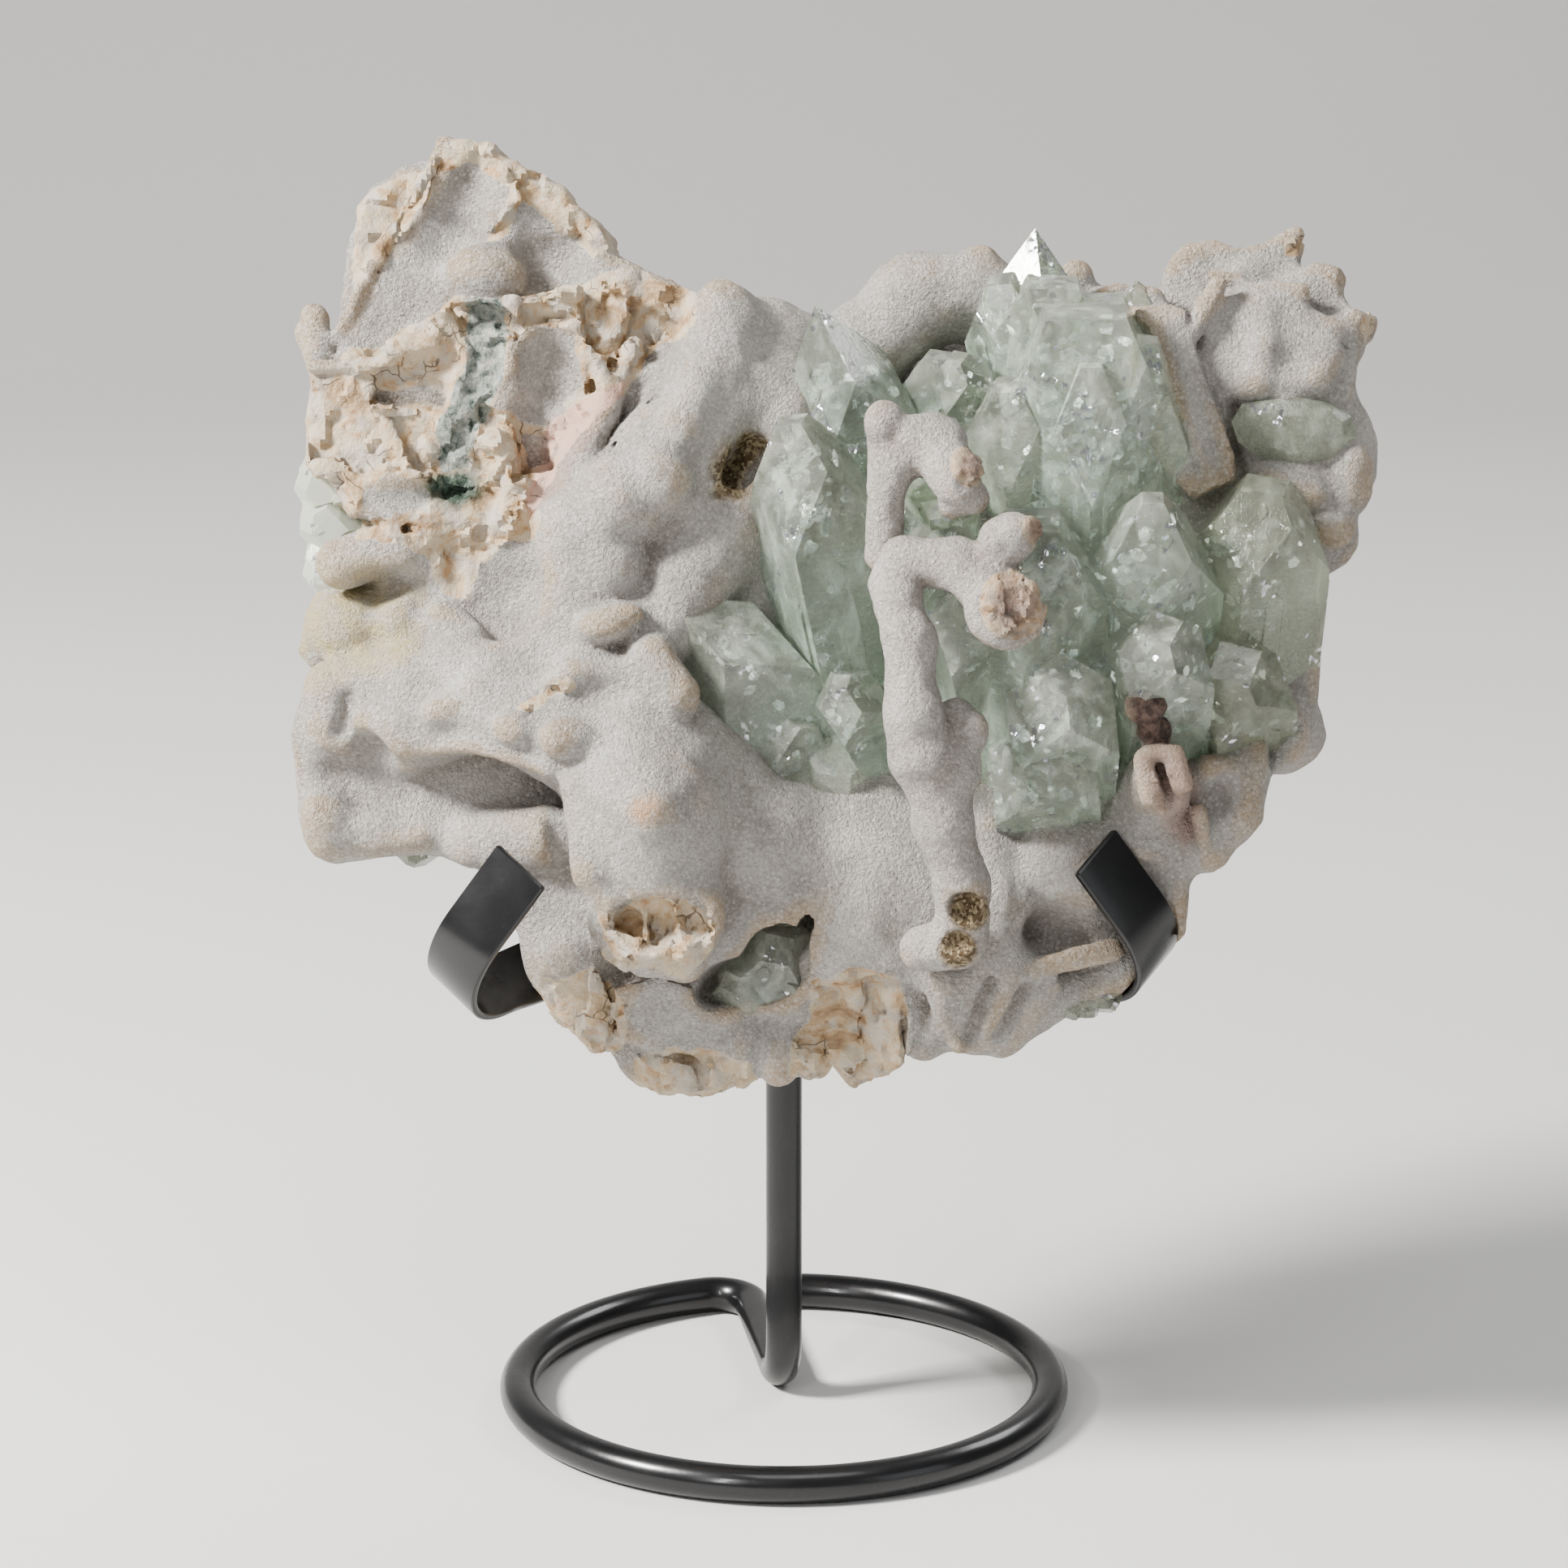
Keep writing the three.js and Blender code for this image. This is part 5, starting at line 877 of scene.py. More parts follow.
def along_line(points, line, width, soft):
    best = np.full(len(points), 1e9)
    for (x0, y0), (x1, y1) in zip(line[:-1], line[1:]):
        ex, ey = x1 - x0, y1 - y0
        t = np.clip(((points[:, 0] - x0) * ex + (points[:, 1] - y0) * ey) / (ex * ex + ey * ey), 0, 1)
        best = np.minimum(best, np.hypot(points[:, 0] - x0 - t * ex, points[:, 1] - y0 - t * ey))
    return np.clip(0.5 - (best - width) / soft, 0, 1)


# Where the rock is freshly broken, and so bare of druse, as outlines in the front view.
BROKEN = [
    # The face below the peak.
    [(-79.5, 54), (-79, 68), (-72, 71), (-66.5, 73.2), (-61, 77), (-55, 80.4), (-44, 81), (-33, 83), (-24, 86),
     (-15, 82), (-14.6, 76), (-21.6, 71.4), (-26, 65.4), (-36, 54.8), (-41.5, 43.7), (-49.4, 36.4), (-56.8, 42),
     (-65.6, 44.4), (-73.7, 45), (-79.5, 46)],
    # Above the branch.
    [(-71, 43.6), (-62, 43.6), (-54, 45), (-40, 44.6), (-41, 39), (-47, 40.4), (-50, 38), (-51.6, 30), (-57, 31),
     (-58, 38), (-63, 39.6), (-70, 40.4)],
    # The back slab left of the peak.
    [(-73, 83), (-72.5, 98), (-69, 100.4), (-62, 104), (-58.4, 104), (-58.6, 99), (-62, 95), (-66.5, 87)],
    # The rim of the peak.
    [(-58.5, 102.6), (-57.6, 107), (-54.4, 109.5), (-48, 108), (-40, 102), (-30, 94), (-26, 88), (-31, 87.6),
     (-38, 93.6), (-46, 99.6), (-54, 104)],
    # The tan facet on the peak.
    [(-50.6, 89.6), (-47.4, 90.6), (-42.6, 97.4), (-44, 99.4), (-47.6, 95.6)],
    # The bottom.
    [(4.2, -32.3), (11.3, -30.2), (19.2, -31), (20.4, -43.7), (17.8, -50), (11.3, -52), (5.6, -48), (1, -50),
     (0.6, -43.4), (4, -39.7)],
    [(-39, -32), (-30.5, -30.2), (-25.6, -37), (-26.3, -43.7), (-30, -46.6), (-37, -41.6), (-41.4, -35)],
    [(-25, -44.6), (-14, -43.6), (-5, -46), (-4.6, -53), (-24, -53)],
    # The hollow end of the large lump.
    [(-31, -21.6), (-27, -20.4), (-23.8, -18.8), (-15.7, -18.4), (-10.9, -21.8), (-11.9, -27.2), (-16.3, -31.6),
     (-22.4, -29.6), (-28.2, -30.2)],
    # The crest of the branch.
    [(-43.6, 11.4), (-41.6, 14.2), (-34, 18.4), (-33.4, 16.6), (-37.6, 14), (-42.4, 10.6)],
    # The tips of the lobes at the top right.
    [(83.2, 90), (86.4, 93.4), (87.6, 92), (86.4, 87.6), (84.4, 88)],
    [(97, 79.8), (99.8, 77.8), (98, 73), (96.4, 74.6)],
]

# Where druse lies over the broken face all the same, and where the coat is yellower.
COATED = [
    [(-45.6, 72), (-43, 75.4), (-34.6, 76), (-33.6, 66), (-38.4, 59.6), (-44.2, 60), (-49, 62.4), (-46, 66.4)],
    [(-67.6, 65.4), (-63, 65), (-57.6, 65.6), (-56, 62.6), (-68.6, 63)],
    [(-70, 49.6), (-61, 50), (-58.4, 46.6), (-63, 44.6), (-70, 45)],
    [(-44.6, 58), (-39, 58), (-38.4, 53.6), (-42, 51.6)],
]
WARM = [(-84, 34), (-70, 36), (-60, 33), (-59, 20), (-70, 18), (-84, 18)]

# The green vein and the dark green patch in the broken face, and the pocket of golden druse.
VEIN = [(-49.6, 79.4), (-48.8, 71), (-50.6, 65.6), (-53.6, 59.6), (-54.8, 54)]
VEIN_WIDTH = 3.2
PATCH = (-54.6, 48.4)
PATCH_RADII = (5.2, 2.4)
POCKET = [(-6.4, 58.4), (-2.6, 57.8), (-3.4, 54.4), (-5.6, 51), (-7.4, 47.2), (-11.6, 46.8), (-11.2, 52), (-8.6, 55.8)]
STAIN = (60.6, 11.4)
STAIN_RADII = (4.6, 6.4)
SALMON = [(57.4, 4.6), (60, 6.4), (66.8, 6), (68.4, -1), (68, -9), (65.6, -10.6), (60.6, -5), (58.4, -1.6)]
PINK_FACET = [(-39.4, 60.6), (-26, 66.6), (-35.9, 48.8), (-41.8, 44)]

ROCK_STEP = 0.8
ROCK_KEPT = 0.62
MASK_SOFT = 1.6
REAR_START = -12
REAR_GROWTHS = ((9.0, 1.5), (3.6, 0.45))


def occupancy(field, axes, points, reach):
    """The share of rock around each corner, from 0 at a sharp tip to 1 deep in a hole."""
    step = axes[0][1] - axes[0][0]
    n = max(1, int(round(reach / step)))
    block_sum = np.pad((field < 0).astype(np.float32), n + 1)
    for axis in range(3):
        run = np.cumsum(block_sum, axis)
        block_sum = np.roll(run, -n, axis) - np.roll(run, n + 1, axis)
    block_sum = block_sum / (2 * n + 1) ** 3
    spot = [np.clip(np.rint((points[:, k] - axes[k][0]) / step).astype(int) + n + 1, 0, block_sum.shape[k] - 1)
            for k in range(3)]
    return block_sum[spot[0], spot[1], spot[2]]


def rock_surface(features, step, broken_of, seed):
    """The surface of rock with its relief: soft grains where it is coated, chips and pits where it is broken."""
    field, axes = field_of(features, step)
    points, quads = surface_of(field, axes)
    points = smoothed(points, quads, 1, 0.5)
    deep = spread(occupancy(field, axes, points, 3.0), quads, 3)
    broad = spread(occupancy(field, axes, points, 7.0), quads, 3)
    broken = spread(broken_of(points), quads, 1)
    for size, tilt, strength in ((6.0, 0.24, 0.7), (2.8, 0.22, 0.25)):
        normal = normals_of(points, quads)
        _, _, centre, number = cells(points + 0.8 * layered(points, 4.0, 2, seed)[:, None], size, seed + 5)
        lean = np.stack([scrambled((number * 1e5).astype(np.int64), n, 7, seed) for n in range(3)], 1) * 2 - 1
        chip = tilt * np.sum((points - centre) * lean, 1) + strength * 0.6 * (number - 0.5)
        points = points + normal * (np.clip(chip, -strength, strength) * broken)[:, None]
    normal = normals_of(points, quads)
    soft = 0.30 * layered(points, 7.0, 2, seed + 30) + 0.14 * layered(points, 2.0, 2, seed + 31)
    near_centre, _, _, number = cells(points, 2.6, seed + 40)
    pits = np.clip(1 - near_centre / 0.9, 0, 1) * (number > 0.94) * 1.0
    rough = 0.10 * layered(points, 2.2, 2, seed + 32) - pits
    relief = soft * (1 - broken) + rough * broken
    # Rounded growths on the back, which the photo doesn't show.
    rear = np.clip((REAR_START - points[:, 2]) / 8, 0, 1) * np.clip((points[:, 1] + 18) / 8, 0, 1)
    for size, height in REAR_GROWTHS:
        near_centre = cells(points + 1.2 * layered(points, 6.0, 2, seed + 50)[:, None], size, seed + 51)[0]
        relief += rear * (1 - broken) * height * np.clip(1 - (near_centre / (0.62 * size)) ** 2, -0.6, 1)
    points = points + normal * relief[:, None]
    return points, quads, deep, broad, broken


def matrix_broken(points):
    ragged = points + np.stack([layered(points, 4.0, 2, 71), layered(points, 4.0, 2, 72), np.zeros(len(points))], 1)
    facing = np.clip((points[:, 2] + 24) / 6, 0, 1)
    bare = np.max([inside_outline(ragged, outline, MASK_SOFT) for outline in BROKEN], 0)
    coated = np.max([inside_outline(ragged, outline, MASK_SOFT) for outline in COATED], 0)
    return facing * bare * (1 - coated)


# A crystal by its tip, the direction it points, half width, roll about its length, length, half width of the
# flat at its tip, how steep its pyramid is, and its tint: how olive, how milky and how green at the foot.
def crystal(name, tip, lean, half, roll, length, flat, steep, tint=(0.0, 0.5, 0.5)):
    axis = turned(lean)
    axis = axis / np.linalg.norm(axis)
    across = np.array([1.0, 0.0, 0.0]) - axis[0] * axis
    across = across / np.linalg.norm(across)
    other = np.cross(axis, across)
    angle = np.radians(roll)
    x = np.cos(angle) * across + np.sin(angle) * other
    y = np.cos(angle) * other - np.sin(angle) * across
    apex = placed(near(tip)) + axis * steep * flat
    return dict(name=name, axis=axis, x=x, y=y, apex=apex, half=half, length=length + steep * flat, flat=flat,
                steep=steep, tint=tint)


def hull(corners):
    """The convex solid round some corners, with flat faces whole."""
    bm = bmesh.new()
    for c in corners:
        bm.verts.new(c)
    made = bmesh.ops.convex_hull(bm, input=bm.verts)
    bmesh.ops.delete(bm, geom=list({*made["geom_interior"], *made["geom_unused"]}), context="VERTS")
    bmesh.ops.dissolve_limit(bm, angle_limit=np.radians(1), verts=bm.verts, edges=bm.edges)
    bmesh.ops.recalc_face_normals(bm, faces=bm.faces)
    bm.verts.index_update()
    points = np.array([v.co for v in bm.verts])
    faces = [[v.index for v in f.verts] for f in bm.faces]
    bm.free()
    return points, faces


def grown(centre, half, depth, foot, flat, steep):
    """Corners of one tetragonal crystal in its parent's own axes: across, across and down from the tip."""
    shoulder = steep * half
    cut = min(steep * flat, 0.9 * shoulder)
    share = cut / shoulder
    spots = [(share * i, share * j, cut) for i, j in ((1, 0), (0, 1), (-1, 0), (0, -1))] if cut > 0 else [(0, 0, 0)]
    spots += [(i, j, shoulder) for i, j in ((1, 0), (0, 1), (-1, 0), (0, -1))]
    for i, j in ((1, 1), (-1, 1), (-1, -1), (1, -1)):
        spots += [(i, j, 2 * shoulder), (i, j, max(foot - depth, 2 * shoulder + 1))]
    return np.array([(centre[0] + half * i, centre[1] + half * j, depth + d) for i, j, d in spots])


def parallel_growth(c, rng):
    """The crystal itself and the smaller ones that stand out of its faces, side by side with it."""
    half, steep = c["half"], c["steep"]
    foot = max(c["length"], 2 * steep * half + 1)
    parts = [grown((0, 0), half, 0, foot, c["flat"], steep)]
    for _ in range(int(4 + 0.6 * half)):
        size = half * rng.uniform(0.16, 0.42)
        out = rng.uniform(0.08, 0.34) + 0.015 * half
        along = rng.uniform(-1, 1) * (half - size)
        side = rng.integers(4)
        far = half + out - size
        centre = ((far, along), (along, far), (-far, along), (along, -far))[side]
        depth = steep * half * rng.uniform(0.9, 1.6) + rng.uniform(0, 0.65) ** 1.3 * foot
        parts.append(grown(centre, size, depth, foot, size * rng.uniform(0.1, 0.5), steep * rng.uniform(0.7, 1)))
    for _ in range(int(2 + 0.45 * half)):
        size = half * rng.uniform(0.1, 0.3)
        centre = rng.uniform(-0.85, 0.85, 2) * (half - size)
        surface = max(steep * (abs(centre[0]) + abs(centre[1])), steep * c["flat"])
        depth = surface - rng.uniform(0.08, 0.3) - 0.012 * half
        parts.append(grown(centre, size, depth, foot, size * rng.uniform(0.3, 0.75), steep))
    return parts


def joined(parts):
    """One closed mesh from many that overlap. Each comes with a whole number that its faces keep."""
    collection = bpy.data.collections.new("parts")
    for points, faces, number in parts:
        mesh = bpy.data.meshes.new("part")
        mesh.from_pydata((points * MM).tolist(), [], faces)
        layer = mesh.attributes.new("number", "INT", "FACE")
        layer.data.foreach_set("value", np.full(len(faces), number, np.int32))
        collection.objects.link(bpy.data.objects.new("part", mesh))
    members = list(collection.objects)
    first = members[0]
    collection.objects.unlink(first)
    bpy.context.scene.collection.objects.link(first)
    union = first.modifiers.new("union", "BOOLEAN")
    union.operation = "UNION"
    union.solver = "MANIFOLD"
    union.operand_type = "COLLECTION"
    union.collection = collection
    made = bpy.data.meshes.new_from_object(first.evaluated_get(bpy.context.evaluated_depsgraph_get()))
    for o in members:
        data = o.data
        bpy.data.objects.remove(o)
        bpy.data.meshes.remove(data)
    bpy.data.collections.remove(collection)
    return made


def corner_values(mesh, name, kind, key, values):
    layer = mesh.attributes.new(name, kind, "CORNER")
    layer.data.foreach_set(key, values.astype(np.float32).ravel())


def crystal_piece(name, members, material, node):
    """One mesh of grown-together crystals, with where each corner lies in its own crystal kept for the material."""
    parts = []
    for number, c in enumerate(members):
        rng = np.random.default_rng(1000 + 37 * number + int(c["half"] * 100))
        flip = np.linalg.det([c["x"], c["y"], -c["axis"]]) < 0
        for part in parallel_growth(c, rng):
            corners, sides = hull(part)
            world = c["apex"] + corners[:, :1] * c["x"] + corners[:, 1:2] * c["y"] - corners[:, 2:] * c["axis"]
            parts.append((world, [f[::-1] if flip else f for f in sides], number))
    mesh = joined(parts)
    mesh.name = name
    number = np.zeros(len(mesh.polygons), np.int32)
    mesh.attributes["number"].data.foreach_get("value", number)
    count = np.zeros(len(mesh.polygons), np.int32)
    mesh.polygons.foreach_get("loop_total", count)
    owner = np.repeat(number, count)
    vertex = np.zeros(len(mesh.loops), np.int32)
    mesh.loops.foreach_get("vertex_index", vertex)
    co = np.zeros(len(mesh.vertices) * 3)
    mesh.vertices.foreach_get("co", co)
    from_tip = co.reshape(-1, 3)[vertex] / MM - np.array([c["apex"] for c in members])[owner]
    place = np.stack([np.sum(from_tip * np.array([c[key] for c in members])[owner], 1) for key in ("x", "y", "axis")], 1)
    place[:, 2] *= -1
    corner_values(mesh, "place", "FLOAT_VECTOR", "vector", place + owner[:, None] * np.array([31.0, 17.0, 0.0]))
    corner_values(mesh, "depth", "FLOAT", "value", place[:, 2] / np.array([c["length"] for c in members])[owner])
    for n, tint in enumerate(("olive", "milky", "green")):
        corner_values(mesh, tint, "FLOAT", "value", np.array([c["tint"][n] for c in members])[owner])
    mesh.attributes.remove(mesh.attributes["number"])
    mesh.materials.clear()
    mesh.materials.append(material)
    mesh.shade_flat()
    piece = bpy.data.objects.new(name, mesh)
    bpy.context.scene.collection.objects.link(piece)
    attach(piece, "root")
    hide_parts(node)
    return piece


MAIN_CRYSTALS = [
    # Left of the fingers.
    crystal("pointed", (5.1, 79.6, 8), (-0.28, 0.86, 0.42), 9.2, 22, 34, 0, 1.3, (0, 0.5, 0.5)),
    crystal("tall", (1.2, 60.6, 17), (-0.2, 0.9, 0.38), 8.9, 30, 46, 3.2, 1.3, (0.05, 0.6, 0.5)),
    crystal("slanting", (-18.6, 30, 14), (-0.62, 0.62, 0.46), 9.6, 20, 42, 1.5, 1.2, (0.1, 0.5, 0.6)),
    crystal("small_blue", (9.4, 17, 20), (-0.3, 0.5, 0.8), 5.2, 30, 24, 2, 1, (0, 0.3, 0.6)),
    crystal("dull", (-12, 46, 9), (-0.35, 0.6, 0.7), 4.6, 10, 20, 2, 1, (0.3, 0.6, 0.2)),
    crystal("dark_low", (8, -1, 10), (-0.1, -0.5, 0.86), 6.5, 40, 20, 4, 1, (0, 0.3, 0.9)),
    crystal("dark_mid", (-2, 8, 11), (-0.3, 0.3, 0.9), 7.4, 10, 20, 5, 1, (0, 0.3, 0.9)),
    # The top of the main group.
    crystal("spire", (41.8, 92.5, 4), (0.02, 0.96, 0.28), 6.2, 10, 34, 0, 1.4, (0.1, 0.5, 0.1)),
    crystal("spire_side", (36, 84, 5), (-0.22, 0.8, 0.5), 6, 35, 26, 3, 1.2, (0.05, 0.6, 0.5)),
    crystal("shelf", (44.8, 82.4, 9), (0.05, 0.92, 0.38), 6.4, 45, 34, 6.6, 1.3, (0.05, 0.5, 0.3)),
    crystal("green_back", (25.4, 71, 2), (-0.1, 0.8, 0.6), 6.4, 20, 24, 3, 1, (0, 0.3, 1)),
    crystal("bluish", (28.8, 71, 11), (-0.2, 0.7, 0.68), 4.6, 15, 24, 2, 1, (0, 0.6, 0.5)),
    # The largest crystal and those that overlap it.
    crystal("largest", (50, 79.4, 15), (-0.02, 0.9, 0.42), 13.6, 45, 56, 9.3, 1.6, (0, 0.5, 0.4)),
    crystal("largest_step", (51, 70, 21), (-0.02, 0.86, 0.5), 8, 45, 30, 2.5, 1.5, (0, 0.5, 0.4)),
    crystal("largest_right", (60, 74, 14), (0.12, 0.88, 0.44), 8, 40, 44, 3, 1.6, (0, 0.4, 0.7)),
    crystal("grey", (37.4, 66.4, 17), (-0.14, 0.74, 0.66), 7.4, 35, 30, 3, 1.2, (0.1, 0.7, 0.1)),
    # The lower half of the main group.
    crystal("bright", (61.4, 47.6, 24), (0.02, 0.8, 0.6), 9, 45, 38, 2.4, 1.2, (0, 0.35, 0.3)),
    crystal("olive", (80, 49.6, 14), (0.05, 0.86, 0.5), 8.6, 30, 44, 5, 1.1, (0.8, 0.3, 0.2)),
    crystal("olive_low", (75, 20, 16), (-0.1, 0.5, 0.86), 7.4, 25, 26, 5, 1, (0.9, 0.3, 0.2)),
    crystal("round_low", (62.6, 26, 27), (0, 0.6, 0.8), 7.2, 20, 30, 4, 1, (0.2, 0.5, 0.4)),
    crystal("block", (41.5, 44, 22), (0, 0.86, 0.5), 11.5, 40, 44, 6, 1.1, (0.15, 0.6, 0.4)),
    crystal("block_left", (31, 33, 20), (-0.2, 0.7, 0.68), 7.5, 15, 34, 4, 1, (0.1, 0.5, 0.6)),
    crystal("low_front", (46, 18.6, 25), (0.02, 0.6, 0.8), 8.8, 10, 30, 5, 1, (0.1, 0.7, 0.4)),
    crystal("low_base", (43, 7, 20), (-0.05, 0.45, 0.9), 8.6, 5, 24, 6, 1, (0.1, 0.6, 0.5)),
    # Deep in the gaps behind the fingers.
    crystal("gap_high", (23, 53, 13), (-0.1, 0.8, 0.6), 6, 30, 26, 2, 1, (0, 0.4, 0.9)),
    crystal("gap_low", (26, 44, 16), (0.05, 0.8, 0.6), 6.4, 10, 26, 2.6, 1, (0, 0.4, 0.6)),
    # Small ones round the foot of the upper finger's knob.
    crystal("bit_high", (27, 44.6, 29), (0.25, -0.3, 0.9), 2.6, 20, 18, 1.2, 0.9, (0.3, 0.5, 0)),
    crystal("bit_side", (31.6, 45, 28), (0.5, -0.2, 0.85), 2, 35, 16, 0.8, 0.9, (0.3, 0.5, 0)),
]

LEFT_EDGE = [
    crystal("plate_top", (-79.8, 51, 1), (-0.75, 0.1, 0.65), 5, 12, 14, 2.6, 0.6, (0.12, 1, 0)),
    crystal("plate_mid", (-79.4, 43.6, 0), (-0.75, -0.1, 0.65), 4.6, 34, 13, 2.4, 0.6, (0.12, 1, 0)),
    crystal("plate_low", (-79, 35.4, -2), (-0.75, -0.15, 0.6), 4.6, 20, 12, 2.2, 0.6, (0.12, 1, 0)),
]
BOTTOM_LEFT = [crystal("splinter", (-62, -13.4, 1), (-0.2, -0.8, 0.5), 3.8, 25, 12, 1, 0.8, (0.3, 0.3, 0.3))]
CAVITY = [
    crystal("deep", (-1, -27.6, 10), (0.1, 0.3, 0.95), 6.8, 35, 20, 3.4, 0.8, (0.1, 0.3, 0.8)),
    crystal("deep_left", (-9, -33, 9), (-0.4, 0.1, 0.9), 5.2, 20, 16, 2, 0.9, (0.1, 0.3, 0.8)),
    crystal("deep_right", (2.6, -34.6, 9), (0.5, -0.2, 0.85), 4, 50, 14, 1, 1, (0.1, 0.3, 0.8)),
    crystal("deep_low", (-4, -35, 6), (-0.2, -0.2, 0.95), 4.6, 15, 16, 2.6, 0.9, (0.1, 0.3, 0.8)),
]
BOTTOM_RIGHT = [
    crystal("quartz_a", (55, -37, 4), (0.5, -0.5, 0.7), 2.8, 10, 10, 1, 1, (0.1, 0.5, 0)),
    crystal("quartz_b", (51, -38.4, 4), (0.2, -0.6, 0.7), 2.6, 40, 10, 1, 1, (0.1, 0.5, 0)),
    crystal("quartz_c", (47.6, -38.6, 4), (-0.1, -0.6, 0.7), 2.4, 25, 10, 1, 1, (0.1, 0.5, 0)),
]
TOP_RIGHT = [crystal("clear", (58.6, 83.6, 0), (-0.1, 0.9, 0.4), 3.6, 35, 12, 0.4, 1, (0.15, 0.3, 0))]

LENS_CENTRE = (85, 59, 3.4)
LENS_TURN = np.radians(-6)
LENS_SWING = -0.12
LENS_OUT = (0.1, 0.05, 1)
LENS_SIZE = (10.8, 6.4, 3.6)
LENS_RINGS = ((1, 0), (0.72, 0.72), (0.3, 1), (0.8, -0.6))


# Where the silvery breaks gather in the crystals: right and up in the front view, spread and number.
GLINTS = ((5.6, 70, 3, 14), (5.4, 47, 3.4, 20), (2, 56, 5, 16), (52, 73.6, 5, 26), (48, 63.6, 5, 32), (58, 58, 6, 22),
          (60, 38, 6, 36), (59, 29, 5, 22), (76, 43, 5, 34), (84, 31, 5, 20), (66, 20, 5, 20), (47, 10, 6, 24),
          (-8, 25, 6, 18), (1, 4, 4, 12), (11, 12, 3, 14), (40, 66, 5, 18), (38, 78, 4, 12), (42, 34, 7, 26),
          (46, 52, 8, 22), (74, 26, 6, 18))
GLINT_FACING = (-0.45, 0.42, 0.78)
FLAKE_HALF = 0.02


def flake(centre, normal, radius, rng):
    """The corners of one flat, many-sided sliver: its front rim, then its back rim."""
    first = np.cross(normal, (0.31, 0.22, 0.93))
    first = first / np.linalg.norm(first)
    second = np.cross(normal, first)
    sides = int(rng.integers(5, 9))
    angles = (np.arange(sides) + rng.uniform(-0.3, 0.3, sides)) * 2 * np.pi / sides
    reach = radius * rng.uniform(0.5, 1, sides)
    rim = centre + first * (reach * np.cos(angles))[:, None] + second * (reach * np.sin(angles))[:, None]
    return np.concatenate([rim + FLAKE_HALF * normal, rim - FLAKE_HALF * normal])


def flakes(members, skin, rng):
    """The flat breaks inside the crystals: some anywhere in each one, more where they gather near its face."""
    tree = BVHTree.FromPolygons([v.co / MM for v in skin.vertices], [tuple(f.vertices) for f in skin.polygons])
    towards = turned((0.0, 0.0, 1.0))
    made = []
    for c in members:
        for _ in range(int(8 + 0.5 * c["half"] ** 2)):
            radius = rng.uniform(0.05, 0.22) * c["half"]
            spot = rng.uniform(-1, 1, 2) * (0.9 * c["half"] - radius)
            depth = c["steep"] * (abs(spot[0]) + abs(spot[1]) + 2 * radius) + rng.uniform(0.5, 0.5 * c["length"])
            normal = c["axis"] * rng.choice([1, 0.4]) + c["x"] * rng.normal(0, 0.4) + c["y"] * rng.normal(0, 0.4)
            centre = c["apex"] + spot[0] * c["x"] + spot[1] * c["y"] - depth * c["axis"]
            made.append(flake(centre, normal / np.linalg.norm(normal), radius, rng))
    for right, up, size, number in GLINTS:
        for _ in range(number):
            spot = placed(near((right + rng.normal(0, 0.5) * size, up + rng.normal(0, 0.5) * size, 60.0)))
            hit = tree.ray_cast(Vector(spot), Vector(-towards))[0]
            if hit is None:
                continue
            normal = unit(turned(GLINT_FACING) + rng.normal(0, 0.16, 3))
            made.append(flake(np.array(hit) - towards * rng.uniform(0.7, 3.2), normal, rng.uniform(0.5, 2.3), rng))
    points, faces = [], []
    start = 0
    for corners in made:
        inside = [tree.ray_cast(Vector(q + 80 * towards), Vector(-towards))[3] for q in corners]
        if any(d is None or d > 80 - 0.15 for d in inside):
            continue
        sides = len(corners) // 2
        top = np.arange(sides) + start
        following = np.roll(top, -1)
        faces += [top, (top + sides)[::-1]]
        faces += [np.array([a, a + sides, b + sides, b]) for a, b in zip(top, following)]
        points.append(corners)
        start += 2 * sides
    return np.concatenate(points), faces


# The stand, in its own axes: origin at the upright's foot, turned by STAND_TURN about the vertical.
ROD_DIAMETER = 6.3
ROD_SIDES = 28
RING_RADIUS = 46.7
RING_STEPS = 110
RING_END_ANGLE = 84.0
SPOKE_ANGLE = 93.0
SPOKE_BEND = 7.0
UPRIGHT_BEND = 9.0
BEND_STEPS = 14
UPRIGHT_TOP = 97.0
STAND_TURN = np.radians(5.3)
END_ROUND = 0.5

STRIP_WIDTH = 11.0
STRIP_THICKNESS = 1.3
STRIP_ROUND = 0.28
CLAW_TIP = (46.8, -45, 111.5)
CLAW_TIP_STRAIGHT = 13.5
CLAW_BEND = 14.0
CLAW_BEND_ANGLE = 112.7
CLAW_DOWN = (0.574, 0.093, -0.814)
CLAW_INWARD = (-0.508, 0.82, -0.264)
CLAW_EDGE = (-0.641, -0.562, -0.52)
CLAW_BACK_LEG = 10.0
CLAW_HUB = (4.7, 0.4, 92)
CLAW_HUB_EDGE = (-0.1, -0.1, -1)
CLAW_LEG_BOW = 3.5
CLAW_STEPS = 26


def on_stand(p):
    c, s = np.cos(STAND_TURN), np.sin(STAND_TURN)
    p = np.asarray(p, float)
    return np.stack([c * p[:, 0] - s * p[:, 1], s * p[:, 0] + c * p[:, 1], p[:, 2]], 1) + STAND


def unit(v):
    v = np.asarray(v, float)
    return v / np.linalg.norm(v, axis=-1, keepdims=True)


def swept(sections):
    """A closed skin over rings of corners, with its two end rings filled."""
    count, sides = len(sections), len(sections[0])
    points = np.concatenate(sections)
    index = np.arange(count * sides).reshape(count, sides)
    faces = []
    for a, b in zip(index[:-1], index[1:]):
        faces += [np.array(q) for q in zip(a, np.roll(a, -1), np.roll(b, -1), b)]
    faces += [index[0][::-1], index[-1]]
    return points, faces


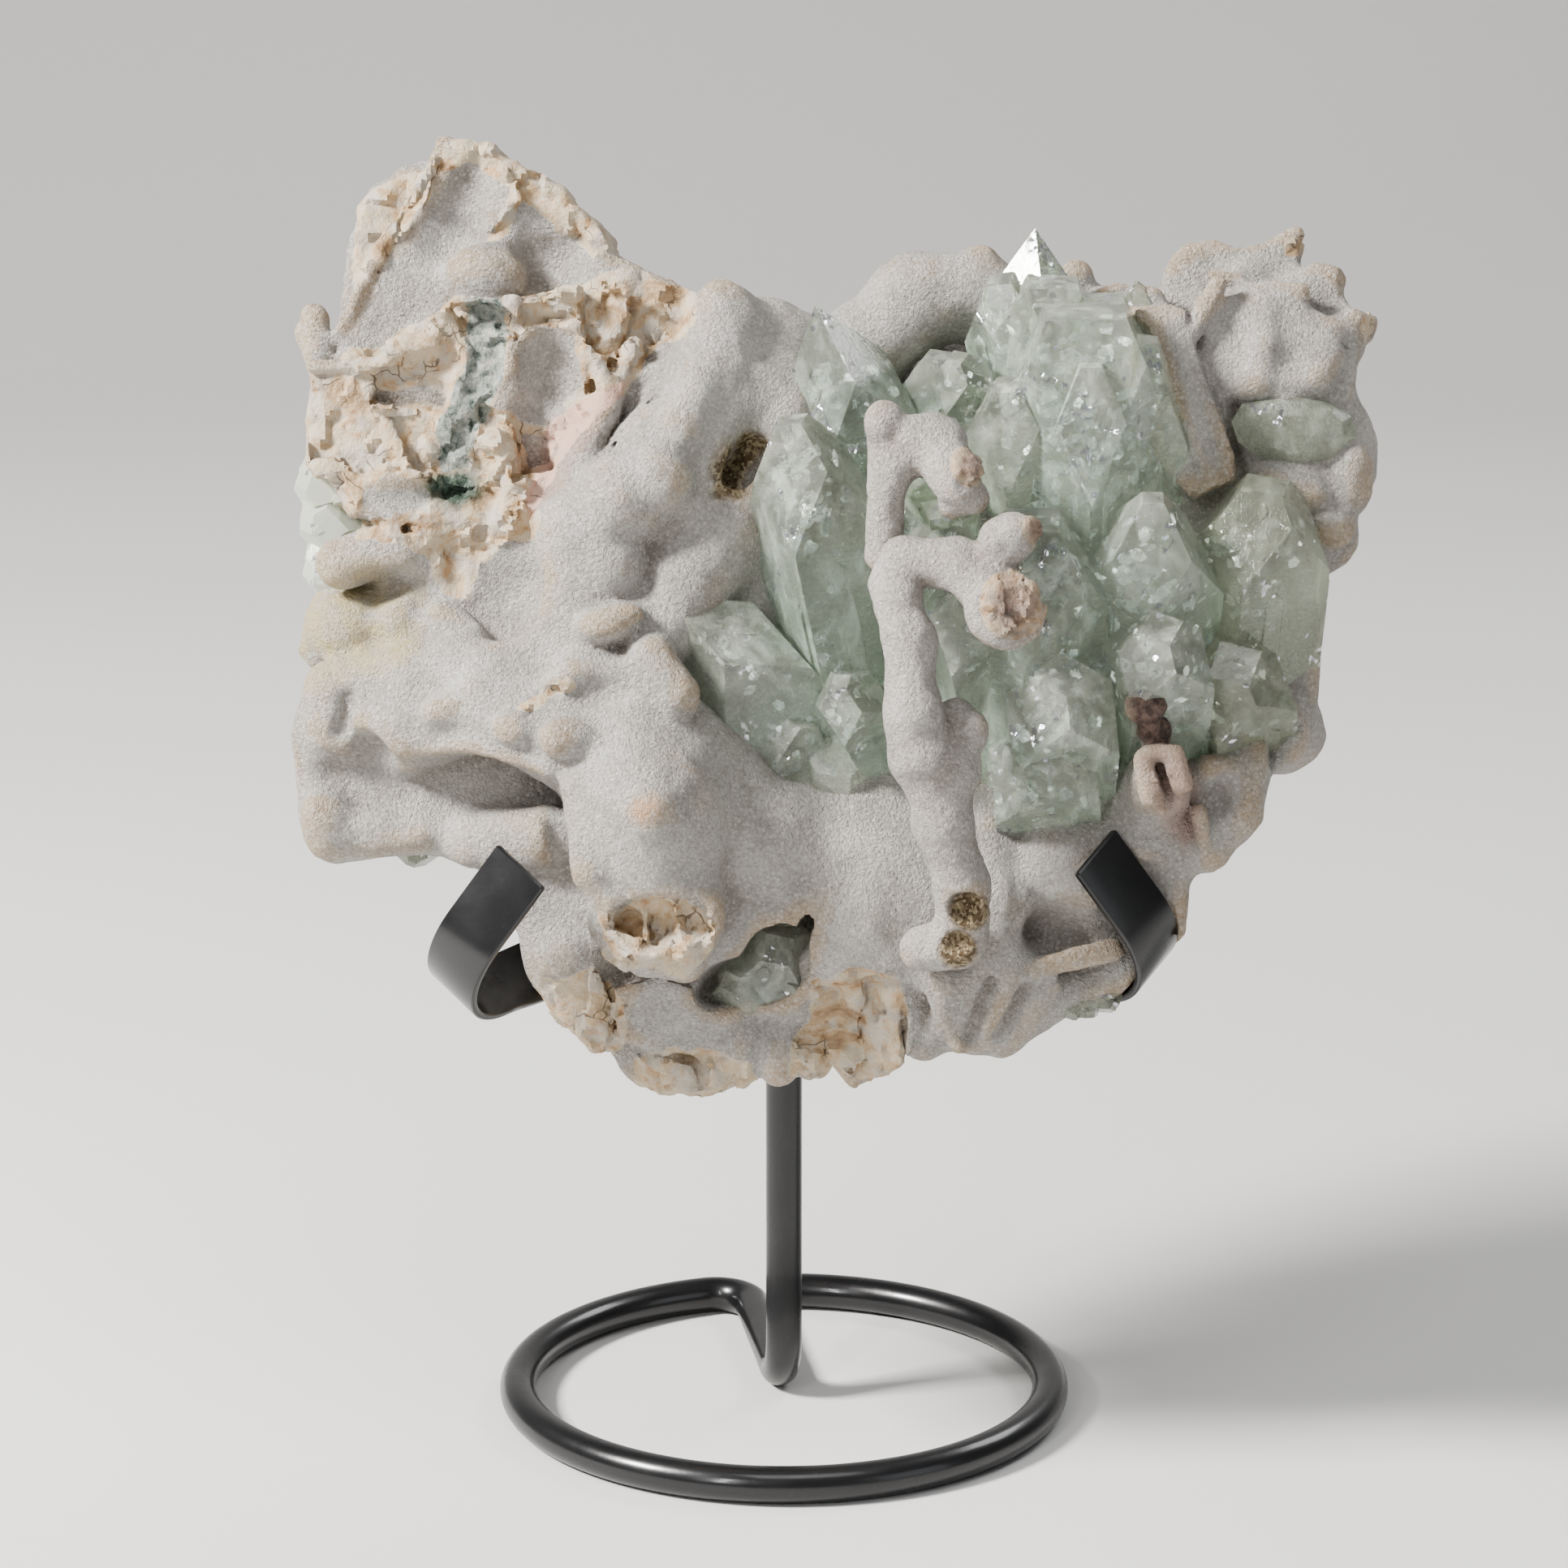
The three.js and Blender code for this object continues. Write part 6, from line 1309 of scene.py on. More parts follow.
def rod_line():
    height = ROD_DIAMETER / 2
    spoke = np.radians(SPOKE_ANGLE)
    bend = np.arcsin(SPOKE_BEND / (RING_RADIUS - SPOKE_BEND))
    start = np.radians(RING_END_ANGLE)
    angles = start - (2 * np.pi - (spoke + bend - start)) * np.linspace(0, 1, RING_STEPS)
    ring = np.stack([RING_RADIUS * np.cos(angles), RING_RADIUS * np.sin(angles), np.full(RING_STEPS, height)], 1)
    middle = (RING_RADIUS - SPOKE_BEND) * np.array([np.cos(spoke + bend), np.sin(spoke + bend)])
    angles = spoke + bend - (np.pi / 2 + bend) * np.linspace(0, 1, BEND_STEPS)[1:]
    corner = np.stack([middle[0] + SPOKE_BEND * np.cos(angles), middle[1] + SPOKE_BEND * np.sin(angles),
                       np.full(len(angles), height)], 1)
    outward = np.array([np.cos(spoke), np.sin(spoke)])
    angles = np.linspace(0, np.pi / 2, BEND_STEPS)
    back = UPRIGHT_BEND * (1 - np.sin(angles))
    foot = np.stack([outward[0] * back, outward[1] * back,
                     height + UPRIGHT_BEND * (1 - np.cos(angles))], 1)
    top = np.array([[0, 0, 0.5 * UPRIGHT_TOP], [0, 0, UPRIGHT_TOP]])
    return np.concatenate([ring, corner, foot, top])


def rod_skin():
    line = rod_line()
    along = unit(np.gradient(line, axis=0))
    side = unit(np.cross(along[0], (0, 0, 1)))
    angles = np.arange(ROD_SIDES) * 2 * np.pi / ROD_SIDES
    sections = []
    for n, (p, t) in enumerate(zip(line, along)):
        side = unit(side - (side @ t) * t)
        up = np.cross(side, t)
        ring = side * np.cos(angles)[:, None] + up * np.sin(angles)[:, None]
        radius = ROD_DIAMETER / 2
        if n == 0:
            sections.append(p + (radius - END_ROUND) * ring)
            p = p + END_ROUND * t
        if n == len(line) - 1:
            sections.append(p - END_ROUND * t + radius * ring)
            radius -= END_ROUND
        sections.append(p + radius * ring)
    return swept(sections)


def strip_section():
    """A flat strip's section with rounded edges, as shares across its edge and its face."""
    corners = []
    for i, j in ((1, 1), (-1, 1), (-1, -1), (1, -1)):
        for n in range(4):
            angle = np.arctan2(j, i) + np.radians(-45 + 30 * n)
            corners.append((i * (STRIP_WIDTH / 2 - STRIP_ROUND) + STRIP_ROUND * np.cos(angle),
                            j * (STRIP_THICKNESS / 2 - STRIP_ROUND) + STRIP_ROUND * np.sin(angle)))
    return np.array(corners)


def claw_line(side):
    """The middle of a claw's strip, from its tip round the bend and in to the upright, and its two directions."""
    mirror = np.array([side, 1, 1])
    down, inward = CLAW_DOWN * mirror, CLAW_INWARD * mirror
    tip = CLAW_TIP * mirror
    start = tip + down * CLAW_TIP_STRAIGHT
    angles = np.radians(CLAW_BEND_ANGLE) * np.linspace(0, 1, CLAW_STEPS)
    bend = start + CLAW_BEND * ((1 - np.cos(angles))[:, None] * inward + np.sin(angles)[:, None] * down)
    leg_end = bend[-1] + CLAW_BACK_LEG * unit(bend[-1] - bend[-2])
    hub = CLAW_HUB * mirror
    bow = (leg_end + hub) / 2 + np.array([0, CLAW_LEG_BOW, 0])
    corners = [bend[-1], leg_end, bow, hub]
    tension = [corners[0], *corners, corners[-1]]
    leg = []
    for a, b, c, d in zip(tension, tension[1:], tension[2:], tension[3:]):
        for t in np.linspace(0, 1, CLAW_STEPS // 2)[1:]:
            leg.append(0.5 * (2 * b + (c - a) * t + (2 * a - 5 * b + 4 * c - d) * t ** 2
                              + (3 * b - a - 3 * c + d) * t ** 3))
    line = np.concatenate([np.linspace(tip, start, 4)[:-1], bend, leg])
    along = unit(np.gradient(line, axis=0))
    share = np.clip((np.arange(len(line)) - CLAW_STEPS - 3) / (len(line) - CLAW_STEPS - 4), 0, 1)
    share = share ** 2 * (3 - 2 * share)
    edges = (1 - share)[:, None] * (CLAW_EDGE * mirror) + share[:, None] * (CLAW_HUB_EDGE * mirror)
    edges = unit(edges - np.sum(edges * along, 1)[:, None] * along)
    return line, along, edges


def claw_skin(side):
    section = strip_section()
    sections = []
    for n, (p, t, edge) in enumerate(zip(*claw_line(side))):
        face = np.cross(t, edge)
        if n == 0:
            small = section * [1 - 2 * STRIP_ROUND / STRIP_WIDTH, 1 - 2 * STRIP_ROUND / STRIP_THICKNESS]
            sections.append(p + small[:, :1] * edge + small[:, 1:] * face)
            p = p + STRIP_ROUND * t
        sections.append(p + section[:, :1] * edge + section[:, 1:] * face)
    points, faces = swept(sections)
    return points, faces


class Look:
    """A material made of nodes, written as short calls."""

    def __init__(self, name):
        self.material = bpy.data.materials.new(name)
        self.material.use_nodes = True
        self.nodes = self.material.node_tree.nodes
        self.links = self.material.node_tree.links
        self.nodes.clear()
        self.output = self.nodes.new("ShaderNodeOutputMaterial")
        self.shader = self.nodes.new("ShaderNodeBsdfPrincipled")
        self.links.new(self.shader.outputs[0], self.output.inputs["Surface"])
        self.coordinates = self.nodes.new("ShaderNodeTexCoord").outputs["Object"]

    def feed(self, socket, value):
        if isinstance(value, bpy.types.NodeSocket):
            self.links.new(value, socket)
        elif value is not None:
            socket.default_value = value

    def node(self, kind, out=0, inputs=(), **settings):
        made = self.nodes.new(kind)
        for key, value in settings.items():
            setattr(made, key, value)
        for key, value in dict(inputs).items():
            self.feed(made.inputs[key], value)
        return made.outputs[out]

    def number(self, name):
        return self.node("ShaderNodeAttribute", "Fac", attribute_name=name)

    def math(self, operation, a, b=None, c=None, clamp=False):
        made = self.nodes.new("ShaderNodeMath")
        made.operation = operation
        made.use_clamp = clamp
        for socket, value in zip(made.inputs, (a, b, c)):
            self.feed(socket, value)
        return made.outputs[0]

    def noise(self, size, detail=3.0, roughness=0.55, distortion=0.0, at=None, out="Fac"):
        """Noise whose features are about the given size in metres."""
        return self.node("ShaderNodeTexNoise", out, {
            "Vector": at or self.coordinates, "Scale": 1 / size, "Detail": detail, "Roughness": roughness,
            "Distortion": distortion})

    def voronoi(self, size, feature="F1", out="Distance", at=None, randomness=1.0, distance="EUCLIDEAN"):
        return self.node("ShaderNodeTexVoronoi", out, {
            "Vector": at or self.coordinates, "Scale": 1 / size, "Randomness": randomness},
            feature=feature, distance=distance)

    def ramp(self, value, *stops):
        made = self.nodes.new("ShaderNodeValToRGB")
        while len(made.color_ramp.elements) < len(stops):
            made.color_ramp.elements.new(0.5)
        for element, (place, colour) in zip(made.color_ramp.elements, stops):
            element.position = place
            element.color = (*colour, 1) if isinstance(colour, tuple) else (colour, colour, colour, 1)
        self.links.new(value, made.inputs[0])
        return made.outputs[0]

    def span(self, value, a, b, low=0.0, high=1.0):
        return self.node("ShaderNodeMapRange", 0, {
            "Value": value, "From Min": a, "From Max": b, "To Min": low, "To Max": high}, clamp=True)

    def mix(self, share, a, b, blend="MIX"):
        made = self.nodes.new("ShaderNodeMix")
        made.data_type = "RGBA"
        made.blend_type = blend
        self.feed(made.inputs[0], share)
        for socket, value in zip(made.inputs[6:8], (a, b)):
            self.feed(socket, (*value, 1) if isinstance(value, tuple) else value)
        return made.outputs[2]

    def bump(self, height, distance, strength=1.0, onto=None):
        return self.node("ShaderNodeBump", 0, {
            "Height": height, "Distance": distance, "Strength": strength, "Normal": onto})

    def facets(self, own, tilt, onto=None):
        """Little flat facets, each tilted its own way by the colour of its cell."""
        lean = self.node("ShaderNodeVectorMath", 0, {0: own, 1: (0.5, 0.5, 0.5)}, operation="SUBTRACT")
        lean = self.node("ShaderNodeVectorMath", 0, {0: lean, "Scale": tilt}, operation="SCALE")
        base = onto or self.node("ShaderNodeNewGeometry", "Normal", {})
        whole = self.node("ShaderNodeVectorMath", 0, {0: base, 1: lean}, operation="ADD")
        return self.node("ShaderNodeVectorMath", 0, {0: whole}, operation="NORMALIZE")

    def finish(self, **values):
        names = {key.lower().replace(" ", "_"): key for key in self.shader.inputs.keys()}
        for key, value in values.items():
            self.feed(self.shader.inputs[names[key]], (*value, 1) if isinstance(value, tuple) and len(value) == 3
                      and "color" in key else value)
        return self.material


def druse_look(name):
    """Sugary grey-white coating that warms on crests, with painted shade in its hollows and between its grains and
    painted glints on some grains, beside bare broken rock, a green vein and golden grains.
    """
    m = Look(name)
    broken = m.number("broken")
    deep = m.number("deep")
    broad = m.number("broad")
    rough = m.noise(0.0022, 4.0, 0.68)
    edge = m.math("ADD", broken, m.math("MULTIPLY", m.math("SUBTRACT", rough, 0.5), 0.9))
    bare = m.span(edge, 0.42, 0.58)
    # The coating, with painted shade in its hollows and between its grains, and painted glints on some grains.
    grain = m.voronoi(0.00056)
    grain_glint_and_tone = grain.node.outputs["Color"]
    mottle = m.noise(0.0014, 4.0, 0.62)
    crest = m.math("ADD", m.span(deep, 0.50, 0.34), m.math("MULTIPLY", m.math("SUBTRACT", m.noise(0.006), 0.5), 0.7))
    coat = m.mix(m.span(m.noise(0.011, 4.0), 0.35, 0.7), (0.40, 0.375, 0.345), (0.57, 0.545, 0.515))
    coat = m.mix(m.span(crest, 0.30, 1.0, 0.0, 0.7), coat, (0.52, 0.39, 0.26))
    # Painted shade: the coat turns dark brown-grey where the corner lies deep in a hollow.
    coat = m.mix(m.span(deep, 0.54, 0.78, 0.0, 0.75), coat, (0.22, 0.18, 0.15))
    # Painted glints: grains picked by their cell's random colour are painted near white. The same cell colour also sets
    # each golden grain's tone.
    coat = m.mix(m.span(grain_glint_and_tone, 0.45, 0.95, 0.0, 0.5), coat, (0.72, 0.70, 0.67))
    # Painted shade between the grains: the coat darkens towards each grain's rim.
    coat = m.mix(m.span(grain, 0.4, 0.85, 0.0, 0.3), coat, (0.16, 0.13, 0.11))
    coat = m.mix(m.math("MULTIPLY", m.number("pink"), 0.6), coat, (0.46, 0.32, 0.27))
    coat = m.mix(m.math("MULTIPLY", m.number("warm"), m.span(m.noise(0.005), 0.3, 0.6)), coat, (0.52, 0.44, 0.28))
    coat = m.mix(m.number("gold"), coat, m.mix(m.span(grain_glint_and_tone, 0.3, 0.8), (0.13, 0.09, 0.05), (0.44, 0.36, 0.24)))
    # The bare rock.
    veins = m.noise(0.007, 5.0, 0.6, 1.2)
    rock = m.ramp(veins, (0.30, (0.25, 0.16, 0.09)), (0.42, (0.45, 0.33, 0.21)), (0.52, (0.50, 0.43, 0.33)),
                  (0.60, (0.47, 0.37, 0.26)), (0.68, (0.42, 0.26, 0.14)), (0.80, (0.50, 0.42, 0.33)))
    rock = m.mix(m.span(m.noise(0.0042, 5.0), 0.5, 0.6, 0.0, 0.7), rock, (0.42, 0.39, 0.35))
    rock = m.mix(m.span(m.number("pink"), 0.2, 0.6, 0.0, 0.85), rock, (0.50, 0.34, 0.28))
    crack = m.voronoi(0.0052, "DISTANCE_TO_EDGE", at=m.node("ShaderNodeVectorMath", 0, {
        0: m.coordinates, 1: m.node("ShaderNodeVectorMath", 0, {
            0: m.noise(0.004, 2.0, out="Color"), 1: (0.003, 0.003, 0.003)}, operation="MULTIPLY")}, operation="ADD"))
    open_crack = m.math("MULTIPLY", m.span(crack, 0.030, 0.010), m.span(m.noise(0.009, 2.0), 0.56, 0.62, 0.0, 0.8))
    rock = m.mix(open_crack, rock, (0.09, 0.062, 0.042))
    green = m.span(m.math("ADD", m.number("vein"), m.math("MULTIPLY", m.math("SUBTRACT", mottle, 0.5), 1.2)),
                   0.45, 0.62)
    rock = m.mix(green, rock, m.ramp(m.noise(0.0016, 4.0, 0.7), (0.34, (0.05, 0.07, 0.06)), (0.44, (0.19, 0.215, 0.19)),
                                    (0.56, (0.30, 0.31, 0.28)), (0.68, (0.42, 0.39, 0.34))))
    rock = m.mix(m.number("patch"), rock, m.ramp(mottle, (0.4, (0.025, 0.042, 0.032)), (0.62, (0.12, 0.15, 0.115))))
    colour = m.mix(bare, coat, rock)
    colour = m.mix(m.math("MULTIPLY", m.number("orange"), m.span(mottle, 0.3, 0.55)), colour,
                   (0.60, 0.36, 0.20))
    colour = m.mix(m.number("brown"), colour, m.ramp(mottle, (0.4, (0.10, 0.07, 0.06)), (0.6, (0.25, 0.175, 0.145))))
    # Relief.
    surface = m.bump(rough, 0.0008, m.span(bare, 0.0, 1.0, 0.45, 0.8))
    surface = m.bump(m.noise(0.0006, 3.0, 0.72), 0.0011, m.span(bare, 0.0, 1.0, 1.0, 0.0), surface)
    return m.finish(base_color=colour, roughness=0.66, normal=surface, specular_ior_level=0.35)


BREAK_SIZE = 0.0008


def crystal_look(name):
    """Clear to milky mint crystal, greener and cloudier towards its foot, with fine lines along its faces."""
    m = Look(name)
    place = m.node("ShaderNodeAttribute", "Vector", attribute_name="place")
    depth, olive, milky, green = (m.number(n) for n in ("depth", "olive", "milky", "green"))
    cloud = m.noise(0.009, 3.0, 0.55, 0.6)
    foot = m.math("ADD", depth, m.math("MULTIPLY", m.math("SUBTRACT", cloud, 0.5), 0.8))
    tint = m.mix(m.span(foot, 0.1, 0.8), (0.945, 0.99, 0.87), (0.82, 0.95, 0.79))
    tint = m.mix(m.math("MULTIPLY", m.span(foot, 0.2, 0.75), green), tint, (0.70, 0.90, 0.77))
    tint = m.mix(m.math("MULTIPLY", olive, 0.7), tint, (0.74, 0.76, 0.58))
    veil = m.noise(0.0035, 4.0, 0.62, 0.5, at=m.node("ShaderNodeVectorMath", 0, {
        0: place, 1: (0.001, 0.001, 0.0004)}, operation="MULTIPLY"))
    white = m.math("MULTIPLY", m.span(veil, 0.44, 0.72), m.span(milky, 0.0, 1.0, 0.2, 1.0))
    white = m.math("MAXIMUM", white, m.span(milky, 0.9, 1.0, 0.0, 0.8))
    tint = m.mix(m.math("MULTIPLY", white, 0.4), tint, (0.92, 0.965, 0.91))
    clear = m.math("SUBTRACT", 0.88, m.math("MULTIPLY", white, 0.36))
    clear = m.math("SUBTRACT", clear, m.math("MULTIPLY", m.span(foot, 0.2, 1.0), 0.08), clamp=True)
    lines = m.node("ShaderNodeTexNoise", "Fac", {
        "Vector": m.node("ShaderNodeVectorMath", 0, {0: place, 1: (2.2, 2.2, 0.12)}, operation="MULTIPLY"),
        "Scale": 1.0, "Detail": 2.0, "Roughness": 0.6})
    # Silvery breaks that reach the surface: in patches, and a few anywhere.
    chance = m.voronoi(BREAK_SIZE, out="Color")
    gather = m.noise(0.008, 3.0)
    silver = m.math("MULTIPLY", m.span(gather, 0.59, 0.62), m.span(chance, 0.54, 0.56))
    silver = m.math("MAXIMUM", silver, m.span(chance, 0.90, 0.91))
    sparkling = m.span(gather, 0.50, 0.60, 0.0, 0.12)
    surface = m.facets(chance, m.math("ADD", sparkling, m.math("MULTIPLY", silver, 0.5)))
    surface = m.bump(lines, 0.0001, 0.5, surface)
    m.shader.inputs["IOR"].default_value = 1.535
    absorb = m.nodes.new("ShaderNodeVolumeAbsorption")
    absorb.inputs["Color"].default_value = (0.72, 0.93, 0.82, 1)
    absorb.inputs["Density"].default_value = 4.0
    m.links.new(absorb.outputs[0], m.output.inputs["Volume"])
    tint = m.mix(silver, tint, (0.92, 0.94, 0.99))
    return m.finish(base_color=tint, transmission_weight=clear, normal=surface,
                    metallic=m.math("MULTIPLY", silver, 0.5),
                    roughness=m.span(veil, 0.4, 0.7, 0.02, 0.13))


def flake_look():
    """Silvery breaks inside the crystals, ragged at their rims."""
    m = Look("inner_breaks")
    tone = m.mix(m.noise(0.0012, 3.0), (0.80, 0.84, 0.95), (0.97, 0.99, 0.96))
    return m.finish(base_color=tone, metallic=0.75, roughness=m.span(m.noise(0.0008, 3.0), 0.35, 0.7, 0.05, 0.3),
                    alpha=m.span(m.noise(0.0012, 3.0, 0.6), 0.38, 0.46, 0.0, 1.0))


def enamel_look():
    """Black enamel, satin, with a faint unevenness and a little dust."""
    m = Look("black_enamel")
    dust = m.span(m.noise(0.0009, 4.0, 0.7), 0.60, 0.74)
    colour = m.mix(m.math("MULTIPLY", dust, 0.35), (0.010, 0.010, 0.011), (0.05, 0.05, 0.052))
    return m.finish(base_color=colour, roughness=m.span(m.noise(0.012, 4.0), 0.3, 0.7, 0.24, 0.36),
                    coat_weight=0.35, coat_roughness=0.12, specular_ior_level=0.6,
                    normal=m.bump(m.noise(0.0011, 2.0), 0.00003, 0.5))


def floor_look():
    m = Look("pale_floor")
    tone = m.mix(m.noise(0.3, 2.0), (0.70, 0.695, 0.68), (0.74, 0.735, 0.725))
    return m.finish(base_color=tone, roughness=0.62, specular_ior_level=0.2)


druse = druse_look("druse")
glassy = crystal_look("apophyllite")
enamel = enamel_look()

# The matrix, which stays clear of the claws' strips.
CLAW_ROOM = 1.15
CLAW_LANES = 7
LANE_STRIDE = 3
claw_rooms = []
for side in (-1, 1):
    line, _, edges = claw_line(side)
    for offset in np.linspace(-0.5, 0.5, CLAW_LANES) * (STRIP_WIDTH - STRIP_THICKNESS):
        lane = seen(on_stand(line + offset * edges))[::LANE_STRIDE]
        claw_rooms += [groove(a, b, CLAW_ROOM, CLAW_ROOM, 0.3) for a, b in zip(lane[:-1], lane[1:])]
# A growth that covers the foot of the outermost crystal at the right.
FOOT_COVER = (77.8, -10.6, 124.6)
foot_cover = lump(tuple(seen([FOOT_COVER])[0]), (4.6, 5.4, 5.0), 0, 3.5)
rock_features = MATRIX + MATRIX_DETAIL + [foot_cover] + claw_rooms
points, quads, deep, broad, broken = rock_surface(rock_features, ROCK_STEP, matrix_broken, 3)
matrix = mesh_piece("matrix_rock", placed(points), quads, druse)
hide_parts("matrix")
front = np.clip((points[:, 2] + 12) / 6, 0, 1)
ragged = points + np.stack([layered(points, 3.0, 3, 81), layered(points, 3.0, 3, 82), np.zeros(len(points))], 1)
paint(matrix, "deep", deep)
paint(matrix, "broad", broad)
paint(matrix, "broken", broken)
salmon = inside_outline(points, SALMON, 2.0) * (points[:, 2] > 8)
paint(matrix, "pink", front * np.maximum(inside_outline(ragged, PINK_FACET, 1.6), salmon))
paint(matrix, "vein", front * along_line(ragged, VEIN, VEIN_WIDTH, 2.5))
paint(matrix, "patch", front * inside_oval(ragged, PATCH, PATCH_RADII, 0, 1.5))
paint(matrix, "gold", front * inside_outline(ragged, POCKET, 1.4))
paint(matrix, "orange", 0.8 * front * inside_oval(points, (-22.3, -4.2), (2.4, 2.2), 0, 2.0))
paint(matrix, "warm", front * inside_outline(ragged, WARM, 6.0))
paint(matrix, "brown", inside_oval(points, STAIN, STAIN_RADII, 12, 1.5) * (points[:, 1] > 6.4) * (points[:, 2] > 14))

thinned(matrix, ROCK_KEPT)

# The fingers in front of the crystals.
FINGER_STEP = 0.5
FINGER_ENDS = {"finger_upper": [(29.8, 50.8, 3.3)], "finger_lower": [(40.6, 40.5, 2.6), (36.7, 28.6, 5.6)]}
FINGER_HOLES = {"finger_upper": [], "finger_lower": [(30, -20.6, 3.3), (28.2, -26.8, 3.2)]}
for name, features, seed in (("finger_upper", UPPER_FINGER + UPPER_DETAIL, 11),
                             ("finger_lower", LOWER_FINGER + LOWER_DETAIL, 23)):
    ends = FINGER_ENDS[name]

    def end_broken(p, ends=ends):
        return np.max([inside_oval(p, (u, v), (r, r), 0, 1.2) for u, v, r in ends], 0) * (p[:, 2] > 30)

    points, quads, deep, broad, broken = rock_surface(features, FINGER_STEP, end_broken, seed)
    finger = mesh_piece(name + "_rock", placed(points), quads, druse)
    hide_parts(name)
    blank = np.zeros(len(points))
    holes = [inside_oval(points, (u, v), (r, r), 0, 1.0) * (points[:, 2] > 18) for u, v, r in FINGER_HOLES[name]]
    inner = np.max([inside_oval(points, (u, v), (0.62 * r, 0.62 * r), 0, 1.0) for u, v, r in ends], 0) * (points[:, 2] > 30)
    # The fingers' deep value is raised a little: less tan on their crests, and more painted shade in their hollows.
    for key, values in (("deep", deep + 0.11), ("broad", broad), ("broken", broken), ("pink", 0.12 + blank), ("vein", blank),
                        ("patch", blank), ("gold", np.max(holes, 0) if holes else blank), ("orange", 0.15 * broken),
                        ("warm", blank), ("brown", 0.35 * broken + 0.45 * inner)):
        paint(finger, key, values)

# The crystals.
for name, members in (("crystals_main", MAIN_CRYSTALS), ("crystals_left_edge", LEFT_EDGE),
                      ("crystal_bottom_left", BOTTOM_LEFT), ("crystal_cavity", CAVITY),
                      ("crystals_bottom_right", BOTTOM_RIGHT), ("crystal_top_right", TOP_RIGHT)):
    crystal_piece(name + "_grown", members, glassy, name)
skin = bpy.data.objects["crystals_main_grown"].data
points, faces = flakes(MAIN_CRYSTALS, skin, np.random.default_rng(5))
mesh_piece("inner_breaks", points, faces, flake_look(), smooth=False)

# The lens-shaped crystal.
along = unit(turned((np.cos(LENS_TURN), np.sin(LENS_TURN), LENS_SWING)))
out = turned(LENS_OUT)
out = unit(out - (out @ along) * along)
across = np.cross(out, along)
lens_points = []
for ring, height in LENS_RINGS:
    angles = (np.arange(12) + height) * 2 * np.pi / 12
    lens_points.append(placed(near(LENS_CENTRE)) + LENS_SIZE[0] * ring * np.cos(angles)[:, None] * along
                       + LENS_SIZE[1] * ring * np.sin(angles)[:, None] * across + height * LENS_SIZE[2] * out)
points, faces = hull(np.concatenate(lens_points))
lens = mesh_piece("crystal_lens_grown", points, [np.array(f) for f in faces], glassy, smooth=False)
layer = lens.data.attributes.new("place", "FLOAT_VECTOR", "POINT")
layer.data.foreach_set("vector", points.astype(np.float32).ravel())
for key, value in (("depth", 0.4), ("olive", 0.5), ("milky", 0.5), ("green", 0.3)):
    paint(lens, key, np.full(len(points), value))
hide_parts("crystal_lens")

# The stand.
for name, (points, faces) in (("stand_rod", rod_skin()), ("claw_left", claw_skin(-1)), ("claw_right", claw_skin(1))):
    piece = mesh_piece(name + "_bent", on_stand(points), faces, enamel)
    bm = bmesh.new()
    bm.from_mesh(piece.data)
    bmesh.ops.recalc_face_normals(bm, faces=bm.faces)
    bm.to_mesh(piece.data)
    bm.free()
    piece.data.shade_smooth()
    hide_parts(name)

# A pale floor that curves up behind, soft light from a studio's boxes, and the camera.
FLOOR_WIDTH = 4.0
FLOOR_FRONT = -2.0
FLOOR_BACK = 0.9
WALL_HEIGHT = 2.2
WALL_BEND = 0.8
profile = [(FLOOR_FRONT, 0.0)]
for angle in np.linspace(0, np.pi / 2, 24):
    profile.append((FLOOR_BACK + WALL_BEND * np.sin(angle), WALL_BEND * (1 - np.cos(angle))))
profile.append((FLOOR_BACK + WALL_BEND, WALL_HEIGHT))
verts = [(x, y, z) for y, z in profile for x in (-FLOOR_WIDTH / 2, FLOOR_WIDTH / 2)]
faces = [(2 * n, 2 * n + 1, 2 * n + 3, 2 * n + 2) for n in range(len(profile) - 1)]
mesh = bpy.data.meshes.new("floor")
mesh.from_pydata(verts, [], faces)
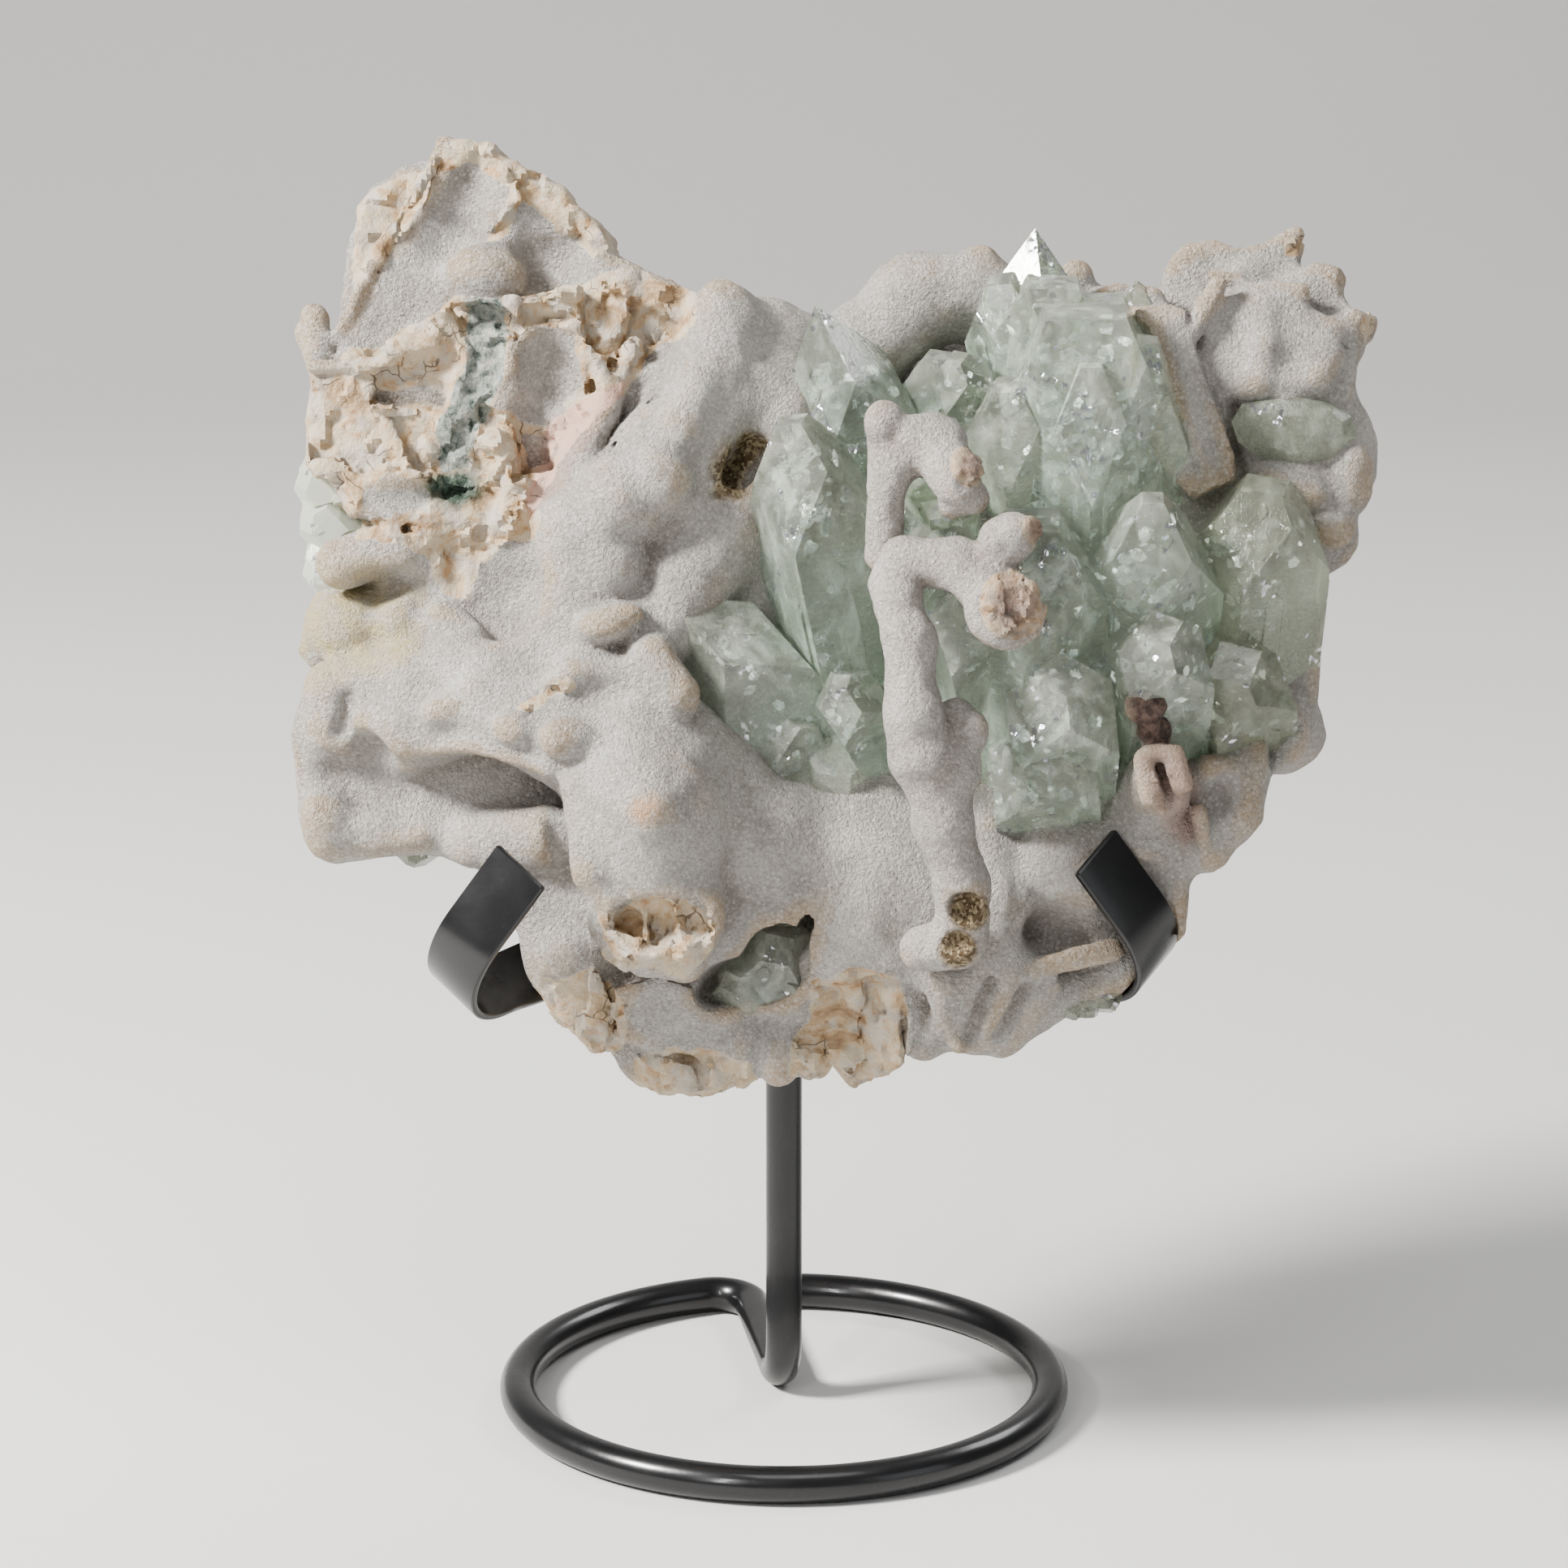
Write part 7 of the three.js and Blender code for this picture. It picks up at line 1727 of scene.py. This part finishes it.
mesh.shade_smooth()
mesh.materials.append(floor_look())
floor = bpy.data.objects.new("floor", mesh)
bpy.context.scene.collection.objects.link(floor)


def area_light(name, place, aim, size, power, colour):
    light = bpy.data.lights.new(name, "AREA")
    light.shape = "RECTANGLE"
    light.size, light.size_y = size
    light.energy = power
    light.color = colour
    lamp = bpy.data.objects.new(name, light)
    lamp.location = place
    lamp.rotation_euler = (Vector(aim) - Vector(place)).to_track_quat("-Z", "Y").to_euler()
    bpy.context.scene.collection.objects.link(lamp)


centre = (0.0, -0.01, 0.14)
area_light("key_box", (-0.92, -0.34, 0.92), centre, (0.26, 0.26), 36.0, (1.0, 0.98, 0.95))
area_light("fill_box", (1.0, -0.8, 0.45), centre, (0.7, 0.7), 1.6, (0.95, 0.97, 1.0))
area_light("rim_box", (0.65, 0.5, 0.8), centre, (0.5, 0.3), 3.4, (1.0, 1.0, 1.0))
area_light("top_box", (0.1, -0.45, 1.25), centre, (0.7, 0.5), 3.2, (1.0, 1.0, 1.0))
area_light("strip_box", (-0.45, -0.95, 0.6), centre, (0.06, 0.5), 2.8, (1.0, 1.0, 1.0))

world = bpy.data.worlds.new("studio")
world.use_nodes = True
sky = world.node_tree.nodes["Background"]
sky.inputs["Color"].default_value = (0.9, 0.92, 0.95, 1)
sky.inputs["Strength"].default_value = 0.14
bpy.context.scene.world = world

SENSOR = 36.0
FRAME_PIXELS = 1932
PIXEL_SIZE = 0.135
camera_data = bpy.data.cameras.new("camera")
camera_data.sensor_width = SENSOR
camera_data.lens = SENSOR * VIEW_DISTANCE / (FRAME_PIXELS * PIXEL_SIZE)
camera = bpy.data.objects.new("camera", camera_data)
camera.location = Vector((placed((0, 0, VIEW_DISTANCE)) * MM).tolist())
camera.rotation_euler = (np.pi / 2 - VIEW_PITCH, 0, 0)
bpy.context.scene.collection.objects.link(camera)
bpy.context.scene.camera = camera
bpy.context.scene.view_settings.view_transform = "AgX"
bpy.context.scene.view_settings.look = "AgX - Medium High Contrast"
